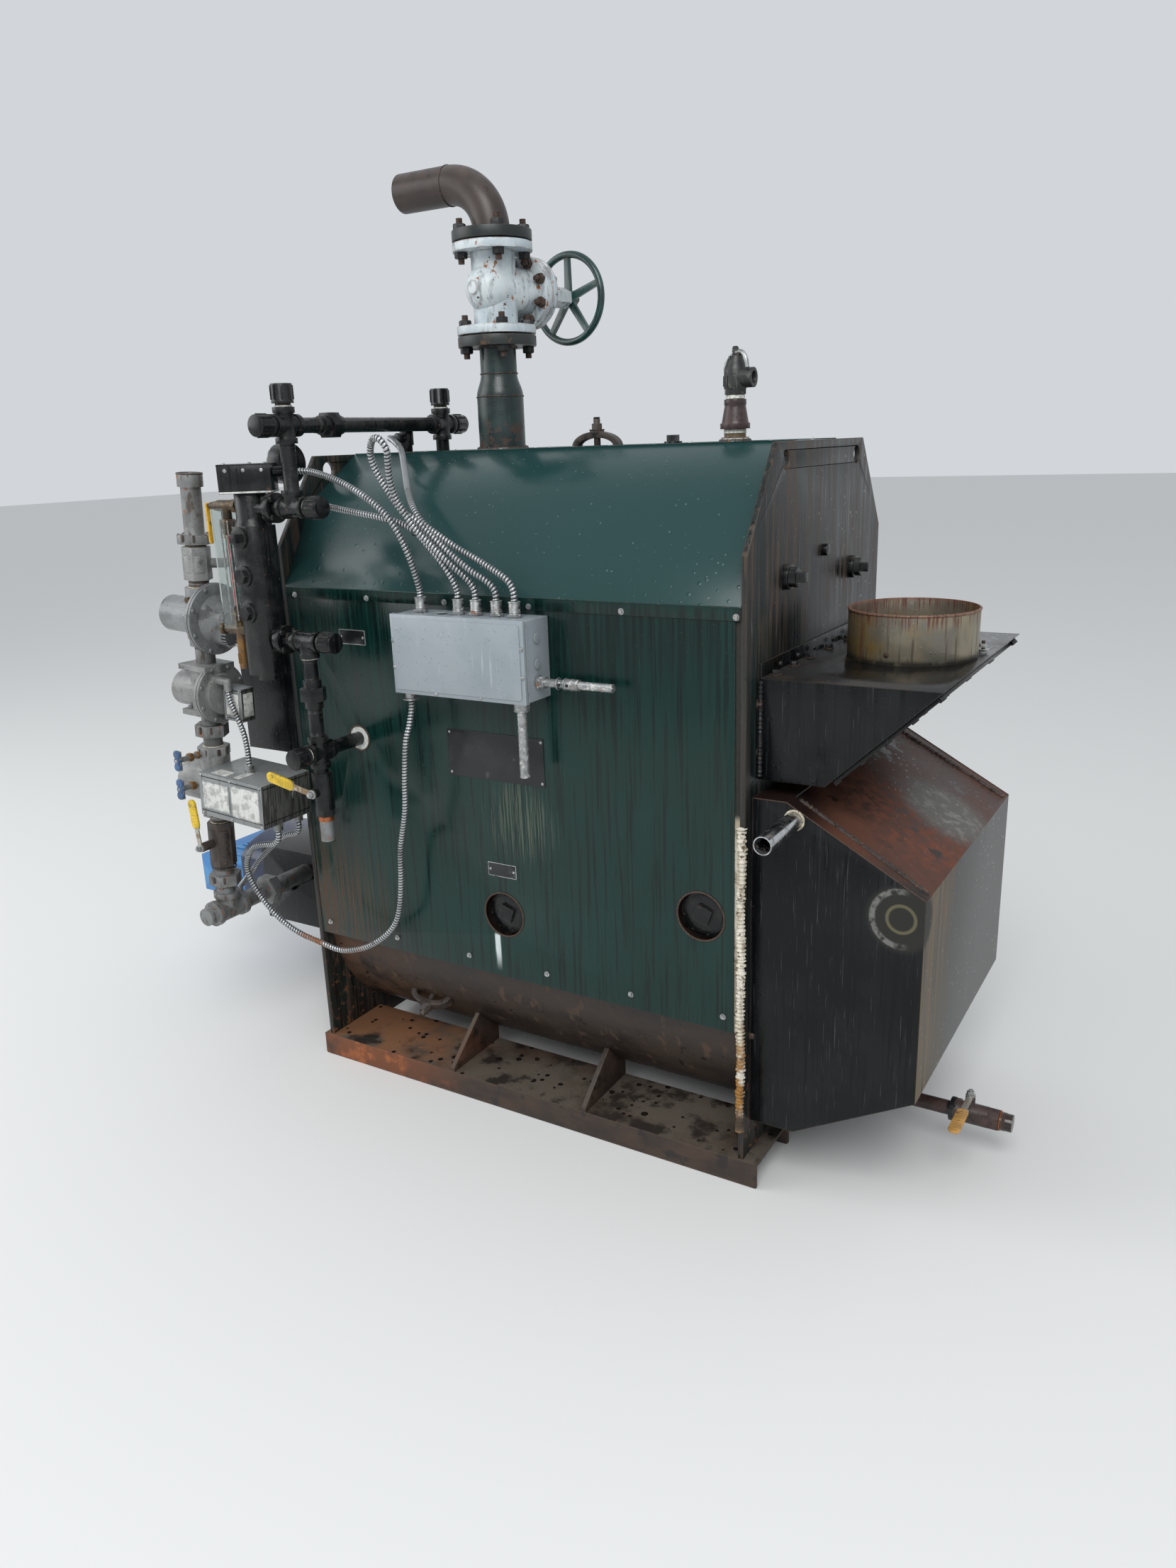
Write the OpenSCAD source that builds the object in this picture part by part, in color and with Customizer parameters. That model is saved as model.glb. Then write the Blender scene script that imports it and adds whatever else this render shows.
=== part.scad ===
// Packaged steam boiler on a channel skid, with its steam valve, water column,
// gas train, control box and flue boxes. Millimetres, +Z up, +X towards the flue.

/* [End plates and skid] */
// Length over the two end plates
plates_length = 1232; // [1000:1:1600]
// Thickness of an end plate
plate_t = 12.7; // [8:0.1:20]
// Half width of an end plate
plate_half_w = 411.5; // [400:0.5:480]
// Height where the plate's shoulder starts
plate_shoulder_z = 1388; // [1340:1:1450]
// Height of the plate's flat top
plate_top_z = 1594; // [1580:1:1700]
// Half width of the plate's flat top
plate_top_half_w = 264.5; // [200:0.5:300]
// Diameter of a lifting hole
lift_hole_d = 40; // [25:1:60]
// Distance of a lifting hole from the middle
lift_hole_y = 220; // [180:1:240]
// Depth of a lifting hole below the flat top
lift_hole_drop = 36; // [30:1:60]
// Height of the skid channel
skid_h = 63; // [50:1:90]
// Width of the skid channel
skid_w = 200; // [150:1:230]
// Wall of the skid channel
skid_wall = 10; // [6:0.5:16]
// How far the skid's face stands out past the plate's edge
skid_proud = 5.5; // [0:0.5:30]
// How far the skid runs past the left plate
skid_left = 17; // [0:1:60]
// How far the skid runs past the right plate
skid_right = 34; // [0:1:60]

/* [Vessel and jacket] */
// Outer radius of the vessel's round top and bottom
vessel_r = 380; // [340:1:395]
// Wall of the vessel
vessel_wall = 10; // [6:0.5:16]
// Height of the bottom round's centre
vessel_low_z = 414; // [400:1:460]
// Height of the top round's centre
vessel_high_z = 1189; // [1100:1:1200]
// Distance of the jacket's face from the middle
jacket_y = 410; // [405:0.5:470]
// Thickness of the jacket sheet
jacket_t = 3; // [1.5:0.5:6]
// Height of the jacket's lower edge
jacket_foot_z = 371; // [330:1:420]
// Height of the roof strip's lower edge
roof_strip_z = 1264; // [1230:1:1280]
// Height where the roof's first slope starts
roof_eave_z = 1291; // [1282:1:1330]
// Distance of the roof's crease from the middle
roof_crease_y = 299.5; // [280:0.5:330]
// Height of the roof's crease
roof_crease_z = 1481.5; // [1440:0.5:1520]
// Half width of the roof's flat top
roof_flat_y = 119; // [80:1:160]
// Gap between a jacket panel's end and the right plate
jacket_gap = 12; // [6:1:30]

/* [Steam outlet] */
// Distance of the steam outlet from the middle, along the boiler
steam_x = -220; // [-260:1:-190]
// Outer diameter of the large steam pipe
steam_pipe_d = 114.3; // [108:0.1:141.3]
// Outer diameter of the small steam pipe
steam_small_d = 88.9; // [60.3:0.1:95]
// Wall of the steam pipes
steam_wall = 6; // [4:0.5:9]
// Height where the reducer starts
reducer_z = 1719; // [1700:1:1760]
// Height of the reducer
reducer_h = 53; // [40:1:70]
// Outer diameter of a steam flange
flange_d = 190.5; // [185:0.5:220]
// Thickness of a steam flange
flange_t = 24; // [18:0.5:26]
// Bolt circle of a steam flange
flange_pcd = 152.4; // [148:0.1:164]
// Diameter of a flange bolt hole
flange_hole_d = 19; // [14:1:20]
// Height of the lower pipe flange's underside
flange_low_z = 1833; // [1810:1:1850]
// Height of the gate valve between its flange faces
valve_h = 203; // [195:1:240]
// Gap between a pipe flange and the valve's flange, filled by their raised faces
gasket_t = 4; // [2:0.5:8]
// Height of the elbow's horizontal centre line
elbow_z = 2203; // [2200:1:2240]
// Bend radius of the elbow
elbow_r = 114.3; // [95:0.1:118]
// Reach of the outlet's open end from the steam pipe
outlet_reach = 258; // [200:1:320]
// Angle of the bonnet from the boiler's length
bonnet_turn = 83.6; // [60:0.1:120]
// Reach of the handwheel's centre from the steam pipe
handwheel_reach = 289; // [285:1:320]
// Diameter of the handwheel
handwheel_d = 228.6; // [180:0.1:260]
// Thickness of the handwheel's rim
handwheel_rim_d = 18; // [14:1:24]

/* [Safety valve and top fittings] */
// Distance of the safety valve from the middle
safety_x = 409; // [380:1:440]
// Outer diameter of the safety valve's nipple
safety_nipple_d = 48.3; // [33.4:0.1:52]
// Width of the safety valve's bell reducer
bell_d = 66; // [60:1:80]
// Distance of the top handhole from the middle
top_handhole_x = 54; // [20:1:90]
// Length of a handhole's yoke
yoke_l = 127; // [110:1:150]
// Distance of the top plug from the middle
top_plug_x = 255; // [220:1:290]

/* [Control box] */
// Left side of the control box
box_left_x = -194; // [-210:1:-180]
// Width of the control box
box_w = 355; // [340:1:420]
// Height of the control box's lower face
box_z = 1079; // [1000:1:1080]
// Height of the control box
box_h = 178; // [150:1:184]
// Depth of the control box
box_d = 100; // [80:1:130]
// Sheet of the control box
box_sheet = 2; // [1:0.5:4]
// Depth of the cover's rim
cover_rim = 12; // [8:1:20]

/* [Water column] */
// Place of the vertical equalizing line along the boiler
riser_x = -408; // [-430:1:-390]
// Place of the vertical equalizing line across the boiler
riser_y = -550; // [-580:1:-530]
// Outer diameter of the equalizing pipe
pipe_d = 33.4; // [26.7:0.1:40]
// Outer diameter of a pipe fitting's collar
fitting_d = 48; // [44:1:54]
// Outer diameter of a pipe fitting's body
fitting_body_d = 42; // [40:1:46]
// Length of a fitting from its centre to a collar's face
fitting_reach = 38; // [32:1:42]
// Height of the top cross
top_cross_z = 1661; // [1655:1:1680]
// Height of the column's upper tee
upper_tee_z = 1487; // [1480:1:1500]
// Height of the column's lower tee
lower_tee_z = 1189; // [1160:1:1210]
// Height of the bottom cross
low_cross_z = 927; // [915:1:960]
// Place of the column along the boiler
column_x = -540; // [-560:1:-530]
// Width of the column's body
column_w = 84; // [76:1:92]
// Diameter of the column's neck
column_neck_d = 72; // [60:1:76]
// Height of the column's foot
column_foot_z = 1107; // [1080:1:1140]
// Height of the column's shoulder
column_shoulder_z = 1448; // [1444:1:1452]
// Height of the column's top
column_top_z = 1520; // [1518:1:1530]
// Width of the head box
head_box_w = 116; // [100:1:130]
// Depth of the head box
head_box_d = 92; // [80:1:110]
// Height of the head box
head_box_h = 63; // [50:1:80]
// Turn of the head box
head_box_turn = 36; // [20:1:50]
// Diameter of the pressure gauge
gauge_d = 90; // [80:1:100]
// Height of the drain valve's stem
drain_valve_z = 832; // [825:1:838]
// Length of the drain valve's lever
drain_lever_l = 146; // [120:1:160]

/* [Gas train] */
// Outer diameter of the gas pipe
gas_pipe_d = 48.3; // [42.2:0.1:54]
// Place of the gas train's foot along the boiler
gas_x = -860; // [-880:1:-850]
// Place of the gas train across the boiler
gas_y = -500; // [-520:1:-490]
// Height of the gas train's foot
gas_z = 425; // [410:1:440]
// Length of the gas pipe above the upper valve
gas_top_l = 173; // [150:1:230]
// Lean of the gas train towards the boiler
gas_lean = 3.5; // [0:0.5:5]
// Outer diameter of the gas fittings' collars
gas_fitting_d = 68; // [62:1:74]
// Height of the lower gas valve's stem above the foot
gas_lower_z = 198; // [190:1:206]
// Height of the upper gas valve's stem above the foot
gas_upper_z = 928; // [924:1:932]
// Turn of the upper gas valve's stem from the boiler's length
gas_upper_turn = 50; // [30:1:70]
// Diameter of the regulator's disc
regulator_d = 176; // [160:1:184]
// Diameter of the diaphragm valve's disc
diaphragm_d = 152; // [130:1:150]
// Reach of the burner's black wind box from the left plate
wind_box_l = 423; // [410:1:440]
// Reach of the burner's housing past the wind box
burner_l = 131; // [110:1:150]

/* [Flue boxes] */
// Half width of the upper flue box
flue_half_w = 349; // [300:1:375]
// Height of the upper flue box's top
flue_top_z = 1142; // [1120:1:1200]
// Height of the upper flue box's floor
flue_foot_z = 931; // [920:1:980]
// Depth of the upper flue box at its top
flue_top_l = 365; // [350:1:420]
// Depth of the upper flue box at its floor
flue_foot_l = 142; // [120:1:180]
// Sheet of the flue boxes
flue_sheet = 5; // [3:0.5:8]
// Outer diameter of the flue collar
collar_d = 273; // [254:0.5:290]
// Height of the flue collar
collar_h = 105; // [80:1:140]
// Place of the flue collar's centre past the plate
collar_reach = 208; // [195:1:210]
// Half width of the rear box
rear_half_w = 379; // [350:1:400]
// Height of the rear box's top at the plate
rear_top_z = 900; // [890:1:915]
// Depth of the rear box's flat top
rear_flat_l = 74; // [40:1:100]
// Height of the rear box's outer shoulder
rear_shoulder_z = 737; // [700:1:780]
// Depth of the rear box
rear_l = 362; // [320:1:400]
// Height of the rear box's outer foot
rear_foot_z = 293; // [270:1:330]
// Depth of the rear box's lowest edge
rear_keel_l = 101; // [80:1:130]
// Height of the rear box's lowest edge
rear_keel_z = 147; // [145:1:170]
// Depth of the front smoke box
smoke_box_l = 251; // [200:1:300]
// Height of the front smoke box's foot
smoke_box_z = 840; // [800:1:900]
// Outer diameter of the sight tube
sight_d = 38; // [30:1:50]
// Length of the sight tube
sight_l = 168; // [100:1:200]
// Length of the blowdown pipe
blowdown_l = 503; // [490:1:560]
// Place of the blowdown valve past the plate
blowdown_valve_x = 408; // [400:1:430]
// Length of the blowdown valve's lever
blowdown_lever_l = 165; // [120:1:190]

/* [Hidden] */
// One overrun serves every cut
cut = 1;
// Gap between pieces that seat without touching
seat = 0.3;
// Running clearance of a stem in its housing
stem_gap = 0.05;
end_x = plates_length / 2;
inner_x = end_x - plate_t;
inner_l = plates_length - 2 * plate_t;
// Face of the skid, and its inner edge
skid_face_y = plate_half_w + skid_proud;
skid_inner_y = skid_face_y - skid_w;
vessel_top_z = vessel_high_z + vessel_r;
round_fn = 64;
small_fn = 32;

// A rod from one point along +X, +Y or +Z, or back along it where the length is negative
module rod_x(p, l, d, sides = small_fn) {
    translate(p) rotate([0, l < 0 ? -90 : 90, 0]) cylinder(d = d, h = abs(l), $fn = sides);
}
module rod_y(p, l, d, sides = small_fn) {
    translate(p) rotate([l < 0 ? 90 : -90, 0, 0]) cylinder(d = d, h = abs(l), $fn = sides);
}
module rod_z(p, l, d, sides = small_fn) {
    translate(p) rotate([l < 0 ? 180 : 0, 0, 0]) cylinder(d = d, h = abs(l), $fn = sides);
}
// A hexagon's diameter over its corners, from its width over the flats
function corners(flats) = flats / cos(30);
// An outline in Y and Z carried along X
module along_x(x, l) {
    translate([x, 0, 0]) rotate([90, 0, 90]) linear_extrude(l) children();
}
// An outline in X and Z carried across the boiler, centred
module across_y(half_w) {
    translate([0, half_w, 0]) rotate([90, 0, 0]) linear_extrude(2 * half_w) children();
}
// A rectangle with round corners, centred
module round_rect(w, d, r) {
    square([w - 2 * r, d], center = true);
    square([w, d - 2 * r], center = true);
    for (x = [-1, 1], y = [-1, 1]) translate([x * (w / 2 - r), y * (d / 2 - r)])
        circle(r = r, $fn = small_fn);
}
// A smooth rise from 0 to 1
function s_curve(t) = (1 - cos(180 * t)) / 2;

module skid(side) {
    color("saddlebrown") mirror([0, side, 0])
        along_x(-end_x - skid_left, plates_length + skid_left + skid_right) difference() {
            translate([-skid_face_y, 0]) square([skid_w, skid_h]);
            translate([-skid_face_y + skid_wall, -cut])
                square([skid_w - 2 * skid_wall, skid_h - skid_wall + cut]);
        }
}

// Gussets carry the vessel on the skid
gusset_t = 12.7;
gusset_xs = [-189, 204];
gusset_top_z = 176;
gusset_toe = 12;
function vessel_y(z) = sqrt(pow(vessel_r, 2) - pow(vessel_low_z - z, 2));
module skid_gussets() {
    color("saddlebrown") for (x = gusset_xs, side = [0, 1])
        mirror([0, side, 0]) difference() {
            along_x(x - gusset_t / 2, gusset_t) polygon([
                [-skid_face_y, skid_h], [-skid_face_y, skid_h + gusset_toe],
                [-vessel_y(gusset_top_z), gusset_top_z], [-skid_inner_y, gusset_top_z],
                [-skid_inner_y, skid_h]
            ]);
            translate([x, 0, vessel_low_z]) rotate([0, 90, 0])
                cylinder(r = vessel_r, h = gusset_t + 2 * cut, center = true, $fn = round_fn);
        }
}

plate_tongue_z = 25;
tongue_gap = 4;
module plate_outline() {
    tongue = skid_inner_y - tongue_gap;
    polygon([
        [-plate_half_w, skid_h], [-tongue, skid_h], [-tongue, plate_tongue_z],
        [tongue, plate_tongue_z], [tongue, skid_h], [plate_half_w, skid_h],
        [plate_half_w, plate_shoulder_z], [plate_top_half_w, plate_top_z],
        [-plate_top_half_w, plate_top_z], [-plate_half_w, plate_shoulder_z]
    ]);
}
module end_plate(x) {
    color("dimgray") difference() {
        along_x(x, plate_t) plate_outline();
        for (side = [-1, 1])
            rod_x([x - cut, side * lift_hole_y, plate_top_z - lift_hole_drop],
                plate_t + 2 * cut, lift_hole_d);
    }
}

module vessel_outline(inset) {
    for (z = [vessel_low_z, vessel_high_z])
        translate([0, z]) circle(r = vessel_r - inset, $fn = round_fn);
    translate([-vessel_r + inset, vessel_low_z])
        square([2 * (vessel_r - inset), vessel_high_z - vessel_low_z]);
}
module pressure_shell() {
    color("saddlebrown") along_x(-inner_x, inner_l) difference() {
        vessel_outline(0);
        vessel_outline(vessel_wall);
    }
}
// What is cut from a nozzle so that it seats on the vessel's top round
module vessel_cut() {
    rod_x([-inner_x, 0, vessel_high_z], inner_l, 2 * (vessel_r + seat), round_fn);
}

washout_hole_d = 110;
washouts = [[-1, 535], [514, 630]];
branch_hole_d = 62;
module jacket(side) {
    color("darkgreen") mirror([0, side, 0]) difference() {
        translate([-inner_x, -jacket_y, jacket_foot_z])
            cube([inner_l - jacket_gap, jacket_t, roof_eave_z - jacket_foot_z - jacket_t]);
        if (side == 0) {
            for (p = washouts)
                rod_y([p[0], -jacket_y - cut, p[1]], jacket_t + 2 * cut, washout_hole_d);
            rod_y([riser_x, -jacket_y - cut, low_cross_z], jacket_t + 2 * cut, branch_hole_d);
        }
    }
}

// The roof is one folded sheet, with its strips hanging over the side panels
module roof_outline(inset) {
    polygon([
        [-jacket_y - jacket_t + inset, roof_strip_z], [-jacket_y - jacket_t + inset, roof_eave_z],
        [-roof_crease_y, roof_crease_z - inset], [-roof_flat_y, plate_top_z - inset],
        [roof_flat_y, plate_top_z - inset], [roof_crease_y, roof_crease_z - inset],
        [jacket_y + jacket_t - inset, roof_eave_z], [jacket_y + jacket_t - inset, roof_strip_z]
    ]);
}
module roof_hole(x, y, d) {
    rod_z([x, y, roof_crease_z], plate_top_z - roof_crease_z + cut, d + 2 * seat);
}
module roof() {
    color("darkgreen") difference() {
        along_x(-inner_x, inner_l) difference() {
            roof_outline(0);
            translate([0, -cut]) roof_outline(jacket_t);
        }
        roof_hole(steam_x, 0, steam_pipe_d);
        roof_hole(safety_x, 0, safety_nipple_d);
        roof_hole(riser_x, 0, pipe_d);
        roof_hole(top_plug_x, 0, plug_d);
        roof_hole(top_handhole_x, 0, handhole_stud_d);
        roof_hole(probe_x, probe_y, probe_d);
    }
}

// Insulation shows in the slot between a panel and the right plate
insulation_t = 24;
module edge_insulation() {
    color("wheat") for (side = [0, 1]) mirror([0, side, 0])
        translate([inner_x - 2 * jacket_gap, -jacket_y + jacket_t + seat, jacket_foot_z])
            cube([2 * jacket_gap - seat, insulation_t, roof_strip_z - jacket_foot_z]);
}

// Steam outlet: pipe, reducer, flanges, gate valve and elbow on one upright line
nozzle_sink = 10;
steam_bore = steam_small_d - 2 * steam_wall;
// A pipe stops this far short of its flange's face
pipe_setback = 5;
reducer_steps = 8;
function reducer_r(big, small, t) = (big + (small - big) * s_curve(t)) / 2;
function reducer_side(big, small) = [for (i = [0:reducer_steps])
    [reducer_r(big, small, i / reducer_steps), reducer_z + reducer_h * i / reducer_steps]];
module steam_pipe() {
    foot_z = vessel_top_z - nozzle_sink;
    top_z = flange_low_z + flange_t - pipe_setback;
    outer = reducer_side(steam_pipe_d, steam_small_d);
    inner = reducer_side(steam_pipe_d - 2 * steam_wall, steam_bore);
    color("black") difference() {
        translate([steam_x, 0, 0]) rotate_extrude($fn = round_fn) polygon(concat(
            [[steam_pipe_d / 2 - steam_wall, foot_z], [steam_pipe_d / 2, foot_z]], outer,
            [[steam_small_d / 2, top_z], [steam_bore / 2, top_z]],
            [for (i = [reducer_steps:-1:0]) inner[i]]));
        vessel_cut();
    }
}
raised_d = 127;
slip_gap = 0.5;
valve_low_z = flange_low_z + flange_t + gasket_t;
valve_top_z = valve_low_z + valve_h;
flange_high_z = valve_top_z + gasket_t;
// A drilled flange with a raised face above it or, where the face is negative, below it
module flange_at(z, t, bore, face) {
    difference() {
        union() {
            translate([0, 0, z]) cylinder(d = flange_d, h = t, $fn = round_fn);
            translate([0, 0, min(z, z + face)])
                cylinder(d = raised_d, h = t + abs(face), $fn = round_fn);
        }
        rod_z([0, 0, z - gasket_t], t + 2 * gasket_t, bore);
        for (a = [45:90:315]) rotate(a)
            rod_z([flange_pcd / 2, 0, z - gasket_t], t + 2 * gasket_t, flange_hole_d);
    }
}
module steam_flanges() {
    color("peru") translate([steam_x, 0, 0]) {
        flange_at(flange_low_z, flange_t, steam_small_d + 2 * slip_gap, gasket_t / 2);
        flange_at(flange_high_z, flange_t, steam_small_d + 2 * slip_gap, -gasket_t / 2);
    }
}
valve_flange_t = 19;
valve_neck_d = 106;
valve_barrel_d = 112;
valve_dome_reach = 76;
valve_pad_d = 30;
valve_pad_h = 4;
bonnet_flange_d = 168;
bonnet_face = 120;
valve_mid_z = valve_low_z + valve_h / 2;
module bonnet_frame() {
    translate([steam_x, 0, valve_mid_z]) rotate(bonnet_turn) children();
}
module gate_valve_body() {
    face = gasket_t / 2 - seat;
    color("silver") difference() {
        union() {
            translate([steam_x, 0, 0]) {
                flange_at(valve_low_z, valve_flange_t, steam_bore, -face);
                flange_at(valve_top_z - valve_flange_t, valve_flange_t, steam_bore, face);
                rod_z([0, 0, valve_low_z + valve_flange_t], valve_h - 2 * valve_flange_t,
                    valve_neck_d, round_fn);
            }
            bonnet_frame() {
                translate([valve_barrel_d / 2 - valve_dome_reach, 0, 0])
                    sphere(d = valve_barrel_d, $fn = round_fn);
                rod_x([valve_barrel_d / 2 - valve_dome_reach, 0, 0],
                    bonnet_face - valve_barrel_d / 2 + valve_dome_reach, valve_barrel_d, round_fn);
                rod_x([bonnet_face - valve_flange_t, 0, 0], valve_flange_t, bonnet_flange_d,
                    round_fn);
                rod_x([-valve_dome_reach - valve_pad_h, 0, 0], valve_neck_d / 2, valve_pad_d);
            }
        }
        rod_z([steam_x, 0, valve_low_z - gasket_t], valve_h + 2 * gasket_t, steam_bore, round_fn);
    }
}
bonnet_neck_d = 96;
bonnet_neck_l = 34;
gland_flange_d = 70;
gland_flange_t = 14;
gland_nut_flats = 44;
stem_d = 19;
hub_d = 42;
hub_l = 30;
module gate_valve_bonnet() {
    neck_x = bonnet_face + seat + valve_flange_t;
    gland_x = neck_x + bonnet_neck_l;
    nut_x = gland_x + gland_flange_t;
    color("silver") bonnet_frame() difference() {
        union() {
            rod_x([bonnet_face + seat, 0, 0], valve_flange_t, bonnet_flange_d, round_fn);
            translate([neck_x, 0, 0]) rotate([0, 90, 0]) cylinder(d1 = bonnet_neck_d,
                d2 = gland_flange_d - gland_flange_t, h = bonnet_neck_l, $fn = round_fn);
            rod_x([gland_x, 0, 0], gland_flange_t, gland_flange_d);
            rod_x([nut_x, 0, 0], handwheel_reach - hub_l / 2 - seat - nut_x,
                corners(gland_nut_flats), 6);
        }
        rod_x([neck_x, 0, 0], handwheel_reach, stem_d + 2 * stem_gap);
    }
}
spoke_t = 9;
spoke_root_w = 20;
spoke_tip_w = 15;
spokes = 5;
wheel_nut_flats = 28;
module gate_valve_handwheel() {
    rim_r = (handwheel_d - handwheel_rim_d) / 2;
    color("darkslategray") bonnet_frame() translate([handwheel_reach, 0, 0])
        rotate([0, 90, 0]) {
            rotate_extrude($fn = round_fn) translate([rim_r, 0])
                circle(d = handwheel_rim_d, $fn = small_fn);
            for (i = [0:spokes - 1]) rotate((i + 0.5) * 360 / spokes)
                linear_extrude(spoke_t, center = true) polygon([
                    [hub_d / 4, -spoke_root_w / 2], [rim_r, -spoke_tip_w / 2],
                    [rim_r, spoke_tip_w / 2], [hub_d / 4, spoke_root_w / 2]
                ]);
            translate([0, 0, -hub_l / 2]) cylinder(d = hub_d, h = hub_l, $fn = small_fn);
            translate([0, 0, hub_l / 2])
                cylinder(d = corners(wheel_nut_flats), h = stem_d / 2, $fn = 6);
            translate([0, 0, -hub_l / 2 - gland_flange_d])
                cylinder(d = stem_d, h = gland_flange_d + hub_l + stem_d, $fn = small_fn);
        }
}
module outlet_elbow_solid(d) {
    foot_z = flange_high_z + pipe_setback;
    rod_z([0, 0, foot_z], elbow_z - elbow_r - foot_z, d, round_fn);
    translate([-elbow_r, 0, elbow_z - elbow_r]) rotate([90, 0, 0])
        rotate_extrude(angle = 90, $fn = round_fn) translate([elbow_r, 0])
            circle(d = d, $fn = round_fn);
    rod_x([-elbow_r, 0, elbow_z], elbow_r - outlet_reach, d, round_fn);
}
module outlet_elbow() {
    color("saddlebrown") translate([steam_x, 0, 0]) difference() {
        outlet_elbow_solid(steam_small_d);
        outlet_elbow_solid(steam_bore);
        rod_z([0, 0, flange_high_z], pipe_setback + cut, steam_bore, round_fn);
        rod_x([-outlet_reach + cut, 0, elbow_z], -2 * cut, steam_bore, round_fn);
    }
}

// Safety valve: nipple with its bell reducer, and the valve with its side outlet
bell_z = 1622;
bell_h = 62;
bell_bead = 12;
bell_neck_d = 46;
weld_ring_d = 62;
weld_ring_h = 10;
safety_inlet_d = 33.4;
safety_hex_z = 1694;
safety_hex_flats = 44;
safety_hex_h = 12;
safety_body_d = 50;
safety_body_h = 40;
safety_cap_d = 30;
safety_cap_z = 1774;
safety_tip_d = 14;
safety_tip_h = 10;
safety_outlet_z = 1728;
safety_outlet_d = 42;
safety_outlet_bore = 27;
safety_outlet_reach = 44;
module safety_nipple() {
    color("darkred") difference() {
        translate([safety_x, 0, 0]) {
            rod_z([0, 0, vessel_top_z - nozzle_sink], bell_z - vessel_top_z + nozzle_sink,
                safety_nipple_d);
            rod_z([0, 0, plate_top_z + seat], weld_ring_h, weld_ring_d);
            rod_z([0, 0, bell_z], bell_bead, bell_d);
            translate([0, 0, bell_z + bell_bead]) cylinder(d1 = bell_d - bell_bead / 2,
                d2 = bell_neck_d, h = bell_h - 2 * bell_bead, $fn = small_fn);
            rod_z([0, 0, bell_z + bell_h - bell_bead], bell_bead, bell_neck_d + bell_bead / 4);
        }
        vessel_cut();
    }
}
module safety_valve() {
    body_z = safety_hex_z + safety_hex_h;
    color("darkgoldenrod") translate([safety_x, 0, 0]) difference() {
        union() {
            rod_z([0, 0, bell_z + bell_h], safety_hex_z - bell_z - bell_h, safety_inlet_d);
            rod_z([0, 0, safety_hex_z], safety_hex_h, corners(safety_hex_flats), 6);
            rod_z([0, 0, body_z], safety_body_h, safety_body_d);
            translate([0, 0, body_z + safety_body_h]) cylinder(d1 = safety_body_d,
                d2 = safety_cap_d, h = safety_cap_z - body_z - safety_body_h, $fn = small_fn);
            rod_z([0, 0, safety_cap_z], safety_tip_h, safety_tip_d);
            rod_x([0, 0, safety_outlet_z], safety_outlet_reach, safety_outlet_d);
        }
        rod_x([safety_inlet_d / 2, 0, safety_outlet_z], safety_outlet_reach, safety_outlet_bore);
    }
}

handhole_stud_d = 16;
yoke_rise = 34;
yoke_leg = 14;
yoke_w = 24;
yoke_boss_d = 34;
yoke_boss_h = 8;
yoke_nut_flats = 24;
yoke_nut_h = 14;
stud_tip = 10;
low_handhole_x = -319;
low_handhole_z = 205;
// A handhole: arched yoke over a stud with its nut
module handhole_yoke(foot) {
    nut_z = yoke_rise + yoke_boss_h / 2;
    rotate([90, 0, 0]) translate([0, 0, -yoke_w / 2]) linear_extrude(yoke_w) difference() {
        scale([1, 2 * yoke_rise / yoke_l]) circle(d = yoke_l, $fn = round_fn);
        scale([1, (yoke_rise - yoke_leg) / (yoke_l / 2 - yoke_leg)])
            circle(d = yoke_l - 2 * yoke_leg, $fn = round_fn);
        translate([-yoke_l, -yoke_l]) square([2 * yoke_l, yoke_l]);
    }
    rod_z([0, 0, yoke_rise - yoke_boss_h / 2], yoke_boss_h, yoke_boss_d);
    rod_z([0, 0, nut_z], yoke_nut_h, corners(yoke_nut_flats), 6);
    rod_z([0, 0, -foot], foot + nut_z + yoke_nut_h + stud_tip, handhole_stud_d);
}
module handholes() {
    color("gray") {
        translate([top_handhole_x, 0, plate_top_z])
            handhole_yoke(plate_top_z - vessel_top_z - seat);
        translate([low_handhole_x, -vessel_y(low_handhole_z), low_handhole_z])
            rotate([90 + asin((vessel_low_z - low_handhole_z) / vessel_r), 0, 0])
                handhole_yoke(0);
    }
}

plug_d = 42;
plug_square = 22;
plug_square_h = 14;
plug_rise = 6;
washout_plug_d = 88;
washout_plug_t = 16;
washout_square = 36;
washout_square_h = 24;
washout_turn = 20;
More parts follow.
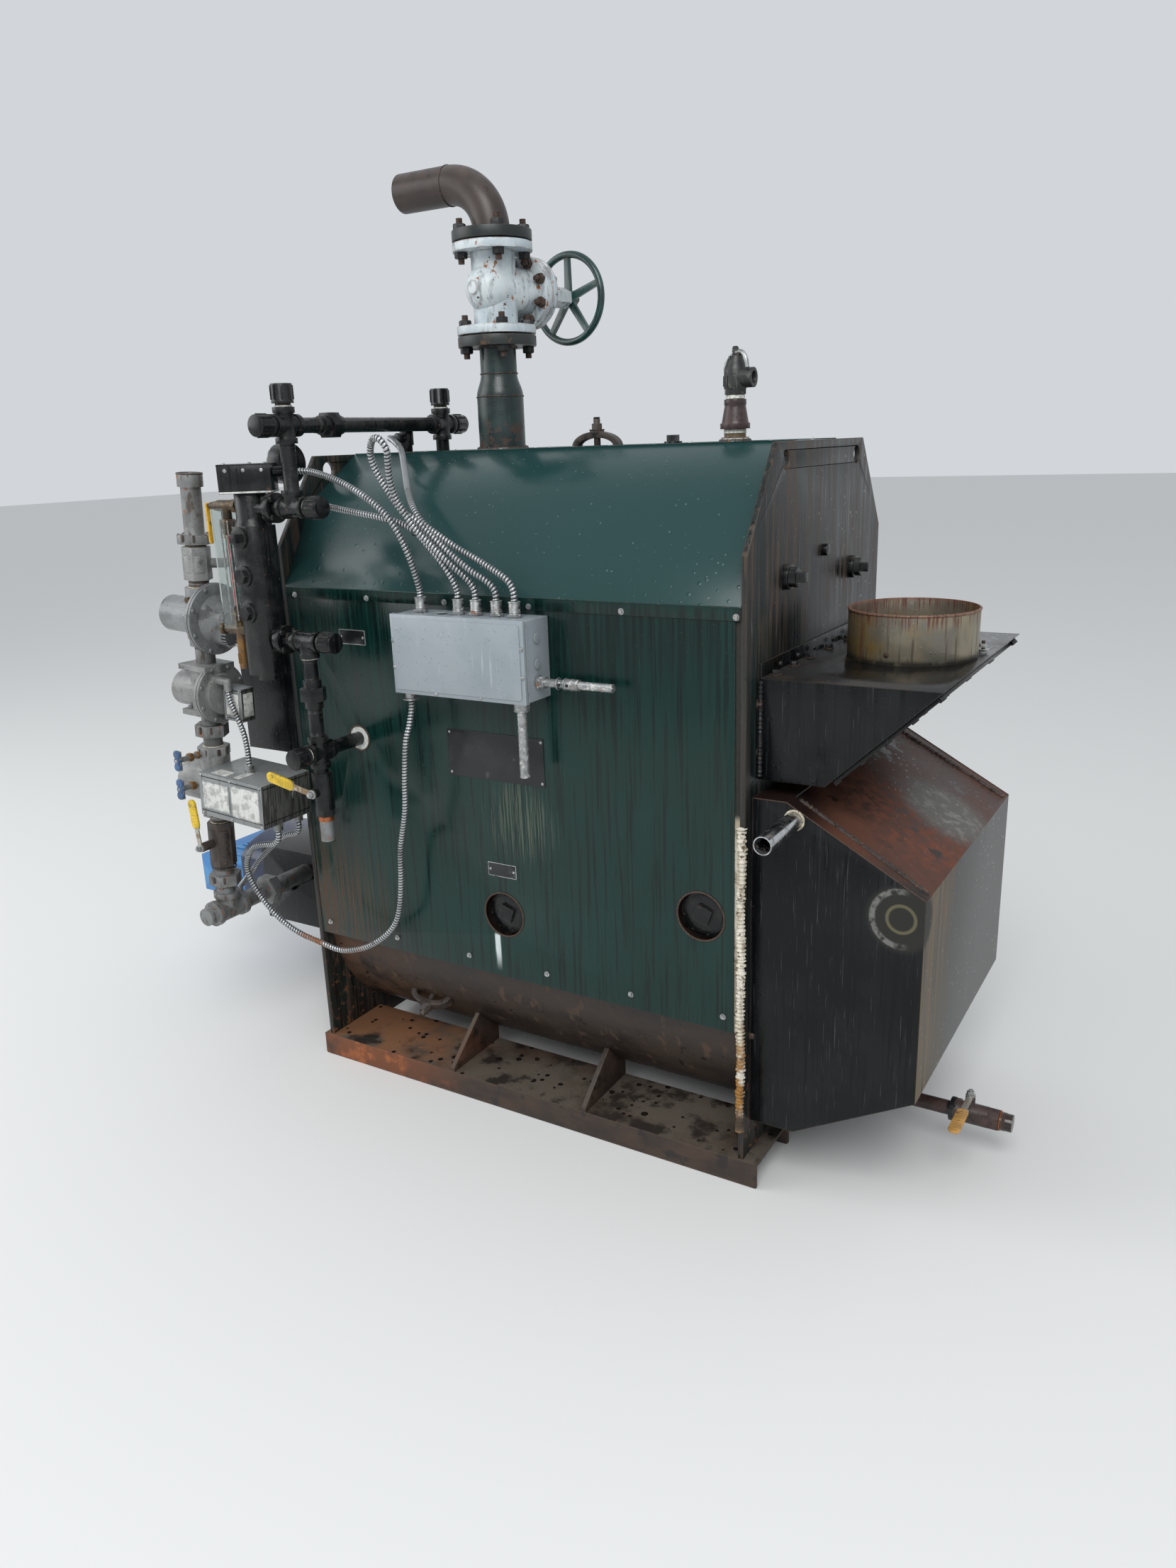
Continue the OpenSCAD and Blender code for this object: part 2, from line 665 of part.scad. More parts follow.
// Plugged bosses on the right plate: place across and height
plate_bosses = [[-211, 1327], [203, 1304]];
boss_d = 52;
boss_h = 12;
boss_hex_flats = 36;
boss_hex_h = 14;
boss_square = 20;
boss_square_h = 18;
sight_boss = [10, 1361];
sight_boss_d = 26;
probe_x = -450;
probe_y = -92;
probe_d = 26.7;
probe_head_z = 1612;
probe_head_h = 34;
probe_head_d = 34;
probe_gland_z = 1630;
probe_gland_l = 20;
gland_d = 24;
module vessel_plugs() {
    color("dimgray") {
        for (p = washouts) translate([p[0], -vessel_r, p[1]]) {
            rod_y([0, 0, 0], -washout_plug_t, washout_plug_d);
            rotate([90, washout_turn, 0]) translate([-washout_square / 2, -washout_square / 2, 0])
                cube([washout_square, washout_square, washout_square_h]);
        }
        difference() {
            rod_z([top_plug_x, 0, vessel_top_z - nozzle_sink],
                plate_top_z - vessel_top_z + nozzle_sink + plug_rise, plug_d);
            vessel_cut();
        }
        translate([top_plug_x - plug_square / 2, -plug_square / 2, plate_top_z + plug_rise])
            cube([plug_square, plug_square, plug_square_h]);
        for (p = plate_bosses) translate([end_x, p[0], p[1]]) {
            rod_x([0, 0, 0], boss_h, boss_d);
            rod_x([boss_h, 0, 0], boss_hex_h, corners(boss_hex_flats), 6);
            translate([boss_h + boss_hex_h, -boss_square / 2, -boss_square / 2])
                cube([boss_square_h, boss_square, boss_square]);
        }
        rod_x([end_x, sight_boss[0], sight_boss[1]], boss_h, sight_boss_d);
        difference() {
            union() {
                rod_z([probe_x, probe_y, vessel_high_z], probe_head_z - vessel_high_z, probe_d);
                rod_z([probe_x, probe_y, probe_head_z], probe_head_h, probe_head_d);
                rod_y([probe_x, probe_y, probe_gland_z], -probe_head_d / 2 - probe_gland_l,
                    gland_d);
            }
            vessel_cut();
        }
    }
}

// A fitting's body between two collars along one axis: 0 for X, 1 for Y, 2 for Z
collar_w = 12;
module fitting_run(axis) {
    rotate(axis == 0 ? [0, 90, 0] : axis == 1 ? [90, 0, 0] : [0, 0, 0]) {
        cylinder(d = fitting_body_d, h = 2 * fitting_reach, center = true, $fn = small_fn);
        for (s = [-1, 1]) translate([0, 0, s * (fitting_reach - collar_w / 2)])
            cylinder(d = fitting_d, h = collar_w, center = true, $fn = small_fn);
    }
}
// A closed end on a fitting: short nipple, then a ribbed cap
cap_nipple_l = 8;
cap_l = 40;
cap_d = 46;
cap_rim = 5;
module capped_end() {
    rod_z([0, 0, fitting_reach], cap_nipple_l, pipe_d);
    rod_z([0, 0, fitting_reach + cap_nipple_l], cap_l, cap_d);
    rod_z([0, 0, fitting_reach + cap_nipple_l], cap_rim, fitting_d);
}
// A ground joint union along Z, centred
union_flats = 54;
union_l = 30;
union_end_l = 18;
module union_fitting() {
    rod_z([0, 0, -union_l / 2], union_l, corners(union_flats), 6);
    for (s = [-1, 1]) rod_z([0, 0, s * union_l / 2], s * union_end_l, fitting_body_d);
}
union_upper_y = -410;
union_lower_z = 1066;
module equalizing_pipe_upper() {
    color("black") {
        translate([riser_x, riser_y, top_cross_z]) {
            fitting_run(2);
            fitting_run(1);
            capped_end();
            rotate([90, 0, 0]) capped_end();
        }
        rod_z([riser_x, riser_y, upper_tee_z], top_cross_z - upper_tee_z, pipe_d);
        translate([riser_x, riser_y, upper_tee_z]) {
            fitting_run(0);
            rod_z([0, 0, 0], fitting_reach, fitting_body_d);
            rod_z([0, 0, fitting_reach - collar_w], collar_w, fitting_d);
            rotate([0, 90, 0]) capped_end();
        }
        rod_y([riser_x, riser_y, top_cross_z], -riser_y, pipe_d);
        translate([riser_x, union_upper_y, top_cross_z]) rotate([90, 0, 0]) union_fitting();
        translate([riser_x, 0, top_cross_z]) {
            fitting_run(2);
            fitting_run(1);
            capped_end();
            rotate([-90, 0, 0]) capped_end();
        }
        difference() {
            rod_z([riser_x, 0, vessel_high_z], top_cross_z - vessel_high_z, pipe_d);
            vessel_cut();
        }
    }
}
module equalizing_pipe_lower() {
    color("black") {
        translate([riser_x, riser_y, lower_tee_z]) {
            fitting_run(0);
            rod_z([0, 0, 0], -fitting_reach, fitting_body_d);
            rod_z([0, 0, -fitting_reach], collar_w, fitting_d);
            rotate([0, 90, 0]) capped_end();
        }
        rod_z([riser_x, riser_y, low_cross_z], lower_tee_z - low_cross_z, pipe_d);
        translate([riser_x, riser_y, union_lower_z]) union_fitting();
        translate([riser_x, riser_y, low_cross_z]) {
            fitting_run(2);
            fitting_run(1);
            rotate([90, 0, 0]) capped_end();
        }
        rod_y([riser_x, riser_y, low_cross_z], -riser_y - vessel_r - seat, pipe_d);
    }
}

// Water column: rounded body, neck, two flanged arms towards the tees and three bosses
column_corner = 26;
column_foot_d = 56;
column_foot_h = 14;
column_taper = 18;
arm_d = 44;
arm_flange_d = 67;
arm_flange_t = 9;
upper_arm_x = -467;
lower_arm_x = -479;
column_boss_zs = [1423, 1338, 1254];
column_boss_d = 48;
column_boss_h = 8;
column_gland_x = -530;
column_gland_l = 28;
module column_arm(z, flange_x) {
    rod_x([column_x, riser_y, z], flange_x - column_x, arm_d);
    rod_x([flange_x - arm_flange_t, riser_y, z], 2 * arm_flange_t, arm_flange_d);
    rod_x([flange_x, riser_y, z], riser_x - fitting_reach - seat - flange_x, pipe_d);
}
module water_column() {
    color("black") {
        translate([column_x, riser_y, 0]) {
            translate([0, 0, column_foot_z]) linear_extrude(column_shoulder_z - column_foot_z)
                round_rect(column_w, column_w, column_corner);
            rod_z([0, 0, column_foot_z - column_foot_h], column_foot_h + cut, column_foot_d);
            rod_z([0, 0, column_shoulder_z], column_top_z - column_shoulder_z, column_neck_d);
            translate([0, 0, column_shoulder_z]) cylinder(d1 = column_w, d2 = column_neck_d,
                h = column_taper, $fn = small_fn);
            for (z = column_boss_zs)
                rod_y([0, -column_w / 2 + column_boss_h, z], -2 * column_boss_h, column_boss_d);
            translate([-boss_square / 2, -column_w / 2 - column_boss_h - boss_square_h,
                column_boss_zs[0] - boss_square / 2])
                cube([boss_square, boss_square_h + cut, boss_square]);
        }
        rod_y([column_gland_x, riser_y, upper_tee_z], column_w / 2 + column_gland_l, gland_d);
        column_arm(upper_tee_z, upper_arm_x);
        column_arm(lower_tee_z, lower_arm_x);
    }
}
head_gland_z = 1564;
head_gland_l = 30;
module column_head_box() {
    color("dimgray") translate([column_x, riser_y, column_top_z]) rotate(head_box_turn) {
        translate([-head_box_w / 2, -head_box_d / 2, seat])
            cube([head_box_w, head_box_d, head_box_h]);
        rod_x([0, 0, head_gland_z - column_top_z], head_box_w / 2 + head_gland_l, gland_d);
    }
}

// Gauge glass with its two cocks on the column's left side
glass_d = 16;
glass_x = -623;
glass_foot_z = 1237;
glass_top_z = 1450;
upper_cock_z = 1492;
lower_cock_z = 1205;
cock_body_d = 26;
cock_socket_d = 24;
cock_reach = 22;
cock_stem_d = 10;
cock_stem_x = -684;
guard_x = -652;
guard_w = 44;
guard_l = 40;
guard_t = 2;
cock_handle_l = 92;
cock_handle_w = 12;
cock_handle_t = 3;
cock_drain_z = 1112;
module gauge_glass() {
    color("lightcyan") {
        rod_z([glass_x, riser_y, glass_foot_z], glass_top_z - glass_foot_z, glass_d);
        translate([guard_x, riser_y - guard_w / 2, lower_cock_z + cock_stem_d / 2 + seat])
            linear_extrude(upper_cock_z - cock_stem_d - lower_cock_z - 2 * seat) difference() {
                square([guard_l, guard_w]);
                translate([guard_t, guard_t]) square([guard_l, guard_w - 2 * guard_t]);
            }
    }
}
module gauge_cocks() {
    face_x = column_x - column_w / 2;
    color("darkgoldenrod") {
        for (z = [upper_cock_z, lower_cock_z]) {
            rod_x([face_x - seat, riser_y, z], glass_x - cock_reach - face_x + seat, cock_body_d);
            rod_x([glass_x, riser_y, z], cock_stem_x - glass_x, cock_stem_d);
        }
        rod_z([glass_x, riser_y, glass_top_z], upper_cock_z - glass_top_z, cock_socket_d);
        rod_z([glass_x, riser_y, cock_drain_z], glass_foot_z - cock_drain_z, cock_socket_d);
        translate([cock_stem_x, riser_y - cock_handle_w / 2,
            upper_cock_z + cock_handle_w / 2 - cock_handle_l])
            cube([cock_handle_t, cock_handle_w, cock_handle_l]);
    }
}
gauge_x = -536;
gauge_y = -430;
gauge_z = 1580;
gauge_t = 34;
siphon_z = 1462;
siphon_d = 14;
module pressure_gauge() {
    cone_share = (siphon_z - siphon_d / 2 - column_shoulder_z) / column_taper;
    cone_r = (column_w - (column_w - column_neck_d) * cone_share) / 2;
    color("black") {
        rod_x([gauge_x - gauge_t / 2, gauge_y, gauge_z], gauge_t, gauge_d, round_fn);
        rod_z([gauge_x, gauge_y, siphon_z], gauge_z - siphon_z, siphon_d);
        translate([gauge_x, gauge_y, siphon_z]) sphere(d = siphon_d, $fn = small_fn);
        rod_y([gauge_x, gauge_y, siphon_z], riser_y + cone_r + seat - gauge_y, siphon_d);
    }
}

// Column drain: ball valve with its lever and an open stub
drain_body_h = 92;
drain_hex_flats = 40;
drain_hex_h = 16;
drain_stub_z = 705;
stem_boss = 36;
stem_boss_d = 22;
lever_stem_d = 10;
lever_w = 22;
lever_t = 3;
lever_root_w = 14;
lever_grip_share = 0.4;
module column_drain_valve() {
    body_z = drain_valve_z - drain_body_h / 2;
    color("black") translate([riser_x, riser_y, 0]) difference() {
        union() {
            rod_z([0, 0, body_z], drain_body_h, fitting_d);
            rod_z([0, 0, body_z + drain_body_h],
                low_cross_z - fitting_reach - body_z - drain_body_h, pipe_d);
            rod_z([0, 0, body_z], -drain_hex_h, corners(drain_hex_flats), 6);
            rod_z([0, 0, drain_stub_z], body_z - drain_stub_z, pipe_d);
            rod_y([0, 0, drain_valve_z], -stem_boss, stem_boss_d);
        }
        rod_y([0, -fitting_d / 4, drain_valve_z], -stem_boss, lever_stem_d + 2 * stem_gap);
    }
}
// A quarter-turn lever: stem along -Y in its boss, strip at the given angle from +X
module lever(angle, boss, l) {
    grip_x = l * lever_grip_share;
    rod_y([0, -boss / 2, 0], -boss / 2 - lever_t - lever_stem_d, lever_stem_d);
    translate([0, -boss - seat, 0]) rotate([90, 0, 0]) linear_extrude(lever_t) rotate(angle) {
        circle(d = lever_w, $fn = small_fn);
        translate([0, -lever_root_w / 2]) square([l - lever_w / 2, lever_root_w]);
        translate([grip_x, -lever_w / 2]) square([l - lever_w / 2 - grip_x, lever_w]);
        translate([l - lever_w / 2, 0]) circle(d = lever_w, $fn = small_fn);
    }
}
drain_lever_angle = 168.5;
module column_drain_lever() {
    color("gold") translate([riser_x, riser_y, drain_valve_z])
        lever(drain_lever_angle, stem_boss, drain_lever_l);
}

// Control box, its tray cover, and the connectors on it
box_face_y = -jacket_y - box_d;
module control_box() {
    inset = box_sheet + seat;
    back_y = -jacket_y - seat;
    color("lightsteelblue") difference() {
        translate([box_left_x + inset, box_face_y + inset, box_z + inset])
            cube([box_w - 2 * inset, back_y - box_face_y - inset, box_h - 2 * inset]);
        translate([box_left_x + inset + box_sheet, box_face_y, box_z + inset + box_sheet])
            cube([box_w - 2 * inset - 2 * box_sheet, back_y - box_face_y - box_sheet,
                box_h - 2 * inset - 2 * box_sheet]);
        rod_z([knockout_x, connector_y, box_z + box_h - 2 * inset], 2 * inset + cut, knockout_d);
    }
}
module control_box_cover() {
    color("lightsteelblue") difference() {
        translate([box_left_x, box_face_y, box_z]) cube([box_w, cover_rim, box_h]);
        translate([box_left_x + box_sheet, box_face_y + box_sheet, box_z + box_sheet])
            cube([box_w - 2 * box_sheet, cover_rim, box_h - 2 * box_sheet]);
    }
}
connector_shares = [0.144, 0.437, 0.569, 0.721, 0.854];
connector_xs = [for (s = connector_shares) box_left_x + s * box_w];
connector_y = -460;
connector_h = 34;
connector_d = 24;
knockout_x = -84;
knockout_d = 22;
emt_lift = 42;
emt_z = box_z + emt_lift;
emt_l = 185;
emt_d = 18;
emt_gland_l = 22;
emt_coupling_x = 70;
emt_coupling_l = 34;
stub_inset = 36;
stub_x = box_left_x + box_w - stub_inset;
stub_y = -475;
stub_l = 172;
stub_d = 22;
stub_gland_d = 34;
down_inset = 15;
down_x = box_left_x + down_inset;
module box_connectors() {
    top_z = box_z + box_h - box_sheet - seat;
    foot_z = box_z + box_sheet + seat;
    side_x = box_left_x + box_w - box_sheet - seat;
    color("silver") {
        for (x = connector_xs) {
            rod_z([x, connector_y, top_z], connector_h, connector_d);
            rod_z([x, connector_y, top_z], connector_h / 4, corners(connector_d), 6);
        }
        rod_x([side_x, connector_y, emt_z], emt_l, emt_d);
        rod_x([side_x, connector_y, emt_z], emt_gland_l, corners(connector_d), 6);
        rod_x([side_x + emt_coupling_x, connector_y, emt_z], emt_coupling_l, connector_d);
        rod_z([stub_x, stub_y, foot_z], -stub_l, stub_d);
        rod_z([stub_x, stub_y, foot_z], -emt_gland_l, stub_gland_d);
        rod_z([down_x, stub_y, foot_z], -emt_gland_l, connector_d);
    }
}

// The gas train is drawn upright from its foot tee's centre and leans as one
module gas_frame() {
    translate([gas_x, gas_y, gas_z]) rotate([0, gas_lean, 0]) children();
}
gas_tee_reach = 52;
gas_collar_w = 16;
gas_body_d = 60;
gas_union_flats = 74;
gas_union_l = 30;
gas_cap_l = 24;
gas_lip = 6;
// Heights above the foot where one piece of the train ends and the next starts
lower_valve_foot = 130;
lower_valve_top = 253;
main_valve_foot = 271;
main_valve_top = 462;
diaphragm_foot = 549;
diaphragm_top = 680;
regulator_foot = 725;
regulator_top = 870;
upper_valve_foot = 889;
upper_valve_top = 969;
gas_h = upper_valve_top + gas_top_l;
foot_union_z = 90;
mid_union_z = 505;
top_union_z = 987;
top_union_l = 22;
coupling_h = 31;
coupling_d = 61;
side_union_y = 150;
module gas_tee() {
    rod_y([0, -gas_tee_reach, 0], 2 * gas_tee_reach, gas_body_d);
    for (s = [-1, 1]) rod_y([0, s * gas_tee_reach, 0], -s * gas_collar_w, gas_fitting_d);
    rod_z([0, 0, 0], gas_tee_reach, gas_body_d);
    rod_z([0, 0, gas_tee_reach - gas_collar_w], gas_collar_w, gas_fitting_d);
}
module gas_pipework() {
    wind_box_face_y = -wind_box_half_w - gas_y;
    color("gray") {
        gas_frame() {
            gas_tee();
            rod_z([0, 0, 0], lower_valve_foot, gas_pipe_d);
            rod_z([0, 0, foot_union_z - gas_union_l / 2], gas_union_l,
                corners(gas_union_flats), 6);
            rod_y([0, -gas_tee_reach, 0], -gas_cap_l, gas_pipe_d);
            rod_z([0, 0, lower_valve_top], main_valve_foot - lower_valve_top, gas_pipe_d);
            rod_z([0, 0, main_valve_top], diaphragm_foot - main_valve_top, gas_pipe_d);
            rod_z([0, 0, mid_union_z - gas_union_l / 2], gas_union_l,
                corners(gas_union_flats), 6);
            rod_z([0, 0, diaphragm_top], regulator_foot - diaphragm_top, gas_pipe_d);
            rod_z([0, 0, regulator_top], upper_valve_foot - regulator_top, gas_pipe_d);
            rod_z([0, 0, upper_valve_top], gas_h - upper_valve_top - gas_lip, gas_pipe_d);
            rod_z([0, 0, top_union_z - top_union_l / 2], top_union_l,
                corners(gas_union_flats), 6);
            difference() {
                rod_z([0, 0, gas_h - coupling_h], coupling_h, coupling_d);
                rod_z([0, 0, gas_h - gas_lip], gas_lip + cut, gas_pipe_d);
            }
        }
        rod_y([gas_x, gas_y, gas_z], wind_box_face_y - seat, gas_pipe_d);
        rod_y([gas_x, gas_y + side_union_y - gas_union_l / 2, gas_z], gas_union_l,
            corners(gas_union_flats), 6);
    }
}
gas_valve_d = 66;
gas_valve_hex_h = 20;
gas_valve_flats = 60;
gas_stem_boss = 70;
gas_stem_boss_d = 24;
module gas_ball_valve(foot, top, stem_z, turn) {
    difference() {
        union() {
            rod_z([0, 0, foot], top - foot, corners(gas_valve_flats), 6);
            rod_z([0, 0, foot + gas_valve_hex_h], top - foot - 2 * gas_valve_hex_h, gas_valve_d);
            translate([0, 0, stem_z]) rotate(turn)
                rod_y([0, 0, 0], -gas_stem_boss, gas_stem_boss_d);
        }
        translate([0, 0, stem_z]) rotate(turn)
            rod_y([0, -gas_stem_boss / 2, 0], -gas_stem_boss, lever_stem_d + 2 * stem_gap);
    }
}
gas_upper_spin = 90 + gas_upper_turn;
gas_upper_angle = 90;
gas_upper_lever_l = 145;
gas_lower_angle = 98.5;
gas_lower_lever_l = 132;
module gas_upper_valve() {
    color("dimgray") gas_frame()
        gas_ball_valve(upper_valve_foot, upper_valve_top, gas_upper_z, gas_upper_spin);
}
module gas_upper_lever() {
    color("gold") gas_frame() translate([0, 0, gas_upper_z]) rotate(gas_upper_spin)
        lever(gas_upper_angle, gas_stem_boss, gas_upper_lever_l);
}
module gas_lower_valve() {
    color("dimgray") gas_frame()
        gas_ball_valve(lower_valve_foot, lower_valve_top, gas_lower_z, 0);
}
module gas_lower_lever() {
    color("gold") gas_frame() translate([0, 0, gas_lower_z])
        lever(gas_lower_angle, gas_stem_boss, gas_lower_lever_l);
}
// Regulator: threaded body, round canister, bolted disc, dome and a low vent cap
regulator_z = 796;
regulator_body_d = 70;
regulator_rim_x = 40;
regulator_rim_t = 16;
regulator_dome_d = 120;
regulator_dome_l = 28;
regulator_cap_d = 45;
regulator_cap_l = 16;
canister_d = 90;
regulator_canister_l = 104;
vent_cap_d = 50;
vent_cap_l = 34;
vent_cap_drop = 38;
module gas_regulator() {
    color("gray") gas_frame() {
        rod_z([0, 0, regulator_foot], regulator_top - regulator_foot, regulator_body_d);
        translate([0, 0, regulator_z]) {
            rod_x([0, 0, 0], -regulator_canister_l, canister_d, round_fn);
            rod_x([0, 0, 0], regulator_rim_x, canister_d, round_fn);
            rod_x([regulator_rim_x, 0, 0], regulator_rim_t, regulator_d, round_fn);
            translate([regulator_rim_x + regulator_rim_t, 0, 0]) rotate([0, 90, 0]) cylinder(
                d1 = regulator_dome_d, d2 = regulator_cap_d, h = regulator_dome_l,
                $fn = round_fn);
            rod_x([regulator_rim_x, 0, 0], regulator_rim_t + regulator_dome_l
                + regulator_cap_l, regulator_cap_d);
            rod_x([regulator_rim_x, 0, -vent_cap_drop], regulator_rim_t + vent_cap_l,
                vent_cap_d);
        }
    }
}
// Diaphragm valve: square end flanges, canister, a disc, and a gland that turns down from it
diaphragm_z = 606;
end_flange_w = 95;
end_flange_t = 14;
diaphragm_body_d = 82;
diaphragm_canister_l = 85;
diaphragm_rim_x = 32;
diaphragm_rim_t = 16;
diaphragm_dome_d = 104;
diaphragm_face_x = 60;
turned_gland_x = 94;
turned_gland_y = -20;
turned_gland_z = 645;
turned_gland_l = 20;
turned_gland_d = 20;
module gas_diaphragm_valve() {
    color("silver") gas_frame() {
        rod_z([0, 0, diaphragm_foot], diaphragm_top - diaphragm_foot, diaphragm_body_d);
        for (z = [diaphragm_foot, diaphragm_top - end_flange_t])
            translate([-end_flange_w / 2, -end_flange_w / 2, z])
                cube([end_flange_w, end_flange_w, end_flange_t]);
        translate([0, 0, diaphragm_z]) {
            rod_x([0, 0, 0], -diaphragm_canister_l, canister_d, round_fn);
            rod_x([0, 0, 0], diaphragm_rim_x, canister_d, round_fn);
            rod_x([diaphragm_rim_x, 0, 0], diaphragm_rim_t, diaphragm_d, round_fn);
            rod_x([diaphragm_rim_x, 0, 0], diaphragm_face_x - diaphragm_rim_x,
                diaphragm_dome_d, round_fn);
        }
        translate([turned_gland_x, turned_gland_y, turned_gland_z]) {
            rod_x([0, 0, 0], diaphragm_rim_x - turned_gland_x, turned_gland_d);
            sphere(d = turned_gland_d, $fn = small_fn);
            rod_z([0, 0, 0], -turned_gland_l, turned_gland_d);
        }
    }
}
valve_box_l = 65;
valve_box_front = 8;
valve_box_w = 42;
valve_box_foot = 542;
valve_box_h = 86;
module gas_valve_box() {
    color("silver") gas_frame()
        translate([diaphragm_face_x + seat, -valve_box_front, valve_box_foot])
            cube([valve_box_l, valve_box_w, valve_box_h]);
}
// Main valve with two test cocks, and its actuator on the right
main_valve_d = 78;
main_collar_h = 24;
main_collar_flats = 72;
main_side_d = 110;
main_side_l = 84;
main_side_end_l = 14;
main_side_end_d = 84;
actuator_neck_d = 74;
actuator_z = 362;
test_cock_x = -14;
test_cock_zs = [367, 443];
test_cock_d = 14;
test_cock_reach = 100;
test_wing_w = 20;
test_wing_h = 50;
test_wing_t = 6;
actuator_x = 40;
actuator_l = 219;
actuator_w = 164;
actuator_front = 90;
actuator_foot = 308;
actuator_h = 112;
actuator_gland_h = 20;
module gas_main_valve() {
    color("silver") gas_frame() {
        for (z = [main_valve_foot, main_valve_top - main_collar_h])
            rod_z([0, 0, z], main_collar_h, corners(main_collar_flats), 6);
        rod_z([0, 0, main_valve_foot + main_collar_h],
            main_valve_top - main_valve_foot - 2 * main_collar_h, main_valve_d);
        rod_x([0, 0, actuator_z], actuator_x - seat, actuator_neck_d);
        rod_x([0, 0, actuator_z], -main_side_l, main_side_d, round_fn);
        translate([-main_side_l, 0, actuator_z]) rotate([0, -90, 0]) cylinder(
            d1 = main_side_d, d2 = main_side_end_d, h = main_side_end_l, $fn = round_fn);
        for (z = test_cock_zs) translate([test_cock_x, 0, 0]) {
            rod_y([0, 0, z], -test_cock_reach, test_cock_d);
            translate([-test_wing_w / 2, -test_cock_reach - test_wing_t, z - test_wing_h / 2])
                cube([test_wing_w, test_wing_t, test_wing_h]);
        }
    }
}
// Glands on the actuator: across, along and which face
actuator_top_gland = [148, -20];
actuator_foot_gland = [245, -30];
actuator_back_gland = [235, 50];
module gas_actuator() {
    top = actuator_foot + actuator_h;
    color("silver") gas_frame() {
        translate([actuator_x, -actuator_front, actuator_foot])
            cube([actuator_l, actuator_w, actuator_h]);
        rod_z([actuator_top_gland[0], actuator_top_gland[1], top], actuator_gland_h, gland_d);
        for (p = [actuator_foot_gland, actuator_back_gland])
            rod_z([p[0], p[1], actuator_foot], -actuator_gland_h, gland_d);
    }
}

// Burner: black wind box on the left plate, then the housing, its motor and the motor's end
wind_box_half_w = 200;
wind_box_z = 250;
wind_box_h = 230;
burner_half_w = 170;
burner_z = 281;
burner_side_h = 120;
burner_top_h = 66;
motor_l = 130;
motor_end_l = 50;
motor_z = 272;
motor_h = 119;
motor_inset = 12;
// Where the burner's conduit enters the wind box
wind_box_gland = [-918, 370];
module burner_wind_box() {
    color("black") {
        translate([-end_x - wind_box_l, -wind_box_half_w, wind_box_z])
            cube([wind_box_l - seat, 2 * wind_box_half_w, wind_box_h]);
        rod_y([wind_box_gland[0], -wind_box_half_w, wind_box_gland[1]], -actuator_gland_h,
            gland_d);
    }
}
module burner() {
    color("royalblue") {
        along_x(-end_x - wind_box_l - burner_l, burner_l - seat) {
            translate([-burner_half_w, burner_z]) square([2 * burner_half_w, burner_side_h]);
            intersection() {
                translate([0, burner_z + burner_side_h]) scale([1, burner_top_h / burner_half_w])
                    circle(r = burner_half_w, $fn = round_fn);
                translate([-burner_half_w, burner_z + burner_side_h])
                    square([2 * burner_half_w, burner_top_h]);
            }
        }
        motor_x = -end_x - wind_box_l - burner_l;
        translate([motor_x - motor_l, motor_inset - burner_half_w, motor_z])
            cube([motor_l + cut, 2 * (burner_half_w - motor_inset), motor_h]);
        translate([motor_x - motor_l - motor_end_l, -burner_half_w, motor_z])
            cube([motor_end_l, 2 * burner_half_w, motor_h]);
    }
}
smoke_cover_t = 8;
smoke_cover_lap = 16;
module front_smoke_box() {
    color("black") {
        translate([-end_x - smoke_box_l, -flue_half_w, smoke_box_z])
            cube([smoke_box_l - seat, 2 * flue_half_w, flue_top_z - smoke_box_z]);
        translate([-end_x - smoke_box_l - smoke_cover_t, smoke_cover_lap - flue_half_w,
            smoke_box_z + smoke_cover_lap])
            cube([smoke_cover_t + cut, 2 * (flue_half_w - smoke_cover_lap),
                flue_top_z - smoke_box_z - 2 * smoke_cover_lap]);
    }
}

// Flue boxes on the right plate
flue_strip_h = 31;
flue_hole_lip = 6;
collar_wall = 3;
cover_t = 8;
cover_inset = 20;
cover_side_inset = 10;
module flue_box() {
    color("dimgray") difference() {
        union() {
            across_y(flue_half_w) polygon([
                [end_x + seat, flue_foot_z], [end_x + flue_foot_l, flue_foot_z],
                [end_x + flue_top_l, flue_top_z], [end_x + seat, flue_top_z]
            ]);
            translate([end_x + seat, -flue_half_w, flue_top_z])
                cube([flue_sheet, 2 * flue_half_w, flue_strip_h]);
        }
        across_y(flue_half_w - flue_sheet) polygon([
            [end_x - cut, flue_foot_z + flue_sheet],
            [end_x + flue_foot_l - flue_sheet, flue_foot_z + flue_sheet],
            [end_x + flue_top_l - 2 * flue_sheet, flue_top_z - flue_sheet],
            [end_x - cut, flue_top_z - flue_sheet]
        ]);
        rod_z([end_x + collar_reach, 0, flue_top_z - 2 * flue_sheet], 4 * flue_sheet,
            collar_d - 2 * collar_wall - 2 * flue_hole_lip, round_fn);
    }
}
module flue_collar() {
    color("peru") translate([end_x + collar_reach, 0, flue_top_z + seat]) difference() {
        cylinder(d = collar_d, h = collar_h, $fn = round_fn);
        translate([0, 0, -cut]) cylinder(d = collar_d - 2 * collar_wall,
            h = collar_h + 2 * cut, $fn = round_fn);
    }
}
module flue_cover() {
    slope = atan2(flue_top_z - flue_foot_z, flue_top_l - flue_foot_l);
    slope_l = norm([flue_top_l - flue_foot_l, flue_top_z - flue_foot_z]);
    color("dimgray") translate([end_x + flue_foot_l, 0, flue_foot_z]) rotate([0, -slope, 0])
        translate([cover_inset, cover_side_inset - flue_half_w, -cover_t - seat])
            cube([slope_l - 2 * cover_inset, 2 * (flue_half_w - cover_side_inset), cover_t]);
}
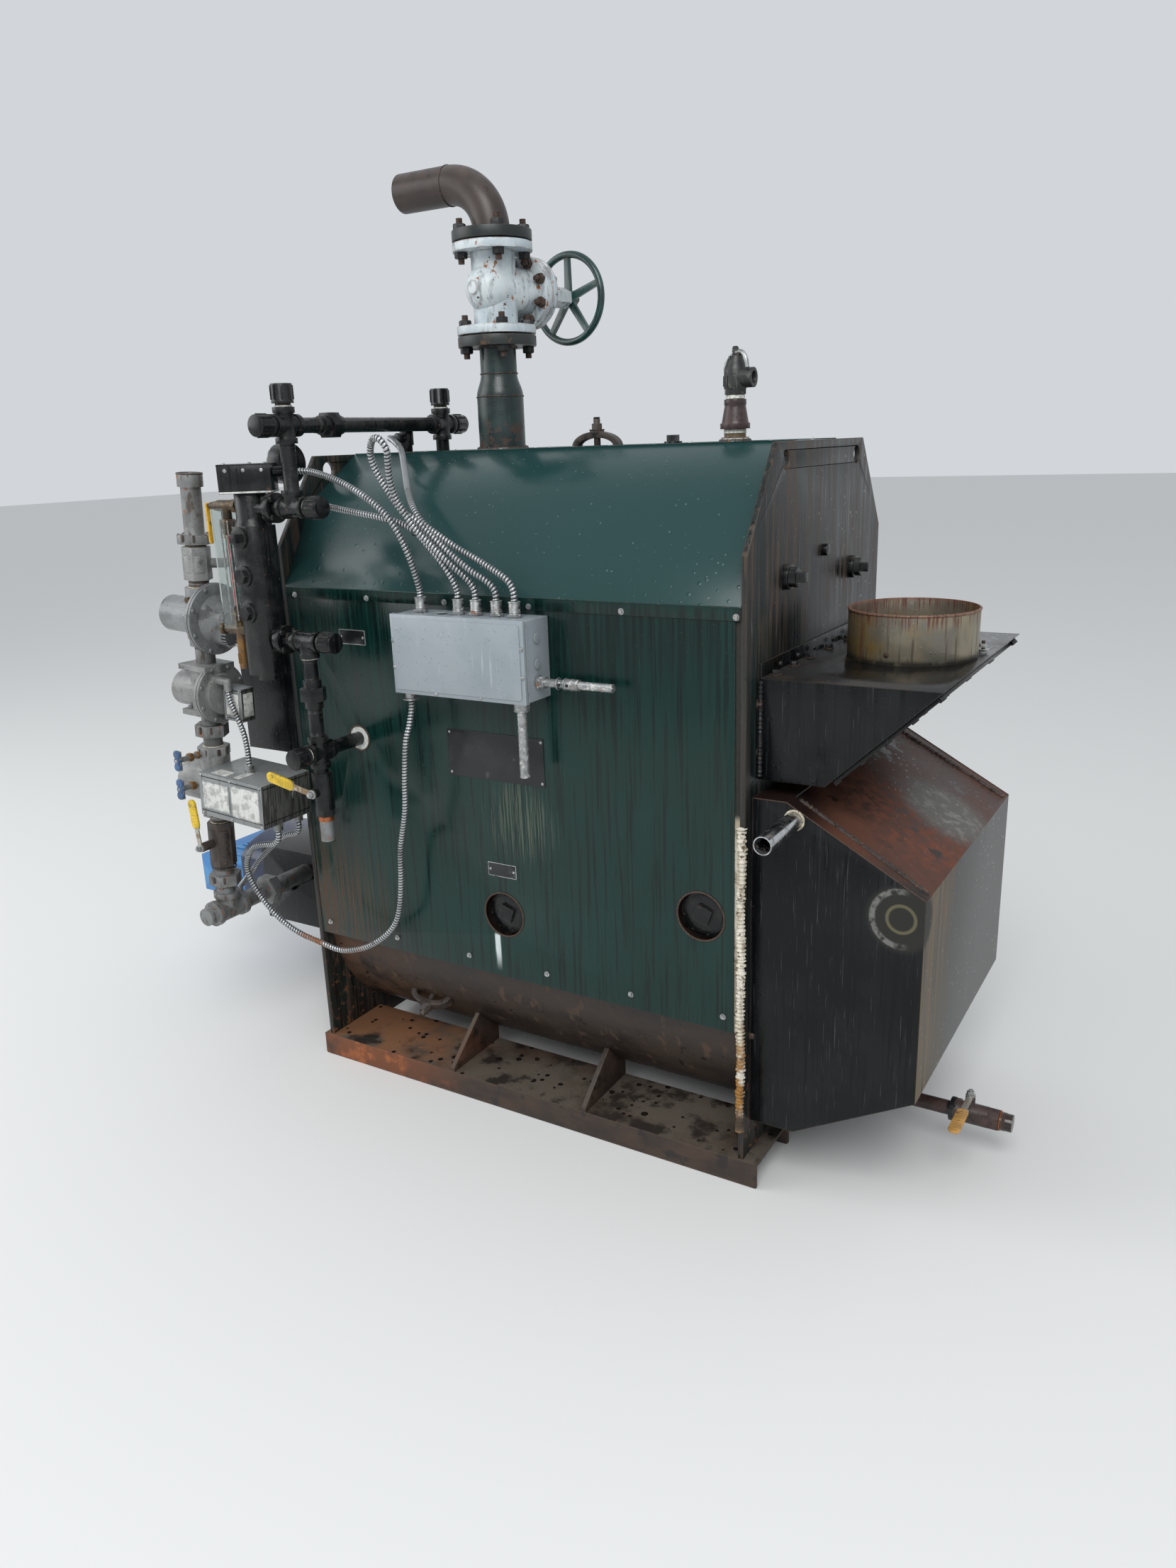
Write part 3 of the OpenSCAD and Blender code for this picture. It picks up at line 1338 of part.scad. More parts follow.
module rear_outline(inset) {
    polygon([
        [end_x + seat, rear_top_z - inset], [end_x + rear_flat_l, rear_top_z - inset],
        [end_x + rear_l - inset, rear_shoulder_z - inset],
        [end_x + rear_l - inset, rear_foot_z + inset],
        [end_x + rear_keel_l, rear_keel_z + inset], [end_x + seat, rear_keel_z + inset]
    ]);
}
module rear_box() {
    color("saddlebrown") difference() {
        across_y(rear_half_w) rear_outline(0);
        across_y(rear_half_w - flue_sheet) rear_outline(flue_sheet);
        rod_y([sight_x, -rear_half_w - cut, sight_z], flue_sheet + 2 * cut,
            sight_d - 2 * sight_wall);
    }
}
sight_reach = 92;
sight_drop = 35;
sight_x = end_x + sight_reach;
sight_z = rear_top_z - sight_drop;
sight_wall = 2.5;
module sight_tube() {
    color("silver") difference() {
        rod_y([sight_x, -rear_half_w - seat, sight_z], -sight_l, sight_d);
        rod_y([sight_x, -rear_half_w, sight_z], -sight_l - cut, sight_d - 2 * sight_wall);
    }
}
blowdown_y = -60;
blowdown_z = 105;
blowdown_body_l = 84;
blowdown_collar_d = 54;
blowdown_collar_l = 22;
blowdown_hex_l = 24;
blowdown_hex_flats = 46;
blowdown_end_d = 40;
blowdown_end_l = 34;
blowdown_stem = 44;
blowdown_lever_angle = -90;
module blowdown_pipe() {
    valve_x = end_x + blowdown_valve_x;
    body_x = valve_x - blowdown_body_l / 2;
    color("sienna") translate([0, blowdown_y, blowdown_z]) difference() {
        union() {
            rod_x([end_x + seat, 0, 0], blowdown_l - seat, pipe_d);
            rod_x([body_x, 0, 0], blowdown_body_l, fitting_d);
            rod_x([body_x, 0, 0], blowdown_collar_l, blowdown_collar_d);
            rod_x([body_x + blowdown_body_l, 0, 0], blowdown_hex_l,
                corners(blowdown_hex_flats), 6);
            rod_x([end_x + blowdown_l - blowdown_end_l, 0, 0], blowdown_end_l, blowdown_end_d);
            rod_z([valve_x, 0, 0], blowdown_stem, stem_boss_d);
        }
        rod_z([valve_x, 0, fitting_d / 4], blowdown_stem, lever_stem_d + 2 * stem_gap);
    }
}
module blowdown_lever() {
    color("gold") translate([end_x + blowdown_valve_x, blowdown_y, blowdown_z])
        rotate([-90, 0, 0]) lever(blowdown_lever_angle, blowdown_stem, blowdown_lever_l);
}

// Conduits: one ring of corners at each hand-set point, square to the way through it
conduit_d = 15;
tube_sides = 8;
function unit(v) = v / norm(v);
function way_at(p, i) = unit(p[min(i + 1, len(p) - 1)] - p[max(i - 1, 0)]);
function side_start(t) = unit(cross(t, abs(t[1]) > 0.9 ? [1, 0, 0] : [0, 1, 0]));
function side_at(p, i) = i == 0 ? side_start(way_at(p, 0))
    : let (n = side_at(p, i - 1), t = way_at(p, i)) unit(n - (n * t) * t);
function ring_at(p, i, r) = let (t = way_at(p, i), n = side_at(p, i), b = cross(t, n))
    [for (k = [0:tube_sides - 1]) p[i]
        + r * (cos(k * 360 / tube_sides) * n + sin(k * 360 / tube_sides) * b)];
module tube_along(p, d) {
    last = len(p) - 1;
    corner = [for (i = [0:last]) each ring_at(p, i, d / 2)];
    walls = [for (i = [0:last - 1], k = [0:tube_sides - 1])
        let (a = i * tube_sides + k, b = i * tube_sides + (k + 1) % tube_sides)
        each [[a, a + tube_sides, b + tube_sides], [a, b + tube_sides, b]]];
    color("lightgray") polyhedron(points = corner, faces = concat(
        [[for (k = [0:tube_sides - 1]) k]], walls,
        [[for (k = [tube_sides - 1:-1:0]) last * tube_sides + k]]));
}

// Each route's points, from its connector on; bends are wide and strands lie clear of each other
head_box_route = [
    [-468.2, -498, 1564], [-452, -486, 1564], [-425, -478, 1562], [-400, -480, 1559],
    [-339, -495, 1547], [-284, -503, 1529], [-234, -508, 1506], [-196, -508, 1481],
    [-169, -504, 1452], [-152, -496, 1414], [-143, -484, 1373], [-141, -470, 1330],
    [-143, -460, 1305], [-143, -460, 1289.4]
];
column_route = [
    [-530, -479.7, 1487], [-530, -465, 1487], [-527, -450, 1487], [-518, -436, 1487],
    [-503, -428, 1487], [-482, -427, 1487], [-440, -440, 1486], [-400, -458, 1485],
    [-340, -478, 1479], [-270, -488, 1470], [-212, -490, 1462], [-165, -486, 1451],
    [-126, -482, 1433], [-90, -478, 1397], [-62, -473, 1363], [-45, -466, 1330],
    [-39, -460, 1305], [-39, -460, 1289.4]
];
hairpin_route = [
    [8, -460, 1289.4], [8, -460, 1304], [3, -463, 1320], [-9, -470, 1338], [-42, -488, 1374],
    [-70, -500, 1406], [-98, -514, 1441], [-115, -526, 1476], [-126, -537, 1507],
    [-126, -550, 1546], [-119, -560, 1582], [-115, -566, 1604], [-122, -569, 1619],
    [-136, -567, 1627], [-154, -560, 1625], [-170, -550, 1613], [-181, -540, 1592],
    [-181, -530, 1566], [-172, -520, 1537], [-157, -512, 1507], [-137, -504, 1475],
    [-107, -496, 1456], [-76, -488, 1424], [-36, -479, 1386], [8, -471, 1352], [36, -466, 1335],
    [54, -462, 1320], [62, -460, 1304], [62, -460, 1289.4]
];
probe_route = [
    [109, -460, 1289.4], [109, -460, 1304], [104, -460, 1320], [91, -460, 1335],
    [60, -458, 1352], [10, -456, 1376], [-40, -458, 1400], [-84, -464, 1428], [-116, -466, 1450],
    [-152, -450, 1480], [-213, -390, 1517], [-283, -310, 1556], [-351, -236, 1600],
    [-396, -203, 1620], [-430, -180, 1629], [-446, -160, 1630], [-450, -144, 1630],
    [-450, -129.3, 1630]
];
actuator_route = [
    [-179, -475, 1058.4], [-179, -475, 1040], [-184, -482, 1000], [-193, -490, 955],
    [-205, -490, 866], [-214, -488, 788], [-243, -481, 688], [-256, -475, 601],
    [-268, -473, 534], [-286, -475, 483], [-322, -480, 441], [-384, -485, 401],
    [-459, -490, 379], [-525, -495, 388], [-598, -500, 404], [-656, -505, 433],
    [-700, -510, 474], [-730, -515, 520], [-740, -520, 564], [-726, -525, 603],
    [-692, -530, 637], [-650, -530, 650], [-624, -530, 655], [-606, -530, 666],
    [-599, -530, 681], [-597.9, -530, 697.1]
];
valve_route = [
    [-728, -520, 1042.7], [-728, -520, 1030], [-722, -520, 1008], [-711, -520, 983],
    [-699, -520, 957], [-690, -520, 930], [-686, -520, 900], [-685, -520, 878],
    [-685.4, -520, 855.5]
];
burner_route = [
    [-607.9, -450, 697.7], [-608.9, -450, 681], [-614, -449, 668], [-628, -448, 658],
    [-669, -445, 644], [-723, -442, 605], [-781, -440, 556], [-817, -435, 519],
    [-858, -430, 483], [-886, -426, 456], [-906, -408, 430], [-916, -370, 398],
    [-918, -300, 375], [-918, -240, 370], [-918, -220.4, 370]
];
module conduit_head_box() { tube_along(head_box_route, conduit_d); }
module conduit_column() { tube_along(column_route, conduit_d); }
module conduit_hairpin() { tube_along(hairpin_route, conduit_d); }
module conduit_probe() { tube_along(probe_route, conduit_d); }
module conduit_actuator() { tube_along(actuator_route, conduit_d); }
module conduit_valve() { tube_along(valve_route, conduit_d); }
module conduit_burner() { tube_along(burner_route, conduit_d); }

skid(0);  // skid_front
skid(1);  // skid_back
skid_gussets();
end_plate(-end_x);  // left_end_plate
end_plate(inner_x);  // right_end_plate
pressure_shell();
jacket(0);  // jacket_front
jacket(1);  // jacket_back
roof();
edge_insulation();
steam_pipe();
steam_flanges();
gate_valve_body();
gate_valve_bonnet();
gate_valve_handwheel();
outlet_elbow();
safety_nipple();
safety_valve();
handholes();
vessel_plugs();
water_column();
column_head_box();
gauge_glass();
gauge_cocks();
equalizing_pipe_upper();
equalizing_pipe_lower();
column_drain_valve();
column_drain_lever();
pressure_gauge();
control_box();
control_box_cover();
box_connectors();
gas_pipework();
gas_upper_valve();
gas_upper_lever();
gas_regulator();
gas_diaphragm_valve();
gas_valve_box();
gas_main_valve();
gas_actuator();
gas_lower_valve();
gas_lower_lever();
burner_wind_box();
burner();
front_smoke_box();
flue_box();
flue_cover();
flue_collar();
rear_box();
sight_tube();
blowdown_pipe();
blowdown_lever();
conduit_head_box();
conduit_column();
conduit_hairpin();
conduit_probe();
conduit_actuator();
conduit_valve();
conduit_burner();
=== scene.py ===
"""The looks of an industrial boiler: finishes, piping detail, conduits and fasteners.

Every length is in metres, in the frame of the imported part: +X along the boiler towards
the flue boxes, -Y the front, +Z up, with the origin on the ground between the end plates.
New shapes are grids of points worked out with numpy, gathered in Shape and made into meshes.
"""
import math

import bpy
import numpy as np
from mathutils import Matrix, Vector


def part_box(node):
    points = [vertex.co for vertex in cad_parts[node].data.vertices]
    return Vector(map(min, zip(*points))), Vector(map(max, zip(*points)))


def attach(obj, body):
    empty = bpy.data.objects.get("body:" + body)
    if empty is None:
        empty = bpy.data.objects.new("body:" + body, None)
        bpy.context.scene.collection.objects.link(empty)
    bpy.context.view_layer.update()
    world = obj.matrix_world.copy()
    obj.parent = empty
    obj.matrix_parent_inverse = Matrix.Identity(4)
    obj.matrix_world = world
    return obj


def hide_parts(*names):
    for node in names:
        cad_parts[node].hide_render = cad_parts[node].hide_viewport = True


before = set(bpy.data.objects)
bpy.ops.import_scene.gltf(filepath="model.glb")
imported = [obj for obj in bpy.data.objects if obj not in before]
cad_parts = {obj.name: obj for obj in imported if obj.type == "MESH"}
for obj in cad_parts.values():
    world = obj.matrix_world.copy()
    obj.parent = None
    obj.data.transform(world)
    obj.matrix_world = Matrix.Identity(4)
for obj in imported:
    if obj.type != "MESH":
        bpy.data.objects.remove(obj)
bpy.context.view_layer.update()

# Camera: place, turn to the left, tilt down and roll, from the lines of the photograph
CAMERA_PLACE = (1.4764, -2.4309, 1.6061)
CAMERA_YAW = 31.36
CAMERA_PITCH = -16.81
CAMERA_ROLL = -1.99
CAMERA_LENS = 26.02
FILM_HEIGHT = 36


def make_camera():
    """Camera axes: forward from yaw and pitch, then right and up turned by the roll."""
    yaw, pitch, roll = (math.radians(a) for a in (CAMERA_YAW, CAMERA_PITCH, CAMERA_ROLL))
    forward = Vector((-math.sin(yaw) * math.cos(pitch), math.cos(yaw) * math.cos(pitch),
                      math.sin(pitch)))
    right = Vector((math.cos(yaw), math.sin(yaw), 0))
    up = right.cross(forward)
    axis_x = math.cos(roll) * right + math.sin(roll) * up
    axis_y = math.cos(roll) * up - math.sin(roll) * right
    data = bpy.data.cameras.new("camera")
    data.sensor_fit = "VERTICAL"
    data.sensor_height = FILM_HEIGHT
    data.lens = CAMERA_LENS
    data.clip_end = 100
    camera = bpy.data.objects.new("camera", data)
    bpy.context.scene.collection.objects.link(camera)
    turn = Matrix((axis_x, axis_y, -forward)).transposed().to_4x4()
    camera.matrix_world = Matrix.Translation(CAMERA_PLACE) @ turn
    bpy.context.scene.camera = camera


def make_stage():
    """A flat pale floor, a pale world and two large soft lamps."""
    scene = bpy.context.scene
    scene.view_settings.view_transform = "Standard"
    mesh = bpy.data.meshes.new("floor")
    half = 40
    mesh.from_pydata([(-half, -half, 0), (half, -half, 0), (half, half, 0), (-half, half, 0)],
                     [], [(0, 1, 2, 3)])
    floor = bpy.data.objects.new("floor", mesh)
    scene.collection.objects.link(floor)
    paint = bpy.data.materials.new("floor_paint")
    paint.use_nodes = True
    shader = paint.node_tree.nodes["Principled BSDF"]
    shader.inputs["Base Color"].default_value = (0.72, 0.72, 0.71, 1)
    shader.inputs["Roughness"].default_value = 0.9
    mesh.materials.append(paint)
    world = bpy.data.worlds.new("pale_sky")
    scene.world = world
    world.use_nodes = True
    sky = world.node_tree.nodes["Background"]
    sky.inputs["Color"].default_value = (0.92, 0.96, 1.0, 1)
    sky.inputs["Strength"].default_value = 0.7
    for name, place, size, power in (("key", (2.5, -5.0, 6.0), 4.0, 330),
                                     ("fill", (-5.0, -3.0, 3.5), 4.0, 120)):
        lamp = bpy.data.lights.new(name, "AREA")
        lamp.size = size
        lamp.energy = power
        light = bpy.data.objects.new(name, lamp)
        scene.collection.objects.link(light)
        aim = Vector((0, 0, 0.9)) - Vector(place)
        light.location = place
        light.rotation_euler = aim.to_track_quat("-Z", "Y").to_euler()


# Node trees: small helpers, then the effects that many finishes share


def tint(red, green, blue):
    """A colour as seen on a screen, 0 to 255, as linear light."""
    return tuple((c / 255 / 12.92 if c < 10.3 else ((c / 255 + 0.055) / 1.055) ** 2.4)
                 for c in (red, green, blue)) + (1.0,)


def feed(tree, socket, value):
    """A socket takes a link from another socket, or a plain value."""
    if isinstance(value, bpy.types.NodeSocket):
        tree.links.new(value, socket)
    else:
        socket.default_value = value


def add_node(tree, kind, settings=None, **inputs):
    """One node: its properties first, then its sockets by name, with _ for a space."""
    made = tree.nodes.new(kind)
    for key, value in (settings or {}).items():
        setattr(made, key, value)
    for key, value in inputs.items():
        feed(tree, made.inputs[key.replace("_", " ")], value)
    return made


def maths(tree, operation, a, b=0.0, clamp=False):
    """One sum on two sockets or numbers, held between 0 and 1 where clamp is set."""
    made = tree.nodes.new("ShaderNodeMath")
    made.operation = operation
    made.use_clamp = clamp
    feed(tree, made.inputs[0], a)
    feed(tree, made.inputs[1], b)
    return made.outputs[0]


def ramp(tree, value, low, high):
    """0 below low, 1 above high, smooth between."""
    made = add_node(tree, "ShaderNodeMapRange", {"interpolation_type": "SMOOTHSTEP"},
                    Value=value, From_Min=low, From_Max=high)
    return made.outputs["Result"]


def new_group(name, inputs, outputs):
    """A shader node group with named sockets: its tree, its inputs and its output node."""
    tree = bpy.data.node_groups.new(name, "ShaderNodeTree")
    for label, kind, value in inputs:
        socket = tree.interface.new_socket(label, in_out="INPUT", socket_type=kind)
        socket.default_value = value
    for label, kind in outputs:
        tree.interface.new_socket(label, in_out="OUTPUT", socket_type=kind)
    return tree, tree.nodes.new("NodeGroupInput").outputs, tree.nodes.new("NodeGroupOutput")


FLOAT, VECTOR = "NodeSocketFloat", "NodeSocketVector"


def blotch_group():
    """Noise on stretched coordinates, cut between two levels: stains, streaks and runs."""
    tree, given, end = new_group("blotches", [
        ("Vector", VECTOR, (0, 0, 0)), ("Stretch", VECTOR, (1, 1, 1)), ("Scale", FLOAT, 10),
        ("Warp", FLOAT, 0), ("Low", FLOAT, 0.4), ("High", FLOAT, 0.6)], [("Mask", FLOAT)])
    spread = add_node(tree, "ShaderNodeVectorMath", {"operation": "MULTIPLY"})
    feed(tree, spread.inputs[0], given["Vector"])
    feed(tree, spread.inputs[1], given["Stretch"])
    noise = add_node(tree, "ShaderNodeTexNoise", Vector=spread.outputs[0], Scale=given["Scale"],
                     Detail=6.0, Roughness=0.6, Distortion=given["Warp"])
    mask = ramp(tree, noise.outputs["Fac"], given["Low"], given["High"])
    feed(tree, end.inputs["Mask"], mask)
    return tree


def edge_group():
    """Where a rounded normal leaves the true one, an edge is near: wear and chips."""
    tree, given, end = new_group("worn_edges", [
        ("Vector", VECTOR, (0, 0, 0)), ("Radius", FLOAT, 0.004), ("Low", FLOAT, 0.02),
        ("High", FLOAT, 0.2)], [("Mask", FLOAT)])
    rounded = add_node(tree, "ShaderNodeBevel", {"samples": 4}, Radius=given["Radius"])
    true = add_node(tree, "ShaderNodeNewGeometry")
    dot = add_node(tree, "ShaderNodeVectorMath", {"operation": "DOT_PRODUCT"})
    feed(tree, dot.inputs[0], rounded.outputs["Normal"])
    feed(tree, dot.inputs[1], true.outputs["Normal"])
    bend = maths(tree, "SUBTRACT", 1.0, dot.outputs["Value"])
    noise = add_node(tree, "ShaderNodeTexNoise", Vector=given["Vector"], Scale=90.0, Detail=5.0)
    ragged = maths(tree, "MULTIPLY", bend, maths(tree, "ADD", noise.outputs["Fac"], 0.5))
    feed(tree, end.inputs["Mask"], ramp(tree, ragged, given["Low"], given["High"]))
    return tree


def dot_group():
    """Round cells of a Voronoi pattern, some of them left out: pits, specks and drops."""
    tree, given, end = new_group("dots", [
        ("Vector", VECTOR, (0, 0, 0)), ("Scale", FLOAT, 100), ("Size", FLOAT, 0.3),
        ("Share", FLOAT, 0.5)], [("Mask", FLOAT), ("Height", FLOAT)])
    cells = add_node(tree, "ShaderNodeTexVoronoi", Vector=given["Vector"], Scale=given["Scale"],
                     Randomness=1.0)
    pick = add_node(tree, "ShaderNodeSeparateColor", Color=cells.outputs["Color"])
    kept = maths(tree, "LESS_THAN", pick.outputs[0], given["Share"])
    size = maths(tree, "MULTIPLY", given["Size"], maths(tree, "ADD", pick.outputs[1], 0.4))
    inside = maths(tree, "SUBTRACT", 1.0, maths(tree, "DIVIDE", cells.outputs["Distance"], size),
                   clamp=True)
    dome = maths(tree, "MULTIPLY", maths(tree, "SQRT", inside), kept)
    feed(tree, end.inputs["Height"], dome)
    feed(tree, end.inputs["Mask"], ramp(tree, dome, 0.0, 0.35))
    return tree


def grain_group():
    """Noise as bump: cast skin, orange peel, dents and ripples."""
    tree, given, end = new_group("grain", [
        ("Vector", VECTOR, (0, 0, 0)), ("Stretch", VECTOR, (1, 1, 1)), ("Scale", FLOAT, 200),
        ("Strength", FLOAT, 0.3), ("Depth", FLOAT, 0.001), ("Normal", VECTOR, (0, 0, 0))],
        [("Normal", VECTOR)])
    spread = add_node(tree, "ShaderNodeVectorMath", {"operation": "MULTIPLY"})
    feed(tree, spread.inputs[0], given["Vector"])
    feed(tree, spread.inputs[1], given["Stretch"])
    noise = add_node(tree, "ShaderNodeTexNoise", Vector=spread.outputs[0], Scale=given["Scale"],
                     Detail=4.0, Roughness=0.55)
    bump = add_node(tree, "ShaderNodeBump", Strength=given["Strength"], Distance=given["Depth"],
                    Height=noise.outputs["Fac"], Normal=given["Normal"])
    feed(tree, end.inputs["Normal"], bump.outputs["Normal"])
    return tree


GROUPS = {"blotch": blotch_group(), "edge": edge_group(), "dots": dot_group(),
          "grain": grain_group()}


# How far the coordinates move on for each mask of a finish
MASK_SHIFT = (3.7, 1.3, 2.1)


class Finish:
    """One material: a base, and layers mixed over it where their masks say."""

    def __init__(self, name, color, rough, metal=0.0, coat=0.0, coat_rough=0.1):
        """The base colour, roughness, metal and coat, before any layer."""
        self.material = bpy.data.materials.new(name)
        self.material.use_nodes = True
        self.tree = self.material.node_tree
        self.shader = self.tree.nodes["Principled BSDF"]
        self.shader.inputs["Coat Weight"].default_value = coat
        self.shader.inputs["Coat Roughness"].default_value = coat_rough
        self.place = add_node(self.tree, "ShaderNodeTexCoord").outputs["Object"]
        self.color, self.rough, self.metal = tint(*color), rough, metal
        self.normal = None
        self.shifts = 0

    def use(self, group, **inputs):
        """One of the shared groups, with this material's own values."""
        made = self.tree.nodes.new("ShaderNodeGroup")
        made.node_tree = GROUPS[group]
        for key, value in inputs.items():
            feed(self.tree, made.inputs[key], value)
        return made

    def shifted(self):
        """The coordinates moved on for each mask, so that no two share a pattern."""
        self.shifts += 1
        move = add_node(self.tree, "ShaderNodeVectorMath", {"operation": "ADD"})
        feed(self.tree, move.inputs[0], self.place)
        move.inputs[1].default_value = tuple(s * self.shifts for s in MASK_SHIFT)
        return move.outputs[0]

    def blotch(self, scale, low=0.45, high=0.6, stretch=(1, 1, 1), warp=0.0):
        """A mask of stretched noise, cut between two levels."""
        made = self.use("blotch", Vector=self.shifted(), Scale=scale, Low=low, High=high,
                        Stretch=stretch, Warp=warp)
        return made.outputs["Mask"]

    def edge(self, radius=0.004, low=0.03, high=0.25):
        """A mask of worn edges."""
        made = self.use("edge", Vector=self.place, Radius=radius, Low=low, High=high)
        return made.outputs["Mask"]

    def dots(self, scale, size=0.3, share=0.5):
        """A mask of round specks, of which a share is kept."""
        return self.use("dots", Vector=self.shifted(), Scale=scale, Size=size,
                        Share=share).outputs["Mask"]

    def band(self, axis, start, end):
        """0 at start and 1 at end of a coordinate, whichever of them is the larger."""
        parts = add_node(self.tree, "ShaderNodeSeparateXYZ", Vector=self.place)
        made = add_node(self.tree, "ShaderNodeMapRange",
                        {"interpolation_type": "SMOOTHSTEP"}, Value=parts.outputs[axis])
        low, high = min(start, end), max(start, end)
        made.inputs["From Min"].default_value = low
        made.inputs["From Max"].default_value = high
        made.inputs["To Min"].default_value = 0.0 if start < end else 1.0
        made.inputs["To Max"].default_value = 1.0 if start < end else 0.0
        return made.outputs["Result"]

    def ball(self, centre, inner, outer):
        """1 within the inner distance of a point, 0 past the outer one."""
        gap = add_node(self.tree, "ShaderNodeVectorMath", {"operation": "DISTANCE"})
        feed(self.tree, gap.inputs[0], self.place)
        gap.inputs[1].default_value = centre
        near = ramp(self.tree, gap.outputs["Value"], inner, outer)
        return maths(self.tree, "SUBTRACT", 1.0, near)

    def upward(self, low=0.4, high=0.9):
        """1 where the surface faces the sky: for dust, standing water, and painted sky reflection.
        """
        true = add_node(self.tree, "ShaderNodeNewGeometry")
        parts = add_node(self.tree, "ShaderNodeSeparateXYZ", Vector=true.outputs["Normal"])
        return ramp(self.tree, parts.outputs["Z"], low, high)

    def both(self, *masks):
        """The product of the masks: 1 only where all of them are."""
        product = masks[0]
        for mask in masks[1:]:
            product = maths(self.tree, "MULTIPLY", product, mask, clamp=True)
        return product

    def mixed(self, mask, under, over, kind):
        """Under where the mask is 0 and over where it is 1."""
        made = add_node(self.tree, "ShaderNodeMix", {"data_type": kind})
        sockets = [s for s in made.inputs if s.enabled]
        feed(self.tree, sockets[0], mask)
        feed(self.tree, sockets[1], under)
        feed(self.tree, sockets[2], over)
        return [s for s in made.outputs if s.enabled][0]

    def layer(self, mask, color=None, rough=None, metal=None):
        """Colour, roughness and metal laid over what is there, where the mask says."""
        if color is not None:
            self.color = self.mixed(mask, self.color, tint(*color), "RGBA")
        if rough is not None:
            self.rough = self.mixed(mask, self.rough, rough, "FLOAT")
        if metal is not None:
            self.metal = self.mixed(mask, self.metal, metal, "FLOAT")
        return self

    def grain(self, scale, strength=0.3, depth=0.001, stretch=(1, 1, 1)):
        """Noise as bump, over what is already bumped."""
        made = self.use("grain", Vector=self.place, Scale=scale, Strength=strength, Depth=depth,
                        Stretch=stretch)
        if self.normal is not None:
            feed(self.tree, made.inputs["Normal"], self.normal)
        self.normal = made.outputs["Normal"]
        return self

    def raised(self, height, strength=0.4, depth=0.001):
        """A mask or height as bump, over what is already bumped."""
        made = add_node(self.tree, "ShaderNodeBump", Strength=strength, Distance=depth,
                        Height=height)
        if self.normal is not None:
            feed(self.tree, made.inputs["Normal"], self.normal)
        self.normal = made.outputs["Normal"]
        return self

    def drops(self, scale, size=0.3, share=0.4, strength=0.5, depth=0.001):
        """Rain drops: round bumps, glossier than what they lie on."""
        made = self.use("dots", Vector=self.shifted(), Scale=scale, Size=size, Share=share)
        self.layer(made.outputs["Mask"], rough=0.06)
        return self.raised(made.outputs["Height"], strength, depth)

    def done(self):
        """The last colour, roughness, metal and normal go into the shader."""
        feed(self.tree, self.shader.inputs["Base Color"], self.color)
        feed(self.tree, self.shader.inputs["Roughness"], self.rough)
        feed(self.tree, self.shader.inputs["Metallic"], self.metal)
        if self.normal is not None:
            feed(self.tree, self.shader.inputs["Normal"], self.normal)
        return self.material


# CAD pieces: their edges rounded a little, and their curves shaded smooth


def smooth_group():
    """Drops the stored normals, joins loose faces, and marks as sharp what bends past an angle."""
    tree = bpy.data.node_groups.new("smooth_by_angle", "GeometryNodeTree")
    tree.interface.new_socket("Geometry", in_out="INPUT", socket_type="NodeSocketGeometry")
    limit = tree.interface.new_socket("Angle", in_out="INPUT", socket_type="NodeSocketFloat")
    limit.default_value = math.radians(30)
    tree.interface.new_socket("Geometry", in_out="OUTPUT", socket_type="NodeSocketGeometry")
    given = tree.nodes.new("NodeGroupInput").outputs
    end = tree.nodes.new("NodeGroupOutput")
    bare = add_node(tree, "GeometryNodeRemoveAttribute", Geometry=given["Geometry"],
                    Name="custom_normal")
    joined = add_node(tree, "GeometryNodeMergeByDistance", Geometry=bare.outputs["Geometry"],
                      Distance=0.00002)
    faces = add_node(tree, "GeometryNodeSetShadeSmooth", Geometry=joined.outputs["Geometry"])
    faces.inputs["Shade Smooth"].default_value = True
    bend = add_node(tree, "GeometryNodeInputMeshEdgeAngle")
    gentle = maths(tree, "LESS_THAN", bend.outputs["Unsigned Angle"], given["Angle"])
    edges = add_node(tree, "GeometryNodeSetShadeSmooth", {"domain": "EDGE"},
                     Geometry=faces.outputs["Geometry"], Shade_Smooth=gentle)
    feed(tree, end.inputs["Geometry"], edges.outputs["Geometry"])
    return tree


SMOOTH = smooth_group()
BEVEL_ANGLE = 32


def dress(node, finish, bevel=0.0):
    """A CAD node takes its finish, and a small bevel where one is given."""
    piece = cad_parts[node]
    piece.data.materials.clear()
    piece.data.materials.append(finish)
    first = piece.modifiers.new("joined", "NODES")
    first.node_group = SMOOTH
    if bevel:
        cut = piece.modifiers.new("rounded_edges", "BEVEL")
        cut.width = bevel
        cut.segments = 2
        cut.limit_method = "ANGLE"
        cut.angle_limit = math.radians(BEVEL_ANGLE)
        cut.harden_normals = False
        last = piece.modifiers.new("smooth", "NODES")
        last.node_group = SMOOTH


# Shapes: grids of points, gathered piece by piece


def unit(vector):
    """The vector over its own length."""
    vector = np.asarray(vector, float)
    return vector / np.linalg.norm(vector, axis=-1, keepdims=True)


def axes_for(direction):
    """Two more axes square to a direction, with side x up = direction."""
    along = unit(direction)
    guide = np.array([0.0, 0.0, 1.0]) if abs(along[2]) < 0.9 else np.array([0.0, 1.0, 0.0])
    side = unit(np.cross(guide, along))
    return along, side, np.cross(along, side)


def ring_quads(rows, around):
    """Quads between rows of a grid whose rows close on themselves."""
    row = np.arange(rows - 1)[:, None] * around
    here = np.arange(around)[None, :]
    then = (here + 1) % around
    return np.stack([row + here, row + then, row + then + around, row + here + around],
                    -1).reshape(-1, 4)


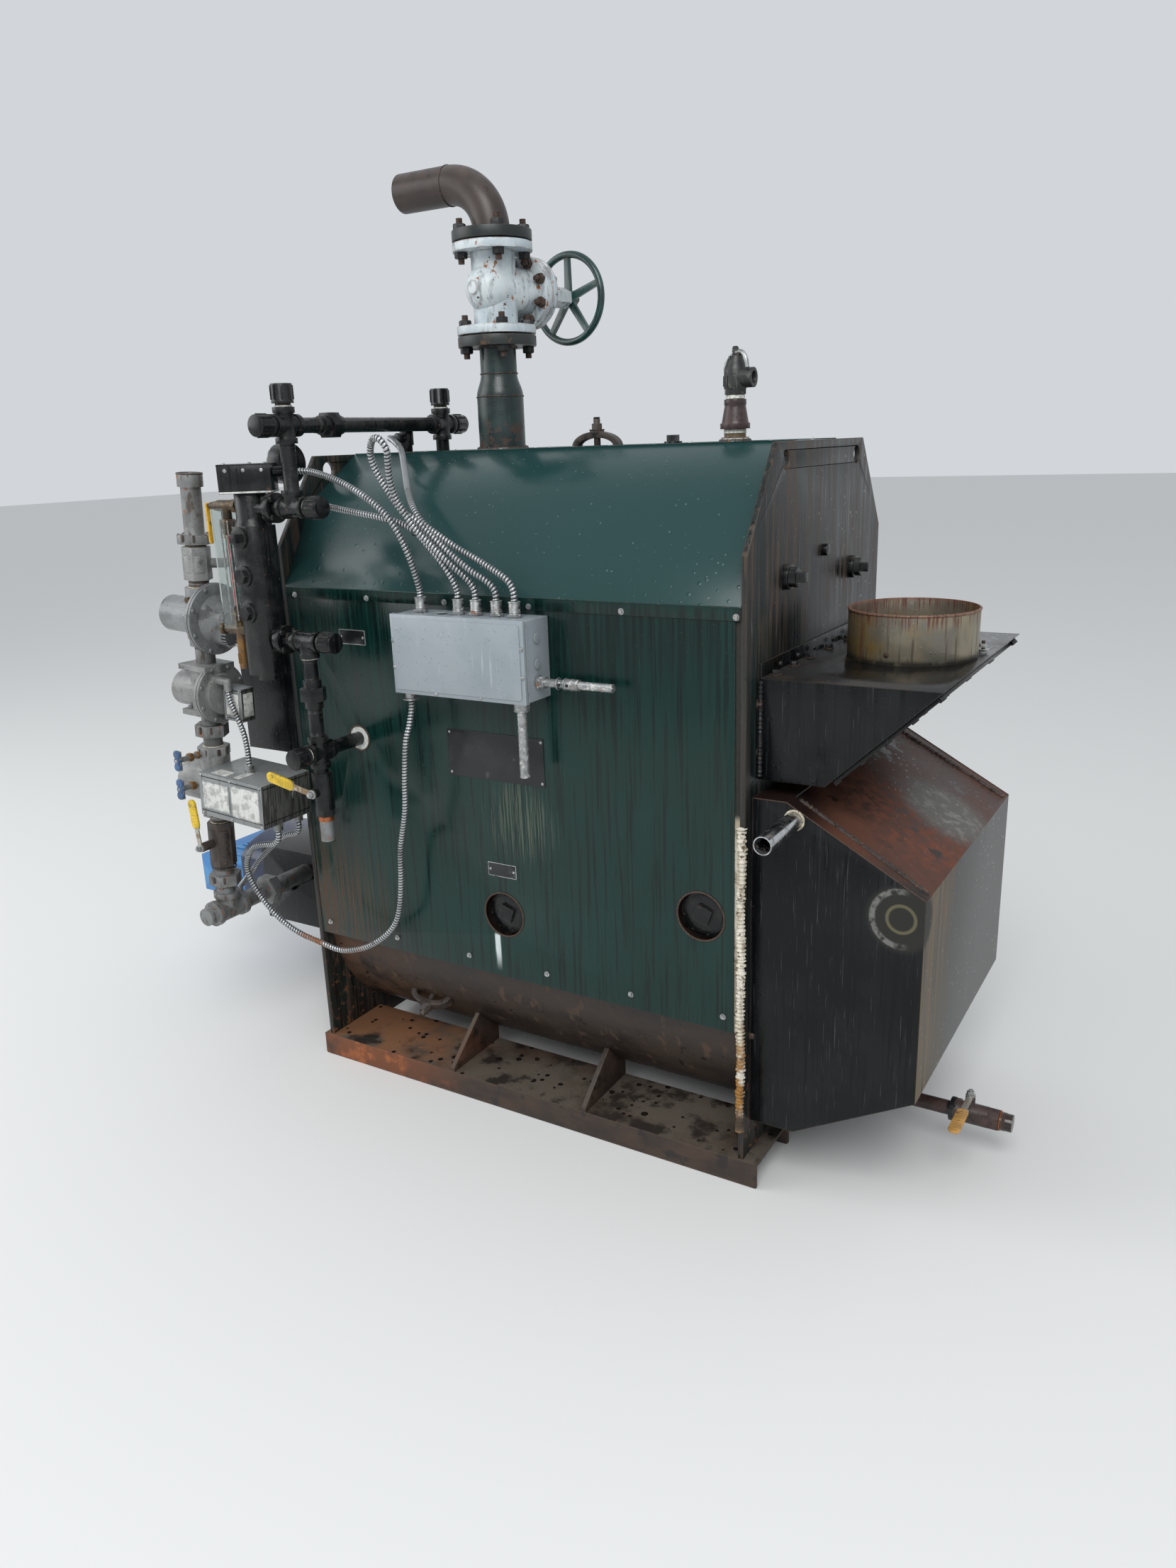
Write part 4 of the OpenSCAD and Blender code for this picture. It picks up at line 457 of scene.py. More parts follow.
class Shape:
    """Points and faces gathered for one piece, with the number of each face's paint."""

    def __init__(self):
        """No points yet, and no faces."""
        self.points, self.faces, self.paints, self.total = [], [], [], 0

    def add(self, points, faces, paint=0):
        """Points, their faces numbered from the first of them, and one paint for all."""
        points = np.asarray(points, float).reshape(-1, 3)
        self.points.append(points)
        for block in (faces if isinstance(faces, list) else [faces]):
            self.faces.append(block + self.total)
            self.paints.append(np.full(len(block), paint))
        self.total += len(points)

    def stack(self, rings, paint=0, first=True, last=True):
        """Rings of points joined in order, with a flat face over each end that is asked for."""
        rows, around = rings.shape[:2]
        blocks = [ring_quads(rows, around)]
        if first:
            blocks.append(np.arange(around)[None, ::-1])
        if last:
            blocks.append(np.arange(around)[None] + (rows - 1) * around)
        self.add(rings, blocks, paint)

    def turned(self, profile, place, axis, sides=24, paint=0, start=0.0, closed=True):
        """A solid of revolution: each pair of the profile is a radius and a distance along."""
        radius, reach = np.asarray(profile, float).T
        along, side, up = axes_for(axis)
        angle = start + 2 * np.pi * np.arange(sides) / sides
        rim = np.cos(angle)[:, None] * side + np.sin(angle)[:, None] * up
        rings = (np.asarray(place, float) + reach[:, None, None] * along
                 + radius[:, None, None] * rim)
        self.stack(rings, paint, closed, closed)

    def ring(self, place, axis, radius, thick, sides=32, round_sides=10, paint=0, flat=1.0):
        """A torus: a circle of the tube's radius carried round the axis."""
        along, side, up = axes_for(axis)
        turn = 2 * np.pi * np.arange(sides) / sides
        rim = np.cos(turn)[:, None] * side + np.sin(turn)[:, None] * up
        angle = 2 * np.pi * np.arange(round_sides) / round_sides
        out = radius + thick * np.cos(angle)
        rings = (np.asarray(place, float) + out[None, :, None] * rim[:, None]
                 + flat * thick * np.sin(angle)[None, :, None] * along)
        here = np.arange(sides)[:, None] * round_sides
        then = (here + round_sides) % (sides * round_sides)
        a = np.arange(round_sides)[None]
        b = (a + 1) % round_sides
        quads = np.stack([here + a, then + a, then + b, here + b], -1).reshape(-1, 4)
        self.add(rings, quads, paint)

    def tube(self, path, radius, sides=12, paint=0):
        """A circle carried along a path, its radius given along it, and per side if wanted."""
        path = np.asarray(path, float)
        way = unit(np.gradient(path, axis=0))
        side = carried_side(way)
        up = np.cross(way, side)
        angle = 2 * np.pi * np.arange(sides) / sides
        rim = (np.cos(angle)[None, :, None] * side[:, None]
               + np.sin(angle)[None, :, None] * up[:, None])
        radius = np.broadcast_to(np.reshape(radius, (-1, 1) if np.ndim(radius) == 1 else
                                            np.shape(radius)), (len(path), sides))
        self.stack(path[:, None] + radius[..., None] * rim, paint)

    def slab(self, centre, axes, size, corner=0.002, bevel=0.0008, steps=4, paint=0):
        """A plate: a round-cornered outline across two axes, raised along the third."""
        across, up, out = (unit(a) for a in axes)
        width, height, depth = size
        insets = np.array([bevel, 0.3 * bevel, 0.0, 0.0, 0.3 * bevel, bevel])
        levels = np.array([0, 0.3 * bevel, bevel, depth - bevel, depth - 0.3 * bevel, depth])
        rings = []
        for inset, level in zip(insets, levels):
            x, y = round_corners(width - 2 * inset, height - 2 * inset,
                                 max(corner - inset, 0.0001), steps)
            rings.append(np.asarray(centre) + x[:, None] * across + y[:, None] * up
                         + level * out)
        self.stack(np.array(rings), paint)

    def make(self, name, finishes, body="boiler", sharp=38):
        """The faces as one mesh on a body, its finishes named in the order of their paints."""
        mesh = bpy.data.meshes.new(name)
        points = np.vstack(self.points).astype(np.float32)
        corners = np.concatenate([block.ravel() for block in self.faces]).astype(np.int32)
        sizes = np.concatenate([np.full(len(b), b.shape[1]) for b in self.faces])
        starts = np.concatenate([[0], np.cumsum(sizes)[:-1]]).astype(np.int32)
        mesh.vertices.add(len(points))
        mesh.vertices.foreach_set("co", points.ravel())
        mesh.loops.add(len(corners))
        mesh.loops.foreach_set("vertex_index", corners)
        mesh.polygons.add(len(sizes))
        mesh.polygons.foreach_set("loop_start", starts)
        mesh.polygons.foreach_set("material_index",
                                  np.concatenate(self.paints).astype(np.int32))
        mesh.update(calc_edges=True)
        mesh.shade_smooth()
        mesh.set_sharp_from_angle(angle=math.radians(sharp))
        for key in finishes.split():
            mesh.materials.append(FINISHES[key])
        piece = bpy.data.objects.new(name, mesh)
        bpy.context.scene.collection.objects.link(piece)
        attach(piece, body)
        return piece


def carried_side(way):
    """A direction square to the path, turned at each point only as far as the path turns."""
    side = np.empty_like(way)
    side[0] = axes_for(way[0])[1]
    for i in range(1, len(way)):
        kept = side[i - 1] - np.dot(side[i - 1], way[i]) * way[i]
        side[i] = kept / np.linalg.norm(kept)
    return side


def round_corners(width, height, corner, steps):
    """The points of a rectangle with four quarter circles for corners, anticlockwise."""
    quarter = np.linspace(0, np.pi / 2, steps)
    turns = np.concatenate([quarter + k * np.pi / 2 for k in range(4)])
    middle = np.repeat(np.array([[1, 1], [-1, 1], [-1, -1], [1, -1]]), steps, axis=0)
    x = middle[:, 0] * (width / 2 - corner) + corner * np.cos(turns)
    y = middle[:, 1] * (height / 2 - corner) + corner * np.sin(turns)
    return x, y


def smooth_path(points, step):
    """A Catmull-Rom curve through the points, then evenly spaced along its length."""
    p = np.asarray(points, float)
    p = np.vstack([2 * p[0] - p[1], p, 2 * p[-1] - p[-2]])
    t = np.linspace(0, 1, 24, endpoint=False)[:, None, None]
    a, b, c, d = (p[i:len(p) - 3 + i][None] for i in range(4))
    curve = 0.5 * (2 * b + (c - a) * t + (2 * a - 5 * b + 4 * c - d) * t ** 2
                   + (3 * b - a - 3 * c + d) * t ** 3)
    line = np.vstack([curve.transpose(1, 0, 2).reshape(-1, 3), p[-2]])
    reach = np.concatenate([[0], np.cumsum(np.linalg.norm(np.diff(line, axis=0), axis=1))])
    count = max(2, int(round(reach[-1] / step)) + 1)
    even = np.linspace(0, reach[-1], count)
    return np.stack([np.interp(even, reach, line[:, k]) for k in range(3)], -1), reach[-1]


def hex_head(shape, place, axis, flats, height, paint=0, start=0.0):
    """A six-sided head with its corners turned off at the top."""
    corner = flats / math.sqrt(3)
    shape.turned([(0.94 * corner, 0), (corner, 0.06 * height), (corner, 0.82 * height),
                  (0.9 * corner, height)], place, axis, 6, paint, start)


def screw_head(shape, place, axis, radius, height, paint=0):
    """A domed pan head, with no slot drawn."""
    t = np.linspace(0, np.pi / 2, 5)
    dome = [(radius * math.cos(a), height * (0.3 + 0.7 * math.sin(a))) for a in t]
    shape.turned([(radius, 0)] + dome[:-1] + [(0.15 * radius, height)], place, axis, 14, paint)


# Finishes, each as the weather has left it

# How far a pattern is squeezed on each axis, so that it runs down a wall
UPRIGHT = (7, 7, 0.45)
RUNS = (9, 9, 0.22)


def jacket_green():
    """Dark teal-green gloss: fine dark drips, a white run, pale stains, rust low on the left, and
    painted sky reflection on the faces that look up.
    """
    f = Finish("jacket_green", (6, 39, 34), 0.24, coat=0.06, coat_rough=0.14)
    f.shader.inputs["Specular IOR Level"].default_value = 0.32
    f.layer(f.blotch(1.8, 0.35, 0.7), (8, 46, 41), 0.3)
    wall = f.band(2, 1.30, 1.27)
    f.layer(f.both(wall, f.blotch(15, 0.5, 0.62, RUNS)), (4, 25, 23), 0.2)
    f.layer(f.both(wall, f.blotch(44, 0.62, 0.7, RUNS)), (20, 58, 51), 0.42)
    f.layer(f.both(wall, f.band(2, 1.02, 1.26), f.blotch(9, 0.4, 0.6, RUNS)), (3, 20, 18), 0.2)
    f.layer(f.both(f.blotch(12, 0.6, 0.7, RUNS), f.band(2, 0.7, 0.35)), (24, 50, 42), 0.4)
    stain = f.both(f.ball((-0.62, -0.41, 0.42), 0.08, 0.36), f.blotch(14, 0.42, 0.6, RUNS))
    f.layer(stain, (78, 56, 38), 0.6)
    pale = f.both(f.ball((0.06, -0.41, 0.78), 0.03, 0.13), f.blotch(30, 0.48, 0.6, RUNS))
    f.layer(pale, (82, 88, 76), 0.6)
    run = f.both(f.band(0, -0.034, -0.030), f.band(0, -0.014, -0.019), f.band(2, 0.38, 0.44),
                 f.band(2, 0.485, 0.475), f.band(1, -0.2, -0.3), f.blotch(30, 0.36, 0.5, RUNS))
    f.layer(run, (198, 206, 206), 0.6)
    # Painted sky reflection: the faces that look up, the roof's facets and flat, lighter and bluer.
    f.layer(f.upward(0.25, 0.6), (30, 60, 60), 0.22)
    f.layer(f.both(f.upward(0.25, 0.6), f.dots(90, 0.14, 0.25)), (70, 100, 98), 0.4)
    f.layer(f.edge(0.003, 0.06, 0.35), (36, 60, 54), 0.5)
    f.layer(f.both(f.edge(0.004, 0.12, 0.4), f.blotch(60, 0.54, 0.62)), (92, 62, 40), 0.7)
    f.grain(2.2, 0.4, 0.004)
    f.grain(240, 0.1, 0.0006)
    return f.drops(70, 0.3, 0.32, 0.4, 0.0012).done()


def plate_black():
    """Black paint on plate, green-black where the light grazes it, with rust along the edge."""
    f = Finish("plate_black", (21, 23, 24), 0.36)
    f.shader.inputs["Specular IOR Level"].default_value = 0.36
    f.layer(f.blotch(3, 0.4, 0.65), (24, 38, 35), 0.3)
    f.layer(f.blotch(5, 0.48, 0.62, UPRIGHT), (46, 44, 41), 0.42)
    f.layer(f.blotch(11, 0.5, 0.62, RUNS), (15, 17, 17), 0.2)
    f.layer(f.both(f.blotch(26, 0.63, 0.69, RUNS), f.band(2, 1.0, 1.3)), (92, 94, 90), 0.55)
    f.layer(f.both(f.blotch(9, 0.5, 0.62, UPRIGHT), f.band(2, 1.12, 1.32)), (66, 54, 44), 0.5)
    f.layer(f.both(f.blotch(14, 0.52, 0.62, UPRIGHT), f.band(2, 0.6, 0.1)), (62, 48, 38), 0.7)
    f.layer(f.edge(0.005, 0.04, 0.22), (76, 62, 50), 0.75)
    f.layer(f.both(f.blotch(50, 0.58, 0.64), f.band(2, 0.4, 0.06)), (104, 66, 42), 0.8)
    f.grain(18, 0.3, 0.0015)
    f.grain(260, 0.25, 0.0006)
    return f.drops(90, 0.3, 0.25, 0.35, 0.001).done()


def skid_rust():
    """Rolled channel, brown-black and wet; orange rust on its left third, dust and drops on top."""
    f = Finish("skid_rust", (50, 39, 32), 0.6)
    f.layer(f.blotch(9, 0.4, 0.62, (1, 1, 2.5)), (66, 50, 39), 0.65)
    f.layer(f.blotch(24, 0.52, 0.62), (34, 28, 25), 0.45)
    left = f.band(0, -0.12, -0.42)
    f.layer(f.both(left, f.blotch(7, 0.38, 0.56)), (112, 66, 40), 0.8)
    f.layer(f.both(left, f.blotch(15, 0.5, 0.6)), (150, 86, 48), 0.85)
    top = f.upward(0.6, 0.95)
    f.layer(f.both(top, f.blotch(5, 0.3, 0.55)), (84, 76, 66), 0.75)
    f.layer(f.both(top, f.blotch(13, 0.5, 0.62)), (46, 41, 37), 0.4)
    f.layer(f.both(top, left, f.blotch(8, 0.4, 0.56)), (120, 82, 54), 0.8)
    f.layer(f.both(top, f.dots(44, 0.30, 0.4)), (30, 26, 24), 0.2)
    f.layer(f.edge(0.004, 0.06, 0.3), (88, 68, 52), 0.7)
    f.grain(45, 0.5, 0.0016)
    f.grain(300, 0.5, 0.0006)
    return f.raised(maths(f.tree, "SUBTRACT", 0.0, f.dots(130, 0.4, 0.4)), 0.5, 0.0008).done()


def shell_steel():
    """Mill plate, dark brown and wet, a lighter rust band towards the left end."""
    f = Finish("shell_steel", (37, 29, 25), 0.4)
    f.layer(f.blotch(6, 0.4, 0.62, (1, 1, 2)), (52, 41, 33), 0.5)
    f.layer(f.both(f.band(0, -0.25, -0.55), f.blotch(8, 0.38, 0.6)), (84, 58, 40), 0.7)
    f.layer(f.blotch(18, 0.57, 0.67, (2, 2, 0.6)), (74, 56, 42), 0.6)
    f.layer(f.blotch(40, 0.6, 0.68), (24, 20, 19), 0.25)
    f.grain(30, 0.4, 0.0012)
    return f.grain(260, 0.4, 0.0005).done()


def insulation_wool():
    """Pale mineral wool, matted: white in its middle, yellow-brown at the foot, with painted shadow
    over its top.
    """
    f = Finish("insulation_wool", (212, 206, 192), 0.95)
    f.layer(f.blotch(30, 0.45, 0.6, (2, 2, 0.5)), (168, 156, 136), 0.95)
    f.layer(f.both(f.band(2, 0.42, 0.30), f.blotch(26, 0.42, 0.56)), (150, 108, 56), 0.95)
    f.layer(f.blotch(80, 0.58, 0.66), (96, 82, 64), 0.95)
    # Painted shadow: the wool above 0.87 m darkened where the plate's edge shades it.
    f.layer(f.band(2, 0.85, 0.87), (34, 33, 31), 0.8)
    f.layer(f.both(f.band(2, 0.12, 0.15), f.band(2, 0.2, 0.16)), (66, 54, 42), 0.9)
    return f.grain(160, 0.9, 0.004, (1, 1, 0.4)).done()


def pipe_black():
    """Malleable iron fittings and black pipe, wet and glossy, with brown rust in the hollows."""
    f = Finish("pipe_black", (13, 14, 15), 0.24)
    f.shader.inputs["Specular IOR Level"].default_value = 0.34
    f.layer(f.blotch(24, 0.42, 0.62), (30, 31, 31), 0.34)
    f.layer(f.blotch(14, 0.52, 0.64, RUNS), (9, 10, 11), 0.12)
    f.layer(f.blotch(60, 0.65, 0.69), (74, 56, 44), 0.7)
    f.layer(f.edge(0.003, 0.05, 0.32), (58, 56, 53), 0.42)
    f.layer(f.both(f.upward(0.5, 0.95), f.blotch(50, 0.48, 0.62)), (54, 52, 49), 0.5)
    f.grain(60, 0.35, 0.0012)
    f.grain(420, 0.4, 0.0005)
    return f.drops(190, 0.32, 0.3, 0.5, 0.0008).done()


def pipe_painted():
    """Steam pipe in dark green-black paint, its reducer dull, with rust low on the pipe."""
    f = Finish("pipe_painted", (20, 36, 35), 0.32)
    f.layer(f.blotch(14, 0.42, 0.62), (28, 50, 48), 0.4)
    f.layer(f.blotch(22, 0.54, 0.66, RUNS), (12, 20, 20), 0.2)
    f.layer(f.both(f.band(2, 1.70, 1.62), f.blotch(26, 0.5, 0.6)), (66, 48, 40), 0.7)
    f.layer(f.edge(0.003, 0.05, 0.32), (58, 66, 62), 0.42)
    f.grain(60, 0.3, 0.001)
    f.grain(420, 0.3, 0.0004)
    return f.drops(150, 0.3, 0.3, 0.4, 0.0008).done()


def flange_black():
    """Forged flanges in green-black paint, worn to grey and rusting on their rims."""
    f = Finish("flange_black", (29, 35, 34), 0.4, 0.1)
    f.layer(f.blotch(18, 0.4, 0.6), (46, 50, 48), 0.42, 0.2)
    f.layer(f.blotch(26, 0.6, 0.67), (84, 62, 46), 0.8, 0.0)
    f.layer(f.edge(0.003, 0.04, 0.25), (84, 84, 78), 0.4, 0.3)
    f.layer(f.both(f.upward(0.6, 0.95), f.blotch(40, 0.52, 0.62)), (84, 66, 50), 0.8, 0.0)
    f.grain(120, 0.3, 0.0006, (1, 1, 6))
    return f.grain(400, 0.3, 0.0004).done()


def valve_white():
    """Cast valve in pale blue-grey paint, with rust breaking through on rims and bosses."""
    f = Finish("valve_white", (196, 204, 206), 0.4)
    f.layer(f.blotch(9, 0.42, 0.62), (170, 182, 188), 0.45)
    f.layer(f.blotch(18, 0.52, 0.64, (2, 2, 0.6)), (140, 146, 148), 0.5)
    rim = f.both(f.edge(0.006, 0.02, 0.16), f.blotch(34, 0.42, 0.56))
    f.layer(rim, (128, 82, 54), 0.8)
    f.layer(f.blotch(36, 0.61, 0.66), (146, 92, 58), 0.8)
    f.layer(f.blotch(60, 0.63, 0.67), (74, 50, 40), 0.8)
    f.grain(90, 0.45, 0.0012)
    f.grain(320, 0.35, 0.0005)
    return f.drops(150, 0.3, 0.2, 0.4, 0.0008).done()


def handwheel_blue():
    """Cast handwheel in dark teal-green enamel, chipped on the rim."""
    f = Finish("handwheel_blue", (15, 46, 43), 0.28, coat=0.3)
    f.layer(f.blotch(22, 0.42, 0.62), (24, 62, 58), 0.36)
    f.layer(f.blotch(80, 0.64, 0.68), (84, 66, 52), 0.7)
    f.layer(f.edge(0.003, 0.08, 0.35), (52, 84, 80), 0.42)
    f.grain(110, 0.45, 0.0008)
    return f.drops(220, 0.3, 0.3, 0.4, 0.0006).done()


def elbow_brown():
    """Pipe and elbow left bare, an even brown-grey with faint streaks."""
    f = Finish("elbow_brown", (52, 43, 40), 0.36, 0.15)
    f.layer(f.blotch(7, 0.4, 0.66), (64, 54, 49), 0.42)
    f.layer(f.blotch(20, 0.56, 0.68, (2, 2, 0.7)), (38, 32, 31), 0.28)
    f.layer(f.both(f.upward(0.3, 0.9), f.blotch(12, 0.4, 0.66)), (88, 78, 72), 0.36)
    f.layer(f.blotch(60, 0.64, 0.69), (84, 58, 44), 0.7)
    return f.grain(200, 0.25, 0.0005).done()


def nipple_red():
    """Bell reducer and nipple in dark brown, their threads wound with white tape."""
    f = Finish("nipple_red", (50, 36, 35), 0.34)
    f.layer(f.blotch(40, 0.42, 0.6), (66, 50, 47), 0.42)
    f.layer(f.blotch(70, 0.58, 0.66), (34, 24, 23), 0.3)
    f.layer(f.both(f.band(2, 1.6215, 1.6205), f.band(2, 1.6035, 1.6045)), (84, 68, 42), 0.5)
    f.layer(f.edge(0.003, 0.05, 0.3), (96, 78, 70), 0.5)
    f.grain(120, 0.5, 0.001)
    return f.drops(220, 0.3, 0.3, 0.4, 0.0006).done()


def bronze_dull():
    """Bronze safety valve gone dark grey, with worn edges."""
    f = Finish("bronze_dull", (62, 62, 60), 0.4, 0.45)
    f.layer(f.blotch(40, 0.4, 0.6), (44, 45, 46), 0.46, 0.35)
    f.layer(f.blotch(70, 0.58, 0.66), (84, 86, 78), 0.6, 0.3)
    f.layer(f.edge(0.002, 0.05, 0.3), (112, 106, 88), 0.34, 0.8)
    return f.grain(260, 0.3, 0.0005).done()


def brass_old():
    """Gauge cocks, tarnished grey-brown, brassier on the drain tube and on rubbed edges."""
    f = Finish("brass_old", (94, 76, 54), 0.38, 0.55)
    f.layer(f.blotch(60, 0.42, 0.6), (66, 56, 46), 0.5, 0.4)
    f.layer(f.both(f.band(2, 1.20, 1.17), f.blotch(30, 0.3, 0.5)), (134, 98, 56), 0.4, 0.6)
    f.layer(f.blotch(90, 0.6, 0.66), (70, 74, 66), 0.7, 0.2)
    f.layer(f.edge(0.002, 0.05, 0.3), (150, 122, 80), 0.3, 0.8)
    return f.grain(320, 0.3, 0.0004).done()


def glass_wet():
    """Clear gauge glass and guard, with a little lime low down."""
    f = Finish("glass_wet", (232, 238, 236), 0.03)
    f.shader.inputs["Transmission Weight"].default_value = 0.94
    f.shader.inputs["IOR"].default_value = 1.12
    f.layer(f.both(f.blotch(60, 0.56, 0.66, (1, 1, 0.4)), f.band(2, 1.45, 1.30)),
            (214, 220, 218), 0.2)
    return f.grain(40, 0.05, 0.0003).done()


def cast_grey(name, base, pale, dark, gloss):
    """Aluminium casting: satin grey with a darker wet side, oxide specks and a fine skin."""
    f = Finish(name, base, gloss, 0.3)
    f.layer(f.blotch(16, 0.42, 0.66), pale, gloss + 0.06, 0.3)
    f.layer(f.blotch(22, 0.56, 0.68), dark, gloss - 0.06, 0.25)
    f.layer(f.dots(320, 0.3, 0.2), tuple(0.75 * c for c in dark), 0.5, 0.1)
    f.layer(f.edge(0.002, 0.04, 0.28), tuple(min(255, 1.1 * c) for c in pale), 0.3, 0.5)
    f.layer(f.blotch(70, 0.66, 0.69), (98, 80, 64), 0.8, 0.0)
    f.grain(240, 0.35, 0.0005)
    return f.drops(180, 0.3, 0.35, 0.4, 0.0008).done()


def box_grey():
    """Sheet boxes in grey metal, the sides that face +X darkened as painted shade, with darker runs
    of wet grime over them.
    """
    f = Finish("box_grey", (132, 135, 134), 0.36, 0.15)
    f.layer(f.blotch(9, 0.42, 0.62), (116, 120, 120), 0.4)
    f.layer(f.blotch(22, 0.58, 0.68, UPRIGHT), (96, 96, 93), 0.45)
    # Painted shade: faces turned towards +X darkened, and the grime runs are laid only on them.
    true = add_node(f.tree, "ShaderNodeNewGeometry")
    parts = add_node(f.tree, "ShaderNodeSeparateXYZ", Vector=true.outputs["Normal"])
    side = ramp(f.tree, parts.outputs["X"], 0.6, 0.9)
    f.layer(side, (92, 92, 88), 0.34)
    f.layer(f.both(side, f.blotch(20, 0.46, 0.56, RUNS)), (58, 58, 56), 0.24)
    f.layer(f.edge(0.002, 0.05, 0.3), (164, 165, 162), 0.4)
    f.layer(f.blotch(90, 0.66, 0.69), (100, 80, 62), 0.8)
    f.grain(260, 0.2, 0.0005)
    return f.drops(110, 0.3, 0.3, 0.4, 0.0008).done()


def control_blue():
    """Control box in pale grey enamel with a blue cast, droplets all over and faint runs."""
    f = Finish("control_blue", (140, 148, 153), 0.34)
    f.layer(f.blotch(5, 0.4, 0.66), (130, 139, 145), 0.36)
    f.layer(f.blotch(16, 0.6, 0.72, UPRIGHT), (152, 160, 164), 0.42)
    f.layer(f.dots(160, 0.2, 0.3), (118, 127, 133), 0.2)
    f.layer(f.edge(0.002, 0.05, 0.3), (176, 182, 184), 0.4)
    f.layer(f.both(f.edge(0.003, 0.15, 0.5), f.blotch(90, 0.54, 0.62)), (98, 84, 70), 0.7)
    f.grain(7, 0.15, 0.0012)
    f.grain(300, 0.12, 0.0005)
    return f.drops(80, 0.28, 0.45, 0.5, 0.001).done()


def zinc_plate():
    """Zinc-plated or galvanised steel, dull white bloom over grey, a little rust."""
    f = Finish("zinc_plate", (168, 170, 170), 0.38, 0.85)
    f.layer(f.blotch(60, 0.42, 0.6), (136, 138, 138), 0.48, 0.7)
    f.layer(f.blotch(110, 0.55, 0.63), (196, 196, 192), 0.7, 0.3)
    f.layer(f.blotch(90, 0.62, 0.67), (140, 92, 60), 0.85, 0.0)
    f.layer(f.edge(0.001, 0.06, 0.35), (206, 206, 204), 0.26, 1.0)
    return f.grain(420, 0.25, 0.0003).done()


def pipe_galvanised():
    """Galvanised pipe and fittings, dull spangled grey with rust at the threads."""
    f = Finish("pipe_galvanised", (132, 134, 134), 0.5, 0.55)
    f.layer(f.blotch(20, 0.42, 0.6), (108, 108, 106), 0.55, 0.4)
    f.layer(f.blotch(34, 0.55, 0.64, (2, 2, 0.7)), (84, 76, 68), 0.6, 0.2)
    f.layer(f.blotch(60, 0.61, 0.66), (140, 86, 56), 0.85, 0.0)
    f.layer(f.edge(0.002, 0.05, 0.3), (164, 162, 158), 0.4, 0.8)
    f.grain(140, 0.35, 0.0006)
    return f.drops(200, 0.3, 0.25, 0.4, 0.0006).done()


def iron_brown():
    """Black iron fittings gone grey-brown with rust."""
    f = Finish("iron_brown", (50, 43, 39), 0.46)
    f.layer(f.blotch(26, 0.42, 0.6), (66, 56, 49), 0.55)
    f.layer(f.blotch(50, 0.55, 0.63), (33, 30, 29), 0.3)
    f.layer(f.blotch(70, 0.64, 0.68), (104, 74, 54), 0.85)
    f.layer(f.edge(0.003, 0.05, 0.3), (92, 82, 72), 0.5)
    f.grain(90, 0.45, 0.001)
    return f.drops(200, 0.3, 0.3, 0.4, 0.0006).done()


def conduit_armour():
    """Bright spiral armour, its seams darkened as painted shade in the grooves, and a stretch of
    rust low on the left.
    """
    f = Finish("conduit_armour", (186, 189, 191), 0.3, 0.85)
    f.layer(f.blotch(14, 0.42, 0.6), (156, 159, 161), 0.38, 0.8)
    f.layer(f.blotch(30, 0.6, 0.68), (122, 120, 117), 0.5, 0.6)
    # Painted shade: the grooves along the spiral seams darkened, read from the seam attribute of the
    # tube.
    seam = add_node(f.tree, "ShaderNodeAttribute", {"attribute_name": "seam"})
    f.layer(ramp(f.tree, seam.outputs["Fac"], 0.42, 0.85), (34, 35, 36), 0.6, 0.3)
    low = f.both(f.ball((-0.5, -0.49, 0.39), 0.04, 0.15), f.blotch(26, 0.45, 0.6))
    f.layer(low, (126, 84, 60), 0.7, 0.2)
    return f.grain(500, 0.15, 0.0003).done()


def lever_strip():
    """Plated strip of the valve levers."""
    f = Finish("lever_strip", (180, 176, 164), 0.35, 0.8)
    f.layer(f.blotch(60, 0.5, 0.6), (134, 112, 84), 0.6, 0.4)
    f.layer(f.edge(0.001, 0.06, 0.3), (206, 202, 194), 0.25, 1.0)
    return f.grain(300, 0.2, 0.0003).done()


def grip_yellow(name, base, dirt):
    """Dipped vinyl grip in yellow, rubbed and dirty."""
    f = Finish(name, base, 0.4)
    f.layer(f.blotch(30, 0.45, 0.62), tuple(0.86 * c for c in base), 0.48)
    f.layer(f.blotch(50, 0.55, 0.64), dirt, 0.6)
    f.layer(f.edge(0.002, 0.05, 0.3), tuple(0.7 * c + 60 for c in base), 0.5)
    return f.grain(200, 0.3, 0.0006).done()


def burner_blue():
    """Burner housing in dark blue enamel, its motor in a brighter blue."""
    f = Finish("burner_blue", (26, 40, 70), 0.32, coat=0.2)
    f.layer(f.blotch(7, 0.42, 0.62), (34, 50, 84), 0.4)
    f.layer(f.blotch(16, 0.55, 0.66, UPRIGHT), (18, 28, 50), 0.25)
    past = f.band(0, -1.17, -1.175)
    f.layer(past, (44, 116, 178), 0.4)
    f.layer(f.both(past, f.blotch(12, 0.5, 0.62)), (66, 136, 190), 0.45)
    f.layer(f.edge(0.003, 0.05, 0.3), (96, 128, 166), 0.45)
    f.layer(f.blotch(60, 0.63, 0.67), (100, 76, 60), 0.8)
    f.grain(12, 0.2, 0.001)
    return f.drops(100, 0.3, 0.3, 0.4, 0.0008).done()


